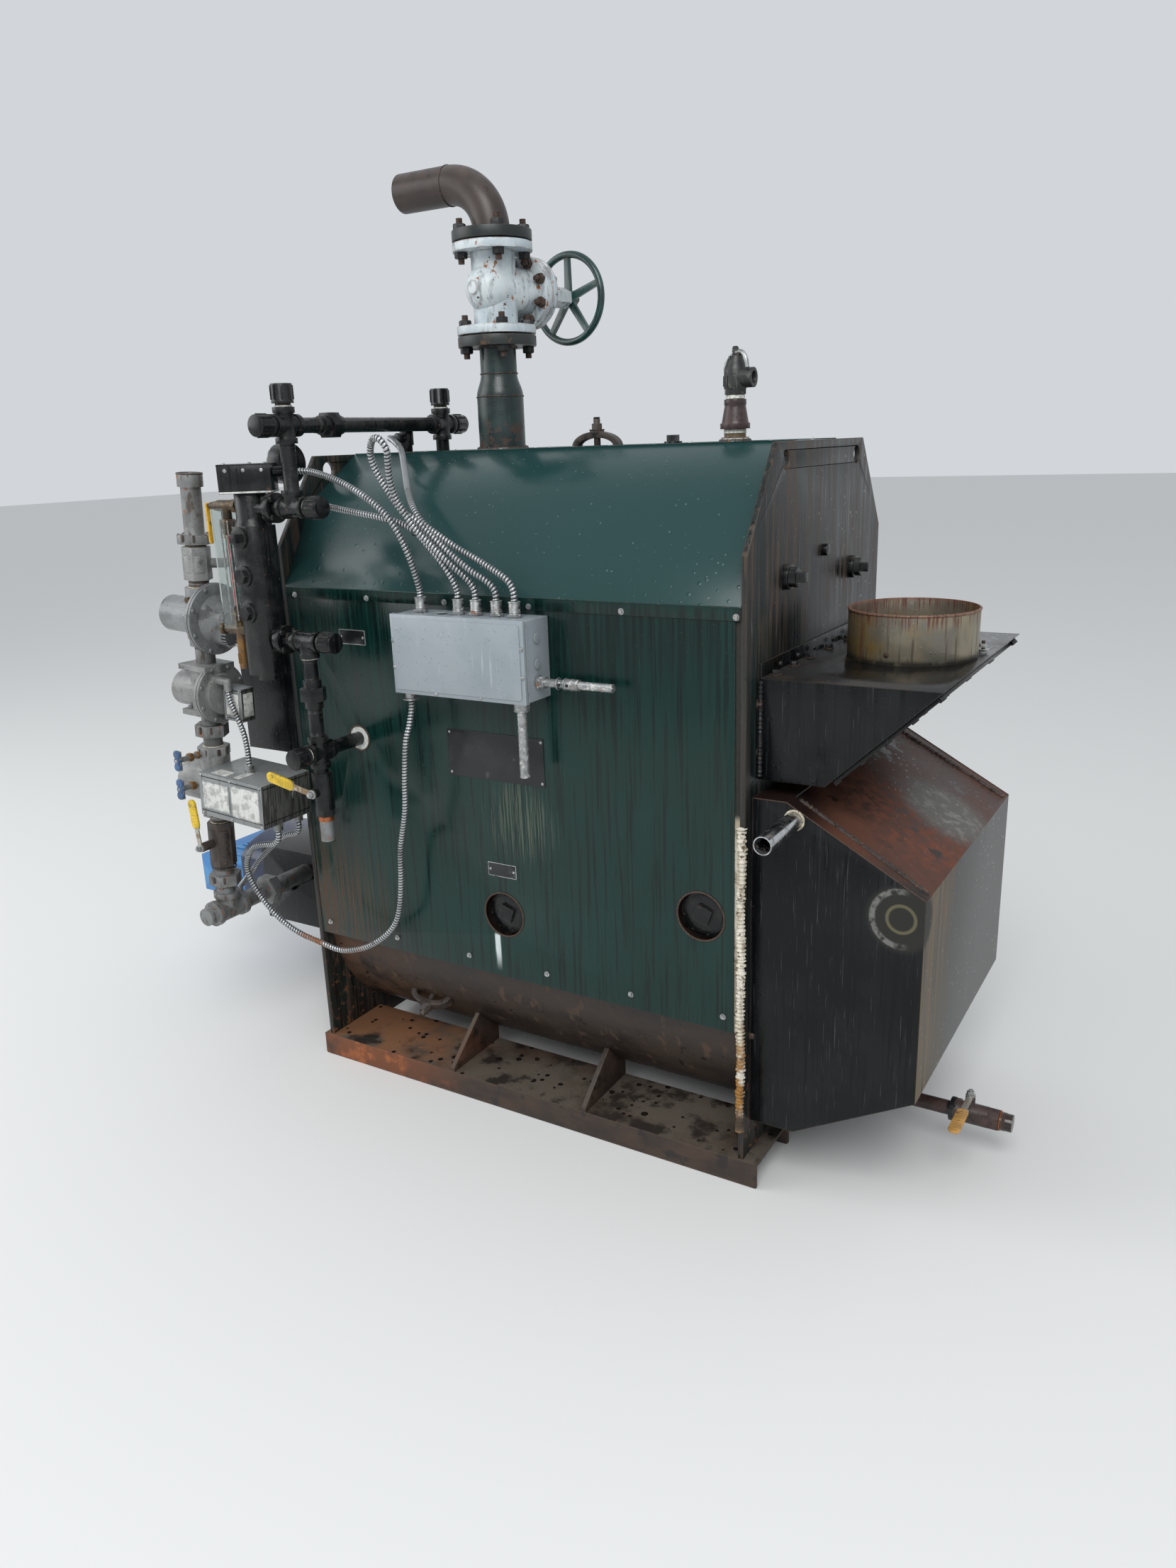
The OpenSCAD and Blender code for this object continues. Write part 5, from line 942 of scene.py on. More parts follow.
def flue_black():
    """Heat-dulled black sheet, wet and runny on the outside, flecked with rain."""
    f = Finish("flue_black", (8, 10, 12), 0.22)
    f.shader.inputs["Specular IOR Level"].default_value = 0.26
    f.layer(f.blotch(5, 0.4, 0.62), (19, 22, 23), 0.32)
    f.layer(f.blotch(10, 0.5, 0.62, RUNS), (7, 9, 10), 0.14)
    f.layer(f.blotch(46, 0.62, 0.68, RUNS), (58, 62, 64), 0.4)
    top = f.upward(0.6, 0.95)
    f.layer(top, (27, 26, 25), 0.18)
    f.layer(f.both(top, f.blotch(9, 0.46, 0.62)), (44, 37, 31), 0.28)
    f.layer(f.edge(0.004, 0.05, 0.3), (62, 56, 48), 0.5)
    f.grain(6, 0.3, 0.003)
    f.grain(200, 0.25, 0.0006)
    return f.drops(90, 0.32, 0.35, 0.4, 0.001).done()


def collar_brown():
    """Flue collar in bright sheet, straw and grey with heat, rust runs on its left third."""
    f = Finish("collar_brown", (142, 134, 114), 0.3, 0.55)
    f.layer(f.blotch(9, 0.42, 0.62), (116, 112, 102), 0.34, 0.5)
    f.layer(f.blotch(7, 0.5, 0.64), (138, 116, 72), 0.36, 0.4)
    f.layer(f.blotch(13, 0.56, 0.66, UPRIGHT), (92, 82, 68), 0.42, 0.3)
    left = f.both(f.band(0, 0.80, 0.70), f.blotch(11, 0.48, 0.58, RUNS))
    f.layer(left, (92, 46, 32), 0.55, 0.1)
    f.layer(f.both(f.band(0, 0.78, 0.70), f.blotch(6, 0.4, 0.6)), (84, 76, 66), 0.4, 0.3)
    rim = f.band(2, 1.238, 1.245)
    f.layer(rim, (122, 92, 74), 0.5, 0.2)
    f.layer(f.both(f.band(2, 1.205, 1.235), f.blotch(30, 0.5, 0.58, RUNS)), (88, 52, 40), 0.6, 0.1)
    f.layer(f.both(f.band(2, 1.160, 1.146), f.blotch(30, 0.3, 0.5)), (40, 36, 28), 0.6, 0.0)
    f.grain(8, 0.3, 0.002)
    return f.drops(120, 0.3, 0.25, 0.4, 0.0008).done()


def rear_rust():
    """Rear box: black sides flecked with rain, a red-brown top with an ash mark under a painted
    glint, painted shade under the flue box, a scorch ring.
    """
    f = Finish("rear_rust", (7, 8, 10), 0.26)
    f.shader.inputs["Specular IOR Level"].default_value = 0.24
    f.layer(f.blotch(4, 0.4, 0.64), (19, 22, 23), 0.32)
    f.layer(f.blotch(12, 0.5, 0.64, RUNS), (6, 7, 8), 0.16)
    f.layer(f.blotch(44, 0.62, 0.68, RUNS), (54, 58, 60), 0.4)
    end = f.band(0, 0.9765, 0.9778)
    f.layer(end, (52, 52, 50), 0.34)
    near = f.both(end, f.band(1, -0.10, -0.26))
    f.layer(f.both(near, f.blotch(7, 0.36, 0.58, RUNS)), (104, 92, 74), 0.5)
    f.layer(f.both(near, f.blotch(20, 0.56, 0.64, RUNS), f.band(2, 0.55, 0.72)), (134, 92, 60),
            0.6)
    top = f.upward(0.3, 0.6)
    f.layer(top, (62, 42, 34), 0.4)
    f.layer(f.both(top, f.blotch(5, 0.38, 0.6)), (84, 54, 42), 0.5)
    f.layer(f.both(top, f.ball((0.90, -0.08, 0.80), 0.10, 0.26), f.blotch(44, 0.42, 0.6)),
            (104, 62, 46), 0.65)
    f.layer(f.both(top, f.blotch(14, 0.58, 0.66)), (44, 32, 28), 0.26)
    # Ash mark on the top with a painted glint over it, paler still at its middle.
    f.layer(f.both(top, f.ball((0.915, 0.060, 0.80), 0.07, 0.15)), (96, 94, 90), 0.55)
    f.layer(f.both(top, f.ball((0.915, 0.060, 0.80), 0.05, 0.15), f.blotch(50, 0.5, 0.6)),
            (124, 122, 116), 0.7)
    # Painted shade: darker at the front corner of the top, where it runs under the flue box.
    f.layer(f.both(top, f.ball((0.66, -0.36, 0.90), 0.06, 0.16)), (32, 23, 21), 0.25)
    eye = (0.931, -0.379, 0.692)
    f.layer(f.ball(eye, 0.060, 0.078), (38, 38, 35), 0.45)
    thin = f.both(f.ball(eye, 0.030, 0.033), maths(f.tree, "SUBTRACT", 1.0,
                                                   f.ball(eye, 0.023, 0.027)))
    f.layer(thin, (88, 84, 64), 0.6)
    wide = f.both(f.ball(eye, 0.062, 0.066), maths(f.tree, "SUBTRACT", 1.0,
                                                   f.ball(eye, 0.050, 0.055)),
                  f.band(0, 0.95, 0.92), f.blotch(70, 0.36, 0.56))
    f.layer(wide, (104, 104, 99), 0.7)
    f.layer(f.edge(0.005, 0.04, 0.25), (84, 68, 54), 0.6)
    f.grain(6, 0.3, 0.003)
    f.grain(160, 0.3, 0.0008)
    return f.drops(100, 0.3, 0.3, 0.4, 0.0008).done()


def stainless():
    """Bright stainless tube."""
    f = Finish("stainless", (196, 198, 200), 0.2, 1.0)
    f.layer(f.blotch(40, 0.5, 0.62), (150, 150, 150), 0.34, 0.9)
    f.layer(f.blotch(90, 0.62, 0.67), (120, 96, 76), 0.6, 0.3)
    return f.grain(30, 0.1, 0.0004, (1, 8, 1)).done()


def blowdown_brown():
    """Blowdown pipe and valve in dark red-brown, a copper ring at the cap, its end glossy."""
    f = Finish("blowdown_brown", (52, 38, 35), 0.45)
    f.layer(f.blotch(30, 0.42, 0.6), (66, 49, 45), 0.55)
    f.layer(f.blotch(50, 0.56, 0.64), (34, 26, 25), 0.35)
    f.layer(f.both(f.band(0, 0.972, 0.978), f.band(0, 0.995, 0.990)), (24, 24, 26), 0.3)
    f.layer(f.band(0, 1.092, 1.096), (38, 27, 25), 0.2)
    f.layer(f.edge(0.003, 0.06, 0.3), (96, 80, 70), 0.5)
    f.grain(150, 0.5, 0.0009)
    return f.drops(200, 0.3, 0.3, 0.4, 0.0006).done()


def plain(name, base, rough, metal=0.0, grime=(60, 54, 48), scale=60):
    """A small part's finish: its colour, a darker cast of it, grime and a fine grain."""
    f = Finish(name, base, rough, metal)
    f.layer(f.blotch(scale, 0.44, 0.6), tuple(0.8 * c for c in base), min(1, rough + 0.08))
    f.layer(f.blotch(1.6 * scale, 0.6, 0.66), grime, min(1, rough + 0.2), 0.3 * metal)
    return f.grain(300, 0.25, 0.0004).done()


FINISHES = {
    "jacket": jacket_green(), "plate": plate_black(), "skid": skid_rust(),
    "shell": shell_steel(), "wool": insulation_wool(), "iron": pipe_black(),
    "painted": pipe_painted(),
    "flange": flange_black(), "valve": valve_white(), "wheel": handwheel_blue(),
    "elbow": elbow_brown(), "nipple": nipple_red(), "bronze": bronze_dull(),
    "brass": brass_old(), "glass": glass_wet(), "box": box_grey(), "control": control_blue(),
    "regulator": cast_grey("regulator_cast", (116, 118, 119), (136, 138, 139), (84, 85, 86), 0.38),
    "valve_cast": cast_grey("valve_cast", (122, 123, 122), (142, 143, 141), (92, 92, 89), 0.44),
    "zinc": zinc_plate(), "galvanised": pipe_galvanised(), "brown_iron": iron_brown(),
    "armour": conduit_armour(), "strip": lever_strip(),
    "grip": grip_yellow("grip_yellow", (216, 182, 44), (150, 126, 56)),
    "old_grip": grip_yellow("grip_aged", (190, 142, 72), (112, 84, 54)),
    "burner": burner_blue(), "flue": flue_black(), "collar": collar_brown(),
    "rear": rear_rust(), "stainless": stainless(), "blowdown": blowdown_brown(),
    "tape": plain("thread_tape", (214, 214, 206), 0.6, 0.0, (120, 96, 70), 140),
    "dope": plain("pipe_dope", (206, 198, 178), 0.75, 0.0, (130, 104, 76), 120),
    "label": plain("bare_label", (202, 203, 198), 0.5, 0.0, (184, 183, 176), 60),
    "face": plain("gauge_face", (224, 222, 210), 0.35, 0.0, (170, 160, 140), 40),
    "ink": plain("dial_ink", (26, 26, 28), 0.5),
    "red": plain("gauge_red", (168, 36, 30), 0.4, 0.0, (90, 30, 26)),
    "wing": plain("wing_blue", (62, 92, 132), 0.35, 0.0, (70, 66, 62)),
    "yellow_handle": plain("handle_yellow", (206, 160, 44), 0.4, 0.0, (110, 88, 50)),
    "black_stud": plain("stud_black", (34, 34, 35), 0.4, 0.3, (66, 54, 46), 140),
    "rust_nut": plain("nut_rust", (74, 56, 46), 0.6, 0.2, (44, 34, 29), 160),
    "bead": plain("weld_bead", (66, 58, 54), 0.45, 0.3, (124, 80, 54), 90),
    "plastic": plain("cap_black", (26, 26, 27), 0.4, 0.0, (70, 68, 64), 80),
    "nameplate": plain("plate_blank", (24, 25, 27), 0.22, 0.0, (58, 58, 58), 12),
    "border": plain("plate_border", (176, 178, 178), 0.35, 0.7, (110, 104, 96), 60),
    "copper": plain("copper_ring", (176, 104, 66), 0.35, 0.8, (96, 60, 44), 90),
}


# Each CAD node with its finish and the size of its rounded edges

DRESSED = {
    "skid_front": ("skid", 0.004), "skid_back": ("skid", 0.004), "skid_gussets": ("skid", 0.002),
    "left_end_plate": ("plate", 0.0015), "right_end_plate": ("plate", 0.0015),
    "pressure_shell": ("shell", 0), "jacket_front": ("jacket", 0.001),
    "jacket_back": ("jacket", 0.001), "roof": ("jacket", 0.0015),
    "edge_insulation": ("wool", 0.003), "steam_pipe": ("painted", 0),
    "steam_flanges": ("flange", 0.0015), "gate_valve_body": ("valve", 0.002),
    "gate_valve_bonnet": ("valve", 0.002), "gate_valve_handwheel": ("wheel", 0.002),
    "outlet_elbow": ("elbow", 0), "safety_nipple": ("nipple", 0.0015),
    "safety_valve": ("bronze", 0.001), "handholes": ("brown_iron", 0.002),
    "vessel_plugs": ("iron", 0.0015), "water_column": ("iron", 0.002),
    "column_head_box": ("iron", 0.003), "gauge_glass": ("glass", 0),
    "gauge_cocks": ("brass", 0.0008), "equalizing_pipe_upper": ("iron", 0.0012),
    "equalizing_pipe_lower": ("iron", 0.0012), "column_drain_valve": ("iron", 0.0012),
    "column_drain_lever": ("strip", 0.0005), "pressure_gauge": ("iron", 0.002),
    "control_box": ("control", 0.001), "control_box_cover": ("control", 0.002),
    "box_connectors": ("zinc", 0.001), "gas_pipework": ("galvanised", 0.0012),
    "gas_upper_valve": ("valve_cast", 0.0012), "gas_upper_lever": ("strip", 0.0005),
    "gas_regulator": ("regulator", 0.002), "gas_diaphragm_valve": ("valve_cast", 0.002),
    "gas_valve_box": ("box", 0.002), "gas_main_valve": ("valve_cast", 0.002),
    "gas_actuator": ("box", 0.004), "gas_lower_valve": ("brown_iron", 0.0012),
    "gas_lower_lever": ("strip", 0.0005), "burner_wind_box": ("flue", 0.002),
    "burner": ("burner", 0.005), "front_smoke_box": ("flue", 0.002),
    "flue_box": ("flue", 0.002), "flue_cover": ("flue", 0.001), "flue_collar": ("collar", 0.0006),
    "rear_box": ("rear", 0.003), "sight_tube": ("stainless", 0.0004),
    "blowdown_pipe": ("blowdown", 0.001), "blowdown_lever": ("strip", 0.0005),
}
for node, (finish, bevel) in DRESSED.items():
    dress(node, FINISHES[finish], bevel)

# Conduits: spiral armour along the routes of the part, in millimetres as they were set there

MM = 0.001
CONDUIT_D = 0.015
ARMOUR_PITCH = 0.0075
ARMOUR_DEPTH = 0.0017
ARMOUR_ROWS = 6
CONDUIT_SIDES = 12
CONDUIT_ROUTES = {
    "head_box": [
        [-468.2, -498, 1564], [-452, -486, 1564], [-425, -478, 1562], [-400, -480, 1559],
        [-339, -495, 1547], [-284, -503, 1529], [-234, -508, 1506], [-196, -508, 1481],
        [-169, -504, 1452], [-152, -496, 1414], [-143, -484, 1373], [-141, -470, 1330],
        [-143, -460, 1305], [-143, -460, 1289.4]],
    "column": [
        [-530, -479.7, 1487], [-530, -465, 1487], [-527, -450, 1487], [-518, -436, 1487],
        [-503, -428, 1487], [-482, -427, 1487], [-440, -440, 1486], [-400, -458, 1485],
        [-340, -478, 1479], [-270, -488, 1470], [-212, -490, 1462], [-165, -486, 1451],
        [-126, -482, 1433], [-90, -478, 1397], [-62, -473, 1363], [-45, -466, 1330],
        [-39, -460, 1305], [-39, -460, 1289.4]],
    "hairpin": [
        [8, -460, 1289.4], [8, -460, 1304], [3, -463, 1320], [-9, -470, 1338], [-42, -488, 1374],
        [-70, -500, 1406], [-98, -514, 1441], [-115, -526, 1476], [-126, -537, 1507],
        [-126, -550, 1546], [-119, -560, 1582], [-115, -566, 1604], [-122, -569, 1619],
        [-136, -567, 1627], [-154, -560, 1625], [-170, -550, 1613], [-181, -540, 1592],
        [-181, -530, 1566], [-172, -520, 1537], [-157, -512, 1507], [-137, -504, 1475],
        [-107, -496, 1456], [-76, -488, 1424], [-36, -479, 1386], [8, -471, 1352], [36, -466, 1335],
        [54, -462, 1320], [62, -460, 1304], [62, -460, 1289.4]],
    "probe": [
        [109, -460, 1289.4], [109, -460, 1304], [104, -460, 1320], [91, -460, 1335],
        [60, -458, 1352], [10, -456, 1376], [-40, -458, 1400], [-84, -464, 1428], [-116, -466, 1450],
        [-152, -450, 1480], [-213, -390, 1517], [-283, -310, 1556], [-351, -236, 1600],
        [-396, -203, 1620], [-430, -180, 1629], [-446, -160, 1630], [-450, -144, 1630],
        [-450, -129.3, 1630]],
    "actuator": [
        [-179, -475, 1058.4], [-179, -475, 1040], [-184, -482, 1000], [-193, -490, 955],
        [-205, -490, 866], [-214, -488, 788], [-243, -481, 688], [-256, -475, 601],
        [-268, -473, 534], [-286, -475, 483], [-322, -480, 441], [-384, -485, 401],
        [-459, -490, 379], [-525, -495, 388], [-598, -500, 404], [-656, -505, 433],
        [-700, -510, 474], [-730, -515, 520], [-740, -520, 564], [-726, -525, 603],
        [-692, -530, 637], [-650, -530, 650], [-624, -530, 655], [-606, -530, 666],
        [-599, -530, 681], [-597.9, -530, 697.1]],
    "valve": [
        [-728, -520, 1042.7], [-728, -520, 1030], [-722, -520, 1008], [-711, -520, 983],
        [-699, -520, 957], [-690, -520, 930], [-686, -520, 900], [-685, -520, 878],
        [-685.4, -520, 855.5]],
    "burner": [
        [-607.9, -450, 697.7], [-608.9, -450, 681], [-614, -449, 668], [-628, -448, 658],
        [-669, -445, 644], [-723, -442, 605], [-781, -440, 556], [-817, -435, 519],
        [-858, -430, 483], [-886, -426, 456], [-906, -408, 430], [-916, -370, 398],
        [-918, -300, 375], [-918, -240, 370], [-918, -220.4, 370]],
}


def armoured(shape, route):
    """A tube whose radius dips once in each pitch, on a spiral: the seams of the armour."""
    path, length = smooth_path(route, ARMOUR_PITCH / ARMOUR_ROWS)
    reach = np.linspace(0, length, len(path))[:, None] / ARMOUR_PITCH
    turn = np.arange(CONDUIT_SIDES)[None] / CONDUIT_SIDES
    dip = 0.5 + 0.5 * np.cos(2 * np.pi * (reach - turn))
    shape.tube(path, CONDUIT_D / 2 - ARMOUR_DEPTH * dip ** 2, CONDUIT_SIDES)
    return path, length, dip


for conduit, route in CONDUIT_ROUTES.items():
    shape = Shape()
    path, length, dip = armoured(shape, MM * np.array(route))
    piece = shape.make(f"armoured_{conduit}", "armour", sharp=70)
    # The dip at each point goes to the seam attribute, where the armour's finish paints shade into
    # the grooves.
    seam = piece.data.attributes.new("seam", "FLOAT", "POINT")
    seam.data.foreach_set("value", dip.astype(np.float32).ravel())
    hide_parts(f"conduit_{conduit}")


# Where the details sit: a few faces from the boxes of the CAD nodes, the rest given as numbers


def low(node):
    """The low corner of a CAD node's box."""
    return np.array(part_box(node)[0])


def high(node):
    """The high corner of a CAD node's box."""
    return np.array(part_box(node)[1])


X, Y, Z = np.eye(3)
JACKET_FACE = low("jacket_front")[1]
STRIP_FACE = low("roof")[1]
ROOF_TOP = high("roof")[2]
PLATE_FACE = 0.616
STEAM_X = -0.220
VALVE_MID = np.array((STEAM_X, 0.0, 1.9625))
BONNET_TURN = math.radians(83.6)
BONNET_OUT = np.array((math.cos(BONNET_TURN), math.sin(BONNET_TURN), 0.0))
BONNET_SIDE = np.array((-math.sin(BONNET_TURN), math.cos(BONNET_TURN), 0.0))
RISER = np.array((-0.408, -0.550, 0.0))
COLUMN = np.array((-0.540, -0.550, 0.0))
GAS_FOOT = np.array((-0.860, -0.500, 0.425))
GAS_LEAN = math.radians(3.5)
GAS_X = np.array((math.cos(GAS_LEAN), 0.0, -math.sin(GAS_LEAN)))
GAS_UP = np.array((math.sin(GAS_LEAN), 0.0, math.cos(GAS_LEAN)))


def gas(across, along, height):
    """A point of the leaning gas train, from its foot."""
    return GAS_FOOT + across * GAS_X + along * Y + height * GAS_UP


def around(centre, first, second, radius, count, start=0.0):
    """Points of a bolt circle: centre plus the radius turned in the plane of two axes."""
    turn = start + 2 * np.pi * np.arange(count) / count
    return centre + radius * (np.cos(turn)[:, None] * first + np.sin(turn)[:, None] * second)


def rib_axes(along, outward):
    """The three axes of a rib that runs along one direction and stands out in another."""
    return np.cross(along, outward), along, outward


def bead(shape, path, radius, seed, paint=0, step=0.004):
    """A weld or a lump of filler: a tube along a path, its radius wandering with the seed."""
    line = smooth_path(path, step)[0] if len(path) > 2 else straight(path, step)
    random = np.random.default_rng(seed)
    ripple = 1 + 0.22 * np.sin(np.arange(len(line)) * 2.1) + random.normal(0, 0.12, len(line))
    ripple[0] = ripple[-1] = 0.3
    shape.tube(line, radius * ripple, 8, paint)


def straight(path, step):
    """Points about a step apart: the start plus a growing share of the way to the end."""
    start, end = np.asarray(path, float)
    length = np.linalg.norm(end - start)
    t = np.linspace(0, 1, max(3, int(length / step)))[:, None]
    return start + t * (end - start)


ROUND_BEAD_STEPS = 90


def round_bead(shape, centre, axis, radius, thick, seed, paint=0):
    """A weld round a pipe: the same wandering tube on a circle, its ends overlapping."""
    side, up = axes_for(axis)[1:]
    turn = np.linspace(0, 2 * np.pi * 1.01, ROUND_BEAD_STEPS)
    line = centre + radius * (np.cos(turn)[:, None] * side + np.sin(turn)[:, None] * up)
    random = np.random.default_rng(seed)
    ripple = (1 + 0.2 * np.sin(np.arange(ROUND_BEAD_STEPS) * 2.3)
              + random.normal(0, 0.1, ROUND_BEAD_STEPS))
    shape.tube(line, thick * ripple, 8, paint)


def threads(shape, place, axis, radius, start, end, paint=0, pitch=0.0022):
    """Pipe thread: rings of alternating radius along the axis."""
    count = 2 * max(2, int(abs(end - start) / pitch))
    reach = np.linspace(start, end, count + 1)
    ridge = np.where(np.arange(count + 1) % 2 == 0, radius, radius - 0.0009)
    shape.turned(np.stack([ridge, reach], -1), place, axis, 28, paint)


# Steam line: studs and nuts of its flanges, bonnet bolts, gland studs and welds

FLANGE_CIRCLE = 0.0762
PAIRS = ((1.833, 1.880), (2.045, 2.092))
STUD_RADIUS = 0.0079
STUD_REACH = 0.026
NUT_FLATS = 0.027
NUT_HEIGHT = 0.0145
STUD_RIDGES = 61
BONNET_CIRCLE = 0.0695
BONNET_INNER, BONNET_OUTER = 0.101, 0.1393
BONNET_BOLT_FLATS = 0.0225
# Height, radius and thickness of each weld round the steam pipe
STEAM_WELDS = ((1.5955, 0.0585, 0.0055), (1.833, 0.0450, 0.0035), (1.719, 0.0572, 0.0018),
               (1.772, 0.0446, 0.0018), (2.0925, 0.0455, 0.0040))


def steam_line_fasteners():
    """Ridged studs with a nut at each end, and the bonnet's bolts on their circle."""
    shape = Shape()
    random = np.random.default_rng(4)
    for foot, top in PAIRS:
        for place in around(np.array((STEAM_X, 0, 0)), X, Y, FLANGE_CIRCLE, 4, np.pi / 4):
            at = place + foot * Z
            reach = top - foot
            studs = np.linspace(-STUD_REACH, reach + STUD_REACH, STUD_RIDGES)
            ridge = np.where(np.arange(STUD_RIDGES) % 2 == 0, STUD_RADIUS, 0.9 * STUD_RADIUS)
            shape.turned(np.stack([ridge, studs], -1), at, Z, 12, 1)
            hex_head(shape, at, -Z, NUT_FLATS, NUT_HEIGHT, 0, random.uniform(0, 1))
            hex_head(shape, at + reach * Z, Z, NUT_FLATS, NUT_HEIGHT, 0, random.uniform(0, 1))
    shape.make("steam_flange_studs", "black_stud rust_nut")
    bolts = Shape()
    for place in around(VALVE_MID, BONNET_SIDE, Z, BONNET_CIRCLE, 8, np.pi / 8):
        outer = place + BONNET_OUTER * BONNET_OUT
        inner = place + BONNET_INNER * BONNET_OUT
        hex_head(bolts, outer, BONNET_OUT, BONNET_BOLT_FLATS, 0.010, 0, random.uniform(0, 1))
        hex_head(bolts, inner, -BONNET_OUT, BONNET_BOLT_FLATS, 0.012, 1, random.uniform(0, 1))
        bolts.turned([(0.0066, 0), (0.0066, 0.018), (0.005, 0.020)],
                     inner - 0.006 * BONNET_OUT, -BONNET_OUT, 10, 1)
    for side in (-1, 1):
        place = VALVE_MID + 0.1873 * BONNET_OUT + side * 0.027 * Z
        bolts.turned([(0.004, 0), (0.004, 0.017)], place, BONNET_OUT, 10, 0)
        hex_head(bolts, place, BONNET_OUT, 0.013, 0.008, 1)
    bolts.make("bonnet_bolts", "zinc rust_nut")


def steam_line_welds():
    """Wandering beads round the steam pipe, the elbow and the safety nipple."""
    shape = Shape()
    for height, radius, thick in STEAM_WELDS:
        round_bead(shape, np.array((STEAM_X, 0, height)), Z, radius, thick, int(1000 * height))
    round_bead(shape, np.array((-0.3343, 0, 2.203)), X, 0.0446, 0.0016, 7)
    round_bead(shape, np.array((0.409, 0, 1.5955)), Z, 0.0320, 0.0045, 8)
    shape.make("steam_welds", "bead")


# Jacket: screws in rows, bare plates, lips of the washout holes and the filler in the slot

STRIP_SCREWS = ((-0.572, -0.343, -0.114, 0.113, 0.340, 0.594), 1.272)
FOOT_SCREWS = ((-0.572, -0.343, -0.114, 0.113, 0.339, 0.566), 0.405)


def jacket_screws():
    """Washers and hexagon heads in rows on both panels, and pan heads along the roof."""
    shape = Shape()
    for side in (-1, 1):
        for xs, height, face in ((*STRIP_SCREWS, STRIP_FACE), (*FOOT_SCREWS, JACKET_FACE)):
            for x in xs:
                place = np.array((x, -side * face, height))
                shape.turned([(0.0068, 0), (0.0068, 0.0009), (0.0045, 0.0012)], place, side * Y,
                             20)
                hex_head(shape, place + 0.001 * side * Y, side * Y, 0.0082, 0.0042, 0,
                         3.1 * x)
        for x in np.arange(-0.55, 0.58, 0.1):
            screw_head(shape, np.array((x, side * 0.108, ROOF_TOP)), Z, 0.0045, 0.0035)
    shape.make("jacket_screws", "zinc")


def bare_plates():
    """Plates of the jacket: a silver rim with a black blank in it, and a screw in each corner."""
    shape = Shape()
    for x, z, width, height, rim in ((0.0, 0.924, 0.267, 0.112, 0.0),
                                     (-0.401, 1.177, 0.082, 0.036, 0.0018),
                                     (0.001, 0.648, 0.080, 0.034, 0.0018)):
        centre = np.array((x, JACKET_FACE, z))
        if rim:
            shape.slab(centre, (X, Z, -Y), (width, height, 0.0010), 0.002, 0.0003, 4, 1)
        shape.slab(centre, (X, Z, -Y), (width - 2 * rim, height - 2 * rim, 0.0016), 0.002,
                   0.0004, 4, 0)
        for a in (-1, 1):
            for b in ((-1, 1) if width > 0.2 else (0,)):
                place = centre + a * (width / 2 - 0.007) * X + b * (height / 2 - 0.008) * Z
                screw_head(shape, place - 0.0014 * Y, -Y, 0.0034, 0.0018, 2)
    shape.make("bare_plates", "nameplate border zinc")


# Across and up, the middles of the two washout holes
WASHOUTS = ((-0.001, 0.535), (0.514, 0.630))


def washout_lips():
    """A torus round each washout and the lower branch, with the plugs' rims and screws."""
    shape = Shape()
    for x, z in WASHOUTS:
        shape.ring(np.array((x, JACKET_FACE, z)), Y, 0.0552, 0.0022, 48, 8)
        shape.turned([(0.0520, 0), (0.0530, 0.004), (0.0530, 0.012), (0.0440, 0.013)],
                     np.array((x, -0.3805, z)), -Y, 36, 1)
        for place in around(np.array((x, -0.3935, z)), X, Z, 0.0485, 8, 0.2):
            screw_head(shape, place, -Y, 0.0028, 0.002, 1)
    branch = np.array((RISER[0], JACKET_FACE, 0.927))
    shape.ring(branch, Y, 0.0312, 0.0022, 32, 8)
    shape.turned([(0.0305, 0), (0.0305, 0.004), (0.018, 0.006)], branch + 0.004 * Y, -Y, 28, 2)
    shape.make("washout_lips", "rust_nut iron label")


def slot_filler():
    """Ragged filler of the slots at the right plate: a bead down the front and one down the back."""
    shape = Shape()
    heights = np.linspace(0.845, 0.132, 9)
    wander = 0.0012 * np.sin(np.arange(9) * 2.3)
    front = np.full(9, JACKET_FACE - 0.001) + 0.5 * wander
    back = np.full(9, -JACKET_FACE)
    for y, radius, seed in ((front, 0.0090, 21), (back, 0.0085, 22)):
        bead(shape, np.stack([0.6075 + wander, y, heights], -1), radius, seed, 0, 0.003)
    shape.make("slot_filler", "wool")


# Fittings of the column, the gauge glass and the gauge

FITTING_CAPS = (
    (RISER + 1.661 * Z, Z), (RISER + 1.661 * Z, -Y), (RISER + 1.487 * Z, X),
    (np.array((-0.408, 0.0, 1.661)), Z), (np.array((-0.408, 0.0, 1.661)), Y),
    (RISER + 1.189 * Z, X), (RISER + 0.927 * Z, -Y))
CAP_START = 0.046
CAP_LENGTH = 0.040
CAP_RADIUS = 0.023


def cap_ribs():
    """Eight ribs along each cap, thread showing at its mouth, and tape round some of them."""
    shape = Shape()
    for number, (place, axis) in enumerate(FITTING_CAPS):
        along, side, up = axes_for(axis)
        for rib in around(place + (CAP_START + 0.008) * along, side, up, CAP_RADIUS - 0.0005, 8):
            outward = unit(rib - place - (CAP_START + 0.008) * along)
            across = np.cross(along, outward)
            shape.slab(rib + (CAP_LENGTH / 2 - 0.006) * along, (across, along, outward),
                       (0.0050, CAP_LENGTH - 0.010, 0.0026), 0.0012, 0.0006, 3, 0)
        threads(shape, place, axis, 0.0172, 0.037, 0.047, 1)
        if number in (0, 3, 6):
            round_bead(shape, place + 0.0395 * along, axis, 0.0172, 0.0018, 30 + number, 2)
    shape.make("cap_ribs", "iron rust_nut tape")


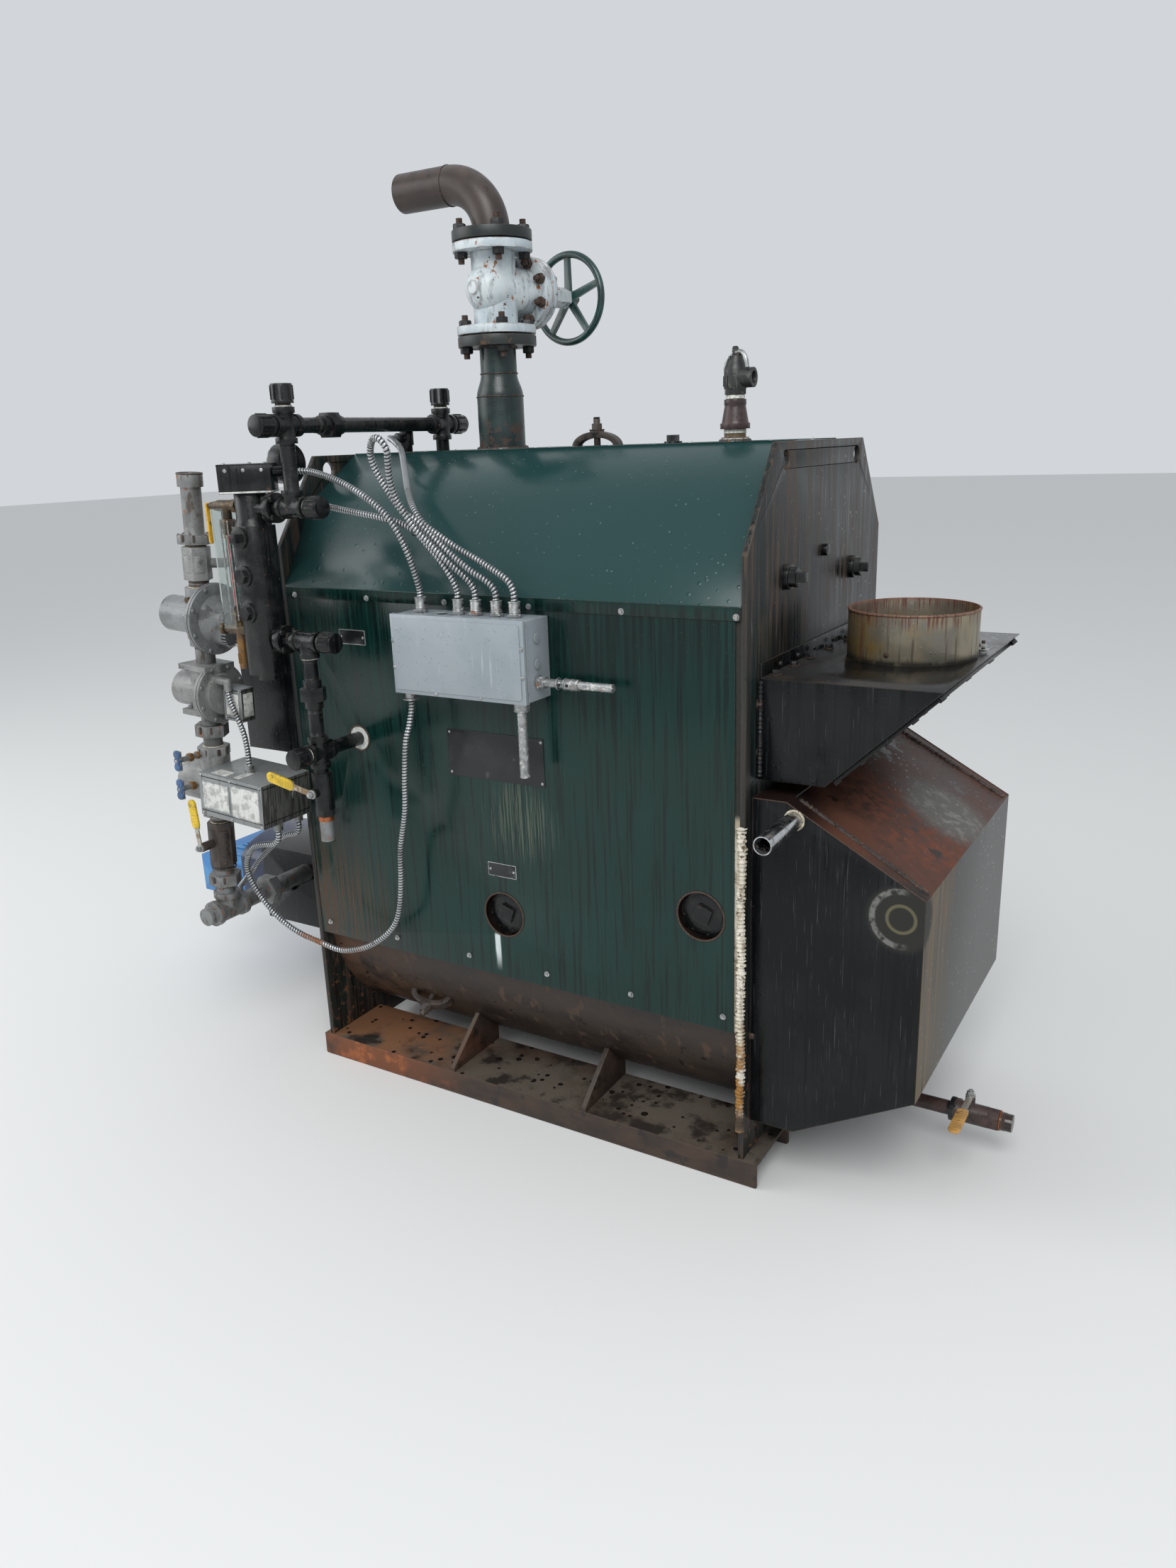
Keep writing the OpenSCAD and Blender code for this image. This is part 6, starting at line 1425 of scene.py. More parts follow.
def fitting_threads():
    """Threads where pipes enter the fittings, tape, flange bolts, plugs and the drain's stub."""
    shape = Shape()
    for place, axis, starts in ((RISER, Z, (1.528, 1.614, 1.141, 1.098, 1.022, 0.968)),
                                (np.array((-0.408, 0.0, 1.661)), -Y, (0.041, 0.372, 0.452))):
        for start in starts:
            threads(shape, place, axis, 0.0173, start, start + 0.008, 0)
    for flange_x, height in ((-0.467, 1.487), (-0.479, 1.189)):
        for place in around(np.array((flange_x, -0.550, height)), Y, Z, 0.0275, 4, 0.785):
            hex_head(shape, place + 0.009 * X, X, 0.011, 0.006, 1)
            hex_head(shape, place - 0.009 * X, -X, 0.011, 0.007, 1)
    for height in (1.338, 1.254):
        centre = COLUMN + np.array((0, -0.050, height))
        hex_head(shape, centre, -Y, 0.030, 0.011, 0)
    round_bead(shape, RISER + 1.149 * Z, Z, 0.0178, 0.0012, 41, 2)
    round_bead(shape, RISER + 0.890 * Z, Z, 0.0178, 0.0014, 42, 2)
    shape.turned([(0.0172, 0), (0.0184, 0.002), (0.0184, 0.011), (0.0172, 0.013)],
                 RISER + 0.770 * Z, -Z, 28, 3)
    shape.turned([(0.0170, 0), (0.0171, 0.001), (0.0171, 0.050), (0.0150, 0.0515)],
                 RISER + 0.757 * Z, -Z, 28, 4)
    shape.make("fitting_threads", "iron black_stud tape copper galvanised")


HEAD_BOX_TURN = math.radians(36)


def head_box_trim():
    """A lip under the head box and the screws of its cover."""
    shape = Shape()
    across = np.array((math.cos(HEAD_BOX_TURN), math.sin(HEAD_BOX_TURN), 0))
    deep = np.array((-math.sin(HEAD_BOX_TURN), math.cos(HEAD_BOX_TURN), 0))
    centre = COLUMN + 1.5203 * Z
    shape.slab(centre + 0.0005 * Z, (across, deep, Z), (0.119, 0.095, 0.004), 0.006, 0.001, 5, 1)
    shape.slab(centre + 0.0605 * Z, (across, deep, Z), (0.1185, 0.0945, 0.0032), 0.006, 0.001,
               5, 0)
    for a, b in ((-0.045, -0.030), (0.045, -0.030), (0.0, 0.032)):
        screw_head(shape, centre + a * across + b * deep + 0.0637 * Z, Z, 0.0045, 0.003, 2)
    for a in (-0.040, 0.0, 0.040):
        place = centre + a * across - 0.0463 * deep + 0.050 * Z
        screw_head(shape, place, -deep, 0.0045, 0.003, 2)
    shape.make("head_box_trim", "iron label zinc")


GLASS = np.array((-0.623, -0.550, 0.0))


def gauge_glass_trim():
    """Packing nuts, the red line, four guard rods, the cocks' handles and the drain's knurl."""
    shape = Shape()
    for height, axis in ((1.237, Z), (1.450, -Z)):
        hex_head(shape, GLASS + height * Z - 0.012 * axis, axis, 0.030, 0.022, 0)
        shape.turned([(0.0125, 0), (0.0135, 0.003), (0.0135, 0.012), (0.0095, 0.015)],
                     GLASS + height * Z + 0.009 * axis, axis, 24, 0)
    for turn in (0.8, 2.4, 3.9, 5.5):
        rod = GLASS + 0.0165 * np.array((math.cos(turn), math.sin(turn), 0))
        shape.tube(np.stack([rod + 1.228 * Z, rod + 1.34 * Z, rod + 1.459 * Z]), 0.0021, 10, 2)
    line = GLASS + np.array((0.004, -0.0084, 1.3435))
    shape.slab(line, (X, Z, -Y), (0.0034, 0.196, 0.0008), 0.0008, 0.0002, 3, 1)
    for height in (1.492, 1.205):
        at = GLASS + height * Z
        hex_head(shape, at + 0.041 * X, -X, 0.029, 0.014, 0)
        hex_head(shape, at - 0.023 * X, -X, 0.021, 0.012, 0)
        shape.turned([(0.0085, 0), (0.0085, 0.012), (0.0065, 0.016)], at - 0.034 * X, -X, 20, 0)
    handle = np.array((-0.684, -0.550, 1.452))
    shape.slab(handle - 0.0018 * X, (Y, Z, X), (0.0150, 0.094, 0.0066), 0.005, 0.0018, 6, 3)
    low_handle = np.array((-0.684, -0.550, 1.205))
    shape.turned([(0.011, 0), (0.0135, 0.002), (0.0135, 0.008), (0.011, 0.010)], low_handle,
                 X, 12, 0)
    knurl = GLASS + 1.112 * Z
    for place in around(knurl + 0.012 * Z, X, Y, 0.0122, 18):
        outward = unit((place - knurl) * (1, 1, 0))
        shape.slab(place + 0.012 * Z, rib_axes(Z, outward),
                   (0.0018, 0.024, 0.0012), 0.0006, 0.0003, 3, 0)
    shape.make("gauge_glass_trim", "brass red zinc yellow_handle")


GAUGE = np.array((-0.536, -0.430, 1.580))


def gauge_dial():
    """Bezel, dial with its ticks, needle, the case's rear rim and the loop of the siphon."""
    shape = Shape()
    face = GAUGE - 0.0172 * X
    shape.turned([(0.0405, 0), (0.0405, 0.0006)], face, -X, 48, 1)
    shape.ring(face - 0.001 * X, X, 0.0425, 0.0030, 56, 10, 0)
    for k, turn in enumerate(np.linspace(-0.75 * np.pi, 0.75 * np.pi, 31)):
        outward = math.sin(turn) * Y + math.cos(turn) * Z
        size = (0.0010, 0.0065 if k % 5 == 0 else 0.0035, 0.0003)
        shape.slab(face + 0.0345 * outward - 0.0006 * X, (np.cross(-X, outward), outward, -X),
                   size, 0.0003, 0.0001, 2, 2)
    needle = math.sin(-2.2) * Y + math.cos(-2.2) * Z
    shape.slab(face + 0.012 * needle - 0.0012 * X, (np.cross(-X, needle), needle, -X),
               (0.0016, 0.038, 0.0006), 0.0005, 0.0002, 2, 2)
    shape.turned([(0.0034, 0), (0.0034, 0.002)], face - 0.0008 * X, -X, 16, 2)
    shape.ring(GAUGE + 0.0165 * X, X, 0.0432, 0.0018, 48, 8, 3)
    hex_head(shape, GAUGE - 0.047 * Z, -Z, 0.016, 0.014, 4)
    shape.ring(GAUGE - 0.085 * Z, Y, 0.014, 0.0045, 28, 10, 4)
    shape.make("gauge_dial", "zinc face ink plastic brass")


# Levers: a dipped grip over each strip and the nut that holds it on its stem

STRIP_T = 0.003
LEVER_W = 0.022


def lever_grip(name, body, place, out, way, boss, length, finish):
    """A ribbed sleeve over the strip's outer part, with the nut that holds it on its stem."""
    shape = Shape()
    middle = place + (boss + 0.0003 - 0.0022) * out + 0.70 * length * way
    across = np.cross(out, way)
    shape.slab(middle, (across, way, out), (LEVER_W + 0.004, 0.60 * length, STRIP_T + 0.0044),
               0.0125, 0.0022, 8, 0)
    for t in np.linspace(0.46, 0.92, 9):
        shape.slab(place + (boss + 0.0004 + STRIP_T) * out + t * length * way,
                   (across, way, out), (0.015, 0.0028, 0.0030), 0.0012, 0.0007, 4, 0)
    nut = place + (boss + 0.0003 + STRIP_T) * out
    shape.turned([(0.0105, 0), (0.0105, 0.0014), (0.0095, 0.0018)], nut, out, 20, 1)
    hex_head(shape, nut + 0.0016 * out, out, 0.0155, 0.0075, 1)
    shape.turned([(0.0046, 0), (0.0046, 0.0035)], nut + 0.009 * out, out, 12, 1)
    shape.make(name, finish + " zinc", body=body)


def lever_grips():
    """The four grips, each along its lever: cosine and sine of the lever's turn."""
    turn = math.radians(168.5)
    lever_grip("drain_grip", "column_drain_lever", RISER + 0.832 * Z, -Y,
               math.cos(turn) * X + math.sin(turn) * Z, 0.036, 0.146, "grip")
    spin = math.radians(140)
    lever_grip("gas_upper_grip", "gas_upper_lever", gas(0, 0, 0.928),
               math.sin(spin) * GAS_X - math.cos(spin) * Y, GAS_UP, 0.070, 0.145,
               "grip")
    turn = math.radians(98.5)
    lever_grip("gas_lower_grip", "gas_lower_lever", gas(0, 0, 0.198), -Y,
               math.cos(turn) * GAS_X + math.sin(turn) * GAS_UP, 0.070, 0.132, "grip")
    lever_grip("blowdown_grip", "blowdown_lever", np.array((1.024, -0.060, 0.105)), Z, -Y,
               0.044, 0.165, "old_grip")


def handwheel_nut():
    """The nut on the stem's end and the tip of the stem."""
    shape = Shape()
    hub = VALVE_MID + 0.304 * BONNET_OUT
    hex_head(shape, hub, BONNET_OUT, 0.030, 0.011, 0)
    shape.turned([(0.0095, 0), (0.0095, 0.007), (0.0075, 0.009)], hub + 0.010 * BONNET_OUT,
                 BONNET_OUT, 16, 0)
    shape.make("handwheel_nut", "rust_nut", body="handwheel")


def bonnet_stem():
    """A raised ring on the bonnet's flange and four ribs along its neck."""
    shape = Shape()
    shape.ring(VALVE_MID + 0.1195 * BONNET_OUT, BONNET_OUT, 0.0835, 0.0014, 56, 8)
    for side in around(np.zeros(3), BONNET_SIDE, Z, 1.0, 4, 0.0):
        across = np.cross(BONNET_OUT, side)
        place = VALVE_MID + 0.156 * BONNET_OUT + 0.041 * side
        shape.slab(place, (across, BONNET_OUT, side), (0.007, 0.032, 0.010), 0.002, 0.001, 4)
    shape.make("bonnet_ribs", "valve")


# Gas train

UNION_RINGS = (0.123, 0.092, 0.072, 0.049)


def gas_fittings_trim():
    """Beads, ribs and threads of the unions and pipes up the leaning gas train."""
    shape = Shape()
    for height in UNION_RINGS:
        round_bead(shape, gas(0, 0, height), GAS_UP, 0.0305, 0.0026, int(1e4 * height), 0)
    for foot in (0.090, 0.505, 0.987):
        ribs = around(gas(0, 0, foot), GAS_X, Y, 0.0395, 8)
        for rib in ribs:
            outward = unit(rib - gas(0, 0, foot))
            shape.slab(rib - 0.003 * outward + 0.004 * GAS_UP,
                       rib_axes(GAS_UP, outward), (0.006, 0.018, 0.004),
                       0.0012, 0.0006, 3, 0)
    for height, axis in ((0.271, GAS_UP), (0.462, -GAS_UP), (0.130, -GAS_UP), (0.253, GAS_UP),
                         (0.549, -GAS_UP), (0.725, -GAS_UP), (0.870, GAS_UP), (0.969, GAS_UP),
                         (0.889, -GAS_UP)):
        round_bead(shape, gas(0, 0, height), GAS_UP, 0.0247, 0.0018, int(2e4 * height), 1)
        threads(shape, gas(0, 0, height), axis, 0.0250, 0.001, 0.008, 0)
    shape.ring(gas(0, 0, 1.1415), GAS_UP, 0.0290, 0.0026, 40, 8, 0)
    for height in (0.283, 0.450):
        for turn in np.arange(8) * np.pi / 4 + 0.39:
            outward = math.cos(turn) * GAS_X + math.sin(turn) * Y
            shape.slab(gas(0, 0, height) + 0.0365 * outward,
                       rib_axes(GAS_UP, outward), (0.009, 0.016, 0.0022),
                       0.001, 0.0006, 3, 0)
    shape.make("gas_fittings_trim", "brown_iron dope")


def rim_bolts():
    """Bolts every eighth of a turn on the rims of the regulator and the diaphragm valve."""
    shape = Shape()
    for centre, rim, start, stop in ((0.796, 0.088, 0.040, 0.056), (0.606, 0.076, 0.032, 0.048)):
        middle = gas(0, 0, centre)
        for place in around(middle, Y, GAS_UP, rim - 0.008, 8, np.pi / 8):
            screw_head(shape, place + (start + 0.0002) * GAS_X, -GAS_X, 0.0062, 0.0045, 0)
            screw_head(shape, place + (stop - 0.0002) * GAS_X, GAS_X, 0.0058, 0.0040, 0)
        shape.ring(middle + 0.5 * (start + stop) * GAS_X, GAS_X, rim - 0.0003, 0.0011, 56, 6, 1)
    for a, b in ((-1, -1), (-1, 1), (1, -1), (1, 1)):
        for height, way in ((0.549, -1), (0.680, 1)):
            place = gas(0.034 * a, 0.034 * b, height - 0.0145 * way)
            hex_head(shape, place, -way * GAS_UP, 0.0105, 0.006, 0)
    shape.make("rim_bolts", "regulator plastic")


def regulator_trim():
    """Spring cap's grip ribs, vent cap's knurl, test plugs and bare plate of the regulator."""
    shape = Shape()
    middle = gas(0, 0, 0.796)
    for place in around(middle + 0.088 * GAS_X, Y, GAS_UP, 0.0222, 16):
        outward = unit(place - middle - 0.088 * GAS_X)
        shape.slab(place + 0.006 * GAS_X, rib_axes(GAS_X, outward),
                   (0.0030, 0.012, 0.0018), 0.0008, 0.0004, 3, 1)
    vent = gas(0.088, 0, 0.758)
    for place in around(vent, Y, GAS_UP, 0.0248, 20):
        outward = unit(place - vent)
        shape.slab(place + 0.010 * GAS_X, rib_axes(GAS_X, outward),
                   (0.0030, 0.018, 0.0016), 0.0008, 0.0004, 3, 1)
    for height in (0.752, 0.842):
        hex_head(shape, gas(0, -0.034, height), -Y, 0.014, 0.010, 2)
    shape.slab(gas(0.0, -0.0352, 0.796), (GAS_X, GAS_UP, -Y), (0.034, 0.046, 0.0022), 0.003,
               0.0006, 4, 3)
    shape.make("regulator_trim", "regulator box brass border")


def test_cock_wings():
    """Blue handles of the two test cocks: a dished wing each way from a round boss."""
    shape = Shape()
    for height in (0.367, 0.443):
        tip = gas(-0.014, -0.1005, height)
        shape.turned([(0.0105, 0), (0.0105, 0.006), (0.0085, 0.009), (0.003, 0.0095)], tip, -Y,
                     20, 0)
        for k in (-1, 1):
            wing = tip + 0.0165 * k * GAS_UP - 0.0015 * Y
            shape.slab(wing, (GAS_X, GAS_UP, -Y), (0.0215, 0.021, 0.0075), 0.009, 0.0022, 8, 0)
        screw_head(shape, tip - 0.009 * Y, -Y, 0.0042, 0.0028, 1)
        hex_head(shape, gas(-0.014, -0.060, height), -Y, 0.020, 0.013, 2)
        hex_head(shape, gas(-0.014, -0.040, height), -Y, 0.018, 0.008, 2)
    shape.make("test_cock_wings", "wing zinc brass")


def actuator_trim():
    """Seams round the actuator, two bare labels, lip screws, a knockout and gland teeth."""
    shape = Shape()
    centre = gas(0.1495, -0.008, 0.308)
    for rise, grow in ((0.012, 0.0008), (0.102, 0.0008)):
        shape.slab(centre + rise * GAS_UP, (GAS_X, Y, GAS_UP),
                   (0.219 + 2 * grow, 0.164 + 2 * grow, 0.0026), 0.006, 0.0008, 5, 0)
    face = -0.0902
    for across, width, tall, paint in ((0.098, 0.094, 0.074, 2), (0.201, 0.098, 0.084, 2),
                                       (0.098, 0.088, 0.068, 1), (0.201, 0.092, 0.078, 1)):
        shape.slab(gas(across, face, 0.364), (GAS_X, GAS_UP, -Y),
                   (width, tall, 0.0010 if paint == 2 else 0.0014), 0.003, 0.0003, 4, paint)
    for across in (0.048, 0.1505, 0.252):
        for height in (0.314, 0.414):
            screw_head(shape, gas(across, face, height), -Y, 0.0036, 0.0026, 3)
    shape.slab(gas(0.160, -0.050, 0.4202), (GAS_X, Y, GAS_UP), (0.020, 0.052, 0.0012), 0.002,
               0.0003, 3, 1)
    shape.slab(gas(0.100, -0.062, 0.4202), (GAS_X, Y, GAS_UP), (0.052, 0.034, 0.0010), 0.002,
               0.0003, 3, 1)
    side = gas(0.2592, 0.020, 0.372)
    shape.turned([(0.0105, 0), (0.0105, 0.0015), (0.0085, 0.002)], side, GAS_X, 24, 4)
    for across, along, height, way in ((0.148, -0.020, 0.420, 1), (0.245, -0.030, 0.308, -1),
                                       (0.235, 0.050, 0.308, -1)):
        for turn in np.arange(12) * np.pi / 6:
            outward = math.cos(turn) * GAS_X + math.sin(turn) * Y
            shape.slab(gas(across, along, height + 0.004 * way) + 0.0110 * outward,
                       (np.cross(GAS_UP, outward), way * GAS_UP, outward),
                       (0.0026, 0.008, 0.0022), 0.0007, 0.0004, 3, 4)
    shape.make("actuator_trim", "plastic label border zinc box")


def valve_box_trim():
    """Lid seams, two bare labels and the screws of the small valve box."""
    shape = Shape()
    for height in (0.548, 0.621):
        shape.slab(gas(0.0928, 0.013, height), (GAS_X, Y, GAS_UP), (0.0666, 0.0434, 0.0022),
                   0.003, 0.0006, 4, 0)
    shape.slab(gas(0.0928, -0.0082, 0.585), (GAS_X, GAS_UP, -Y), (0.044, 0.056, 0.0012), 0.002,
               0.0004, 4, 1)
    for a in (-0.026, 0.026):
        for height in (0.549, 0.621):
            screw_head(shape, gas(0.0928 + a, -0.0082, height), -Y, 0.0034, 0.0024, 2)
    shape.slab(gas(0.1254, 0.013, 0.585), (Y, GAS_UP, GAS_X), (0.030, 0.060, 0.0012), 0.002,
               0.0004, 4, 1)
    shape.make("valve_box_trim", "plastic label zinc")


# Control box and its conduit fittings

BOX = np.array((-0.0165, -0.510, 1.168))


KNOCKOUT = [(0.0110, 0), (0.0110, 0.0010), (0.0090, 0.0014)]


def control_box_trim():
    """The cover's raised plate, its screws, and the round knockouts of the top and the side."""
    shape = Shape()
    shape.slab(BOX - 0.0001 * Y, (X, Z, -Y), (0.3360, 0.1590, 0.0024), 0.006, 0.0008, 5, 0)
    for a in (-0.172, 0.172):
        for b in (-0.030, 0.030):
            screw_head(shape, BOX + a * X + b * Z, -Y, 0.0048, 0.0030, 1)
    for a in (-0.06, 0.06):
        screw_head(shape, BOX + a * X - 0.083 * Z, -Y, 0.0042, 0.0028, 1)
    shape.turned(KNOCKOUT, np.array((-0.084, -0.460, 1.257)), Z, 24, 0)
    side = np.array((0.161, -0.460, 0))
    for height in (1.160, 1.215):
        shape.turned(KNOCKOUT, side + height * Z, X, 24, 0)
    shape.make("control_box_trim", "control zinc")


def conduit_fitting_trim():
    """Toothed locknuts, squeeze screws and collars of the conduit connectors."""
    shape = Shape()
    for k, x in enumerate((-0.143, -0.039, 0.008, 0.062, 0.109)):
        foot = np.array((x, -0.460, 1.2575))
        shape.turned([(0.0148, 0), (0.0158, 0.0008), (0.0158, 0.0035), (0.0140, 0.0042)], foot,
                     Z, 8, 0, 0.4 * k)
        shape.ring(foot + 0.0300 * Z, Z, 0.0118, 0.0016, 28, 8, 0)
        shape.ring(foot + 0.0090 * Z, Z, 0.0120, 0.0012, 28, 8, 0)
        for way in (-1, 1):
            place = foot + 0.020 * Z + 0.0118 * X * way
            screw_head(shape, place, way * X, 0.0036, 0.0040, 1)
    joint = np.array((0.229, -0.460, 1.121))
    for a in (-0.017, 0.0, 0.017):
        shape.ring(joint + a * X, X, 0.0122, 0.0013, 28, 8, 0)
    for a in (-0.010, 0.010):
        screw_head(shape, joint + a * X - 0.0118 * Y, -Y, 0.0036, 0.0042, 1)
    shape.turned([(0.0150, 0), (0.0158, 0.001), (0.0158, 0.004), (0.0140, 0.005)],
                 np.array((0.1612, -0.460, 1.121)), X, 8, 0)
    for x, y in ((0.125, -0.475), (-0.179, -0.475)):
        foot = np.array((x, y, 1.079))
        shape.turned([(0.0180, 0), (0.0185, 0.001), (0.0185, 0.0045), (0.0165, 0.0055)], foot,
                     -Z, 8, 0)
        shape.ring(foot - 0.020 * Z, Z, 0.0168, 0.0015, 28, 8, 0)
    shape.make("conduit_fitting_trim", "zinc black_stud")


# Roof fittings

SAFETY = np.array((0.409, 0.0, 0.0))


def safety_valve_trim():
    """Ribbed body, test lever with its pin, top knob, seal wire, and tape on the threads."""
    shape = Shape()
    for place in around(SAFETY + 1.722 * Z, X, Y, 0.0246, 8, 0.39):
        outward = unit((place - SAFETY) * (1, 1, 0))
        if outward[0] < 0.8:
            shape.slab(place, rib_axes(Z, outward), (0.0040, 0.022, 0.0022),
                       0.0012, 0.0005, 3, 0)
    lever = SAFETY + np.array(((0.006, -0.004, 1.782), (0.020, -0.010, 1.780),
                               (0.030, -0.014, 1.768), (0.035, -0.016, 1.748)))
    shape.tube(smooth_path(lever, 0.003)[0], 0.0048, 12, 1)
    for way in (-1, 1):
        shape.slab(SAFETY + np.array((0.004, way * 0.0075, 1.777)), (X, Z, Y * way),
                   (0.016, 0.022, 0.0025), 0.004, 0.0006, 4, 0)
    shape.turned([(0.0025, 0), (0.0025, 0.022)], SAFETY + np.array((0.006, -0.011, 1.781)), Y,
                 10, 1)
    shape.turned([(0.0062, 0), (0.0070, 0.002), (0.0070, 0.009), (0.0045, 0.012)],
                 SAFETY + 1.782 * Z, Z, 20, 0)
    for low_z, high_z, radius in ((1.6845, 1.6935, 0.0212), (1.6120, 1.6215, 0.0252),
                                  (1.5955, 1.6030, 0.0318)):
        shape.turned([(radius - 0.002, low_z), (radius, low_z + 0.001),
                      (radius - 0.0006, 0.5 * (low_z + high_z)), (radius, high_z - 0.001),
                      (radius - 0.002, high_z)], SAFETY, Z, 32, 2)
    wire = SAFETY + np.array(((0.0, -0.015, 1.780), (-0.014, -0.020, 1.762),
                              (-0.020, -0.020, 1.746)))
    shape.tube(smooth_path(wire, 0.003)[0], 0.0009, 6, 1)
    shape.make("safety_valve_trim", "bronze border tape")


def roof_edges():
    """A folded lip along both edges of the flat of the roof and at its eave."""
    shape = Shape()
    for side in (-1, 1):
        for y, z in ((0.119, 1.5944), (0.4125, 1.2905)):
            line = straight(((-0.600, side * y, z), (0.600, side * y, z)), 0.02)
            shape.tube(line, 0.0016, 8)
    shape.make("roof_edges", "jacket")


def plate_bolts():
    """Thread and washer of the top handhole, nuts down the right plate, rings on its bosses."""
    shape = Shape()
    handhole = np.array((0.054, 0.0, 1.630))
    rise = 0.0165
    threads(shape, handhole, Z, 0.0080, rise, rise + 0.014, 0)
    shape.turned([(0.0175, 0), (0.0185, 0.0008), (0.0185, 0.0024), (0.0165, 0.003)],
                 handhole, Z, 24, 1)
    for y, z in ((-0.350, 1.090), (-0.347, 0.990), (-0.370, 0.665), (-0.366, 0.506),
                 (-0.374, 0.357)):
        hex_head(shape, np.array((PLATE_FACE, y, z)), X, 0.0165, 0.0095, 1, 2.0 * z)
        shape.turned([(0.0115, 0), (0.0115, 0.0012)], np.array((PLATE_FACE, y, z)), X, 20, 1)
    for y, z in ((-0.211, 1.327), (0.203, 1.304)):
        shape.ring(np.array((PLATE_FACE + 0.001, y, z)), X, 0.0215, 0.0035, 36, 8, 1)
    shape.make("plate_bolts", "black_stud rust_nut")


# Flue, rear box, sight tube, burner and blowdown

COLLAR = np.array((0.824, 0.0, 0.0))
SLOPE_OUT = unit(np.array((0.211, 0.0, -0.223)))
COLLAR_SEAM = math.radians(-72.7)
COLLAR_SCREW = math.radians(-96.7)


def flue_collar_trim():
    """Rolled rim, lap seam and screw of the collar, and the stud with nuts that stands by it."""
    shape = Shape()
    shape.ring(COLLAR + 1.2445 * Z, Z, 0.1362, 0.0026, 72, 8, 0)
    out = math.cos(COLLAR_SEAM) * X + math.sin(COLLAR_SEAM) * Y
    shape.slab(COLLAR + 0.1364 * out + 1.195 * Z, rib_axes(Z, out),
               (0.0030, 0.092, 0.0008), 0.001, 0.0003, 3, 0)
    out = math.cos(COLLAR_SCREW) * X + math.sin(COLLAR_SCREW) * Y
    screw_head(shape, COLLAR + 0.1364 * out + 1.164 * Z, out, 0.0055, 0.0040, 1)
    top = high("flue_cover")[2] - 0.0005
    stand = COLLAR + np.array((0.131, 0.081, top))
    shape.turned([(0.0040, 0), (0.0040, 0.040)], stand, Z, 12, 1)
    shape.slab(stand + 0.020 * Z, (X, Y, Z), (0.026, 0.022, 0.0026), 0.003, 0.0005, 4, 2)
    for height in (0.0, 0.010, 0.026):
        hex_head(shape, stand + height * Z, Z, 0.0155, 0.0080, 2, 3 * height)
    shape.make("flue_collar_trim", "collar rust_nut border")


def flue_box_bolts():
    """Nuts at the plate, round the sloping cover and on the front smoke box, and a corner bead."""
    shape = Shape()
    for y in (-0.30, -0.20, -0.10, 0.02, 0.15, 0.28):
        hex_head(shape, np.array((0.632, y, 1.142)), Z, 0.016, 0.009, 0, 3 * y)
        shape.turned([(0.0125, 0), (0.0125, 0.002)], np.array((0.632, y, 1.1415)), Z, 18, 1)
        screw_head(shape, np.array((0.6285, y + 0.03, 1.158)), X, 0.006, 0.006, 0)
    rope = np.array(((0.6215, -0.3535, 0.938), (0.6215, -0.3535, 1.138)))
    bead(shape, rope, 0.0052, 71, 0, 0.003)
    for share in (0.06, 0.28, 0.5, 0.72, 0.94):
        place = np.array((0.758 + 0.223 * share, 0.0, 0.931 + 0.211 * share))
        for y in (-0.325, 0.325):
            hex_head(shape, place + y * Y, SLOPE_OUT, 0.0145, 0.011, 0, 9 * share)
    for z in (0.875, 0.96, 1.05, 1.115):
        for y in (-0.335, 0.335):
            hex_head(shape, np.array((-0.867, y, z)), -X, 0.014, 0.008, 0, 5 * z)
    for y in (-0.2, -0.07, 0.07, 0.2):
        for z in (0.855, 1.127):
            hex_head(shape, np.array((-0.867, y, z)), -X, 0.014, 0.008, 0, 5 * y)
    shape.make("flue_box_bolts", "black_stud rust_nut")


def rear_box_welds():
    """Weld down the sloping top, the dark seam at its crease and the bare edge of the side."""
    shape = Shape()
    for side in (-1, 1):
        line = np.array(((0.700, side * 0.333, 0.8950), (0.974, side * 0.345, 0.7400)))
        bead(shape, line, 0.0048, 80 + side, 0)
        edge = np.array(((0.622, side * 0.379, 0.9000), (0.690, side * 0.379, 0.9000),
                         (0.978, side * 0.379, 0.7370)))
        for a, b in ((0, 1), (1, 2)):
            shape.tube(straight(edge[[a, b]], 0.02), 0.0013, 8, 1)
    crease = ((0.6925, -0.333, 0.8990), (0.6925, 0.333, 0.8990))
    shape.tube(straight(crease, 0.01), 0.0016, 8, 2)
    shape.make("rear_box_welds", "bead rust_nut plastic")


def sight_tube_trim():
    """The weld round the root of the sight tube and its turned-in lip."""
    shape = Shape()
    at = np.array((0.708, 0.0, 0.865))
    round_bead(shape, at - 0.381 * Y, Y, 0.0196, 0.0026, 91, 0)
    shape.ring(at - 0.5465 * Y, Y, 0.0181, 0.0009, 40, 8, 1)
    shape.make("sight_tube_trim", "dope stainless")


FIN_COUNT = 28


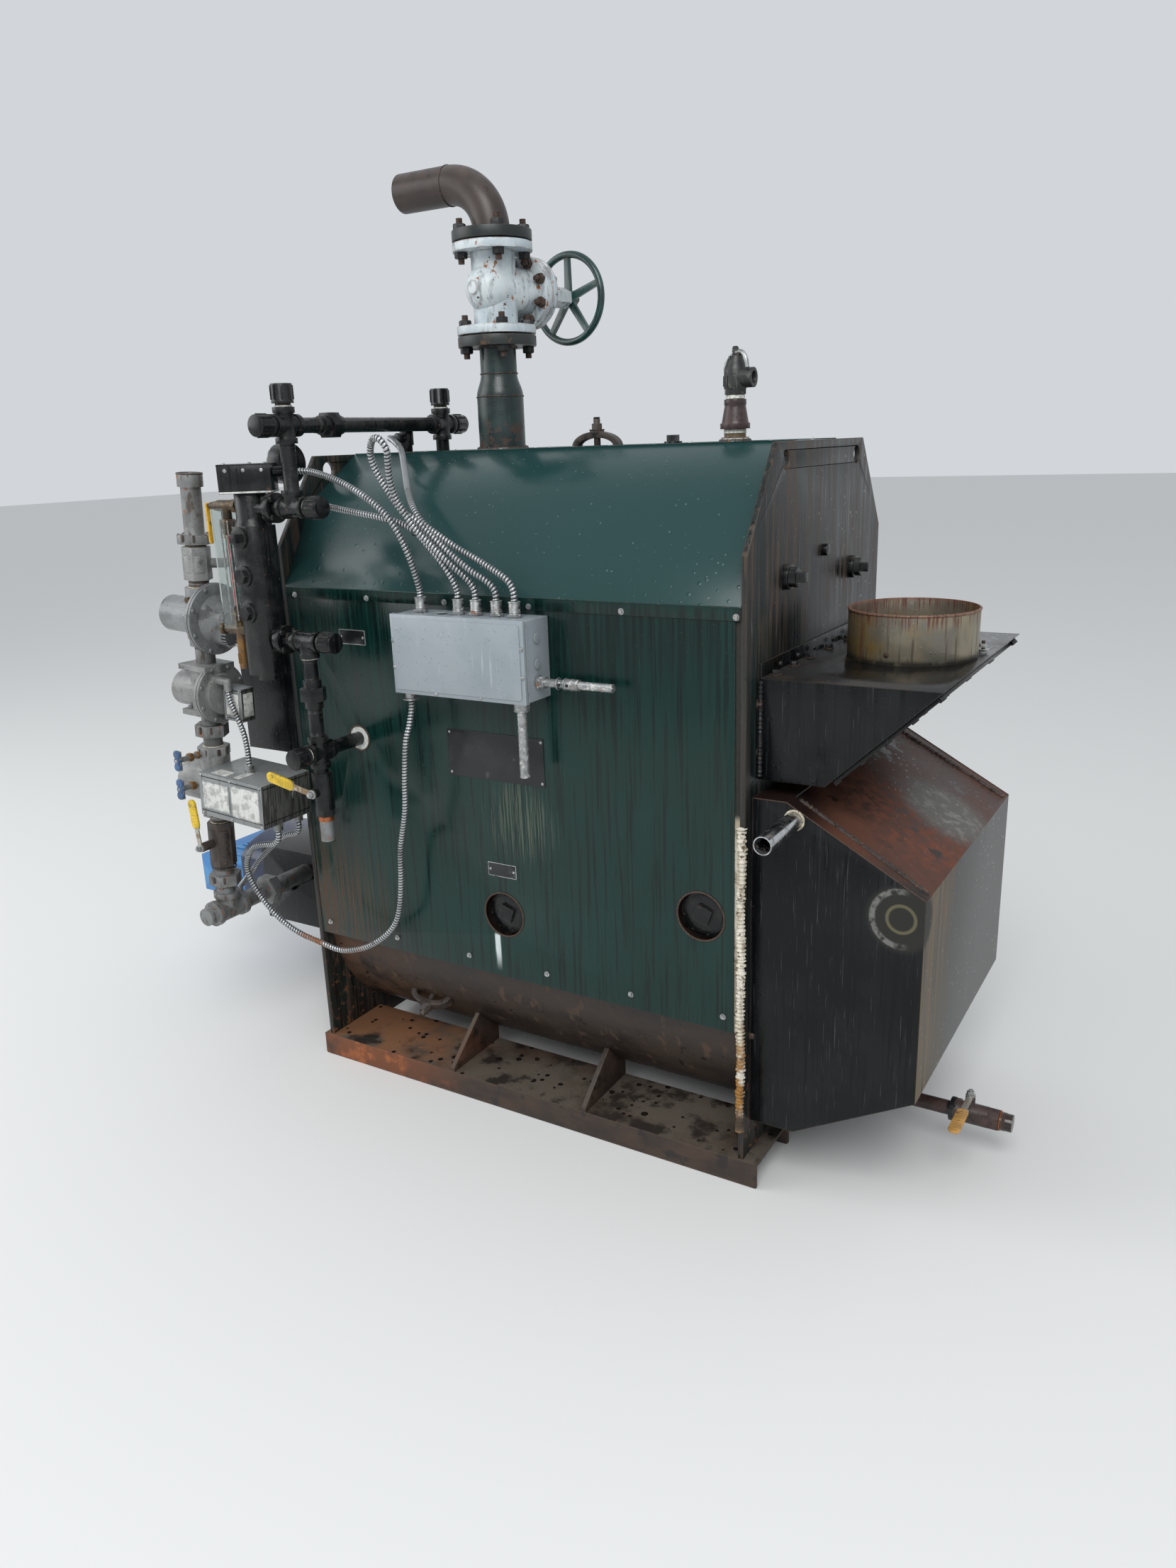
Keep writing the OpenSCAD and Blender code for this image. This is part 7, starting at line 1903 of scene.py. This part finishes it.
def burner_trim():
    """Fins round the motor where a ray meets its rectangle, and bolts of its end and flange."""
    shape = Shape()
    motor = np.array((-1.235, 0.0, 0.3315))
    half_y, half_z = 0.1585, 0.0600
    for angle in np.arange(FIN_COUNT) * 2 * np.pi / FIN_COUNT:
        outward = math.cos(angle) * Y + math.sin(angle) * Z
        reach = min(half_y / max(abs(outward[1]), 1e-6), half_z / max(abs(outward[2]), 1e-6))
        shape.slab(motor + (reach - 0.001) * outward, (X, np.cross(outward, X), outward),
                   (0.116, 0.0030, 0.0058), 0.001, 0.0005, 2, 0)
    for y in (-0.12, -0.04, 0.04, 0.12):
        for z in (0.292, 0.372):
            hex_head(shape, np.array((-1.350, y, z)), -X, 0.012, 0.007, 1, 4 * y)
    for y in (-0.185, 0.185):
        for z in (0.270, 0.365, 0.460):
            hex_head(shape, np.array((-1.039, y, z)), -X, 0.013, 0.008, 1, 4 * z)
    shape.make("burner_trim", "burner zinc")


def blowdown_trim():
    """Copper ring, pipe threads, hexagon collar and the packing nut round the lever's stem."""
    shape = Shape()
    at = np.array((0.0, -0.060, 0.105))
    shape.ring(at + 1.0925 * X, X, 0.0208, 0.0020, 36, 8, 1)
    threads(shape, at, X, 0.0212, 1.096, 1.104, 0)
    hex_head(shape, at + 0.984 * X, X, 0.0505, 0.012, 2, 0.3)
    hex_head(shape, at + 1.024 * X + 0.030 * Z, Z, 0.019, 0.008, 2)
    shape.make("blowdown_trim", "blowdown copper black_stud")


def wire_ties():
    """A dark tie round the conduits where they cross."""
    shape = Shape()
    tie = np.array((-0.109, -0.500, 1.436))
    shape.ring(tie, (1.0, 0.1, -0.5), 0.0112, 0.0013, 28, 6)
    shape.make("wire_ties", "plastic")


DETAILS = (steam_line_fasteners, steam_line_welds, jacket_screws, bare_plates, washout_lips,
           slot_filler, cap_ribs, fitting_threads, head_box_trim, gauge_glass_trim, gauge_dial,
           lever_grips, handwheel_nut, bonnet_stem, gas_fittings_trim, rim_bolts,
           regulator_trim, test_cock_wings, actuator_trim, valve_box_trim, control_box_trim,
           conduit_fitting_trim, safety_valve_trim, roof_edges, plate_bolts, flue_collar_trim,
           flue_box_bolts, rear_box_welds, sight_tube_trim, burner_trim, blowdown_trim, wire_ties)

for build_detail in DETAILS:
    build_detail()

make_camera()
make_stage()
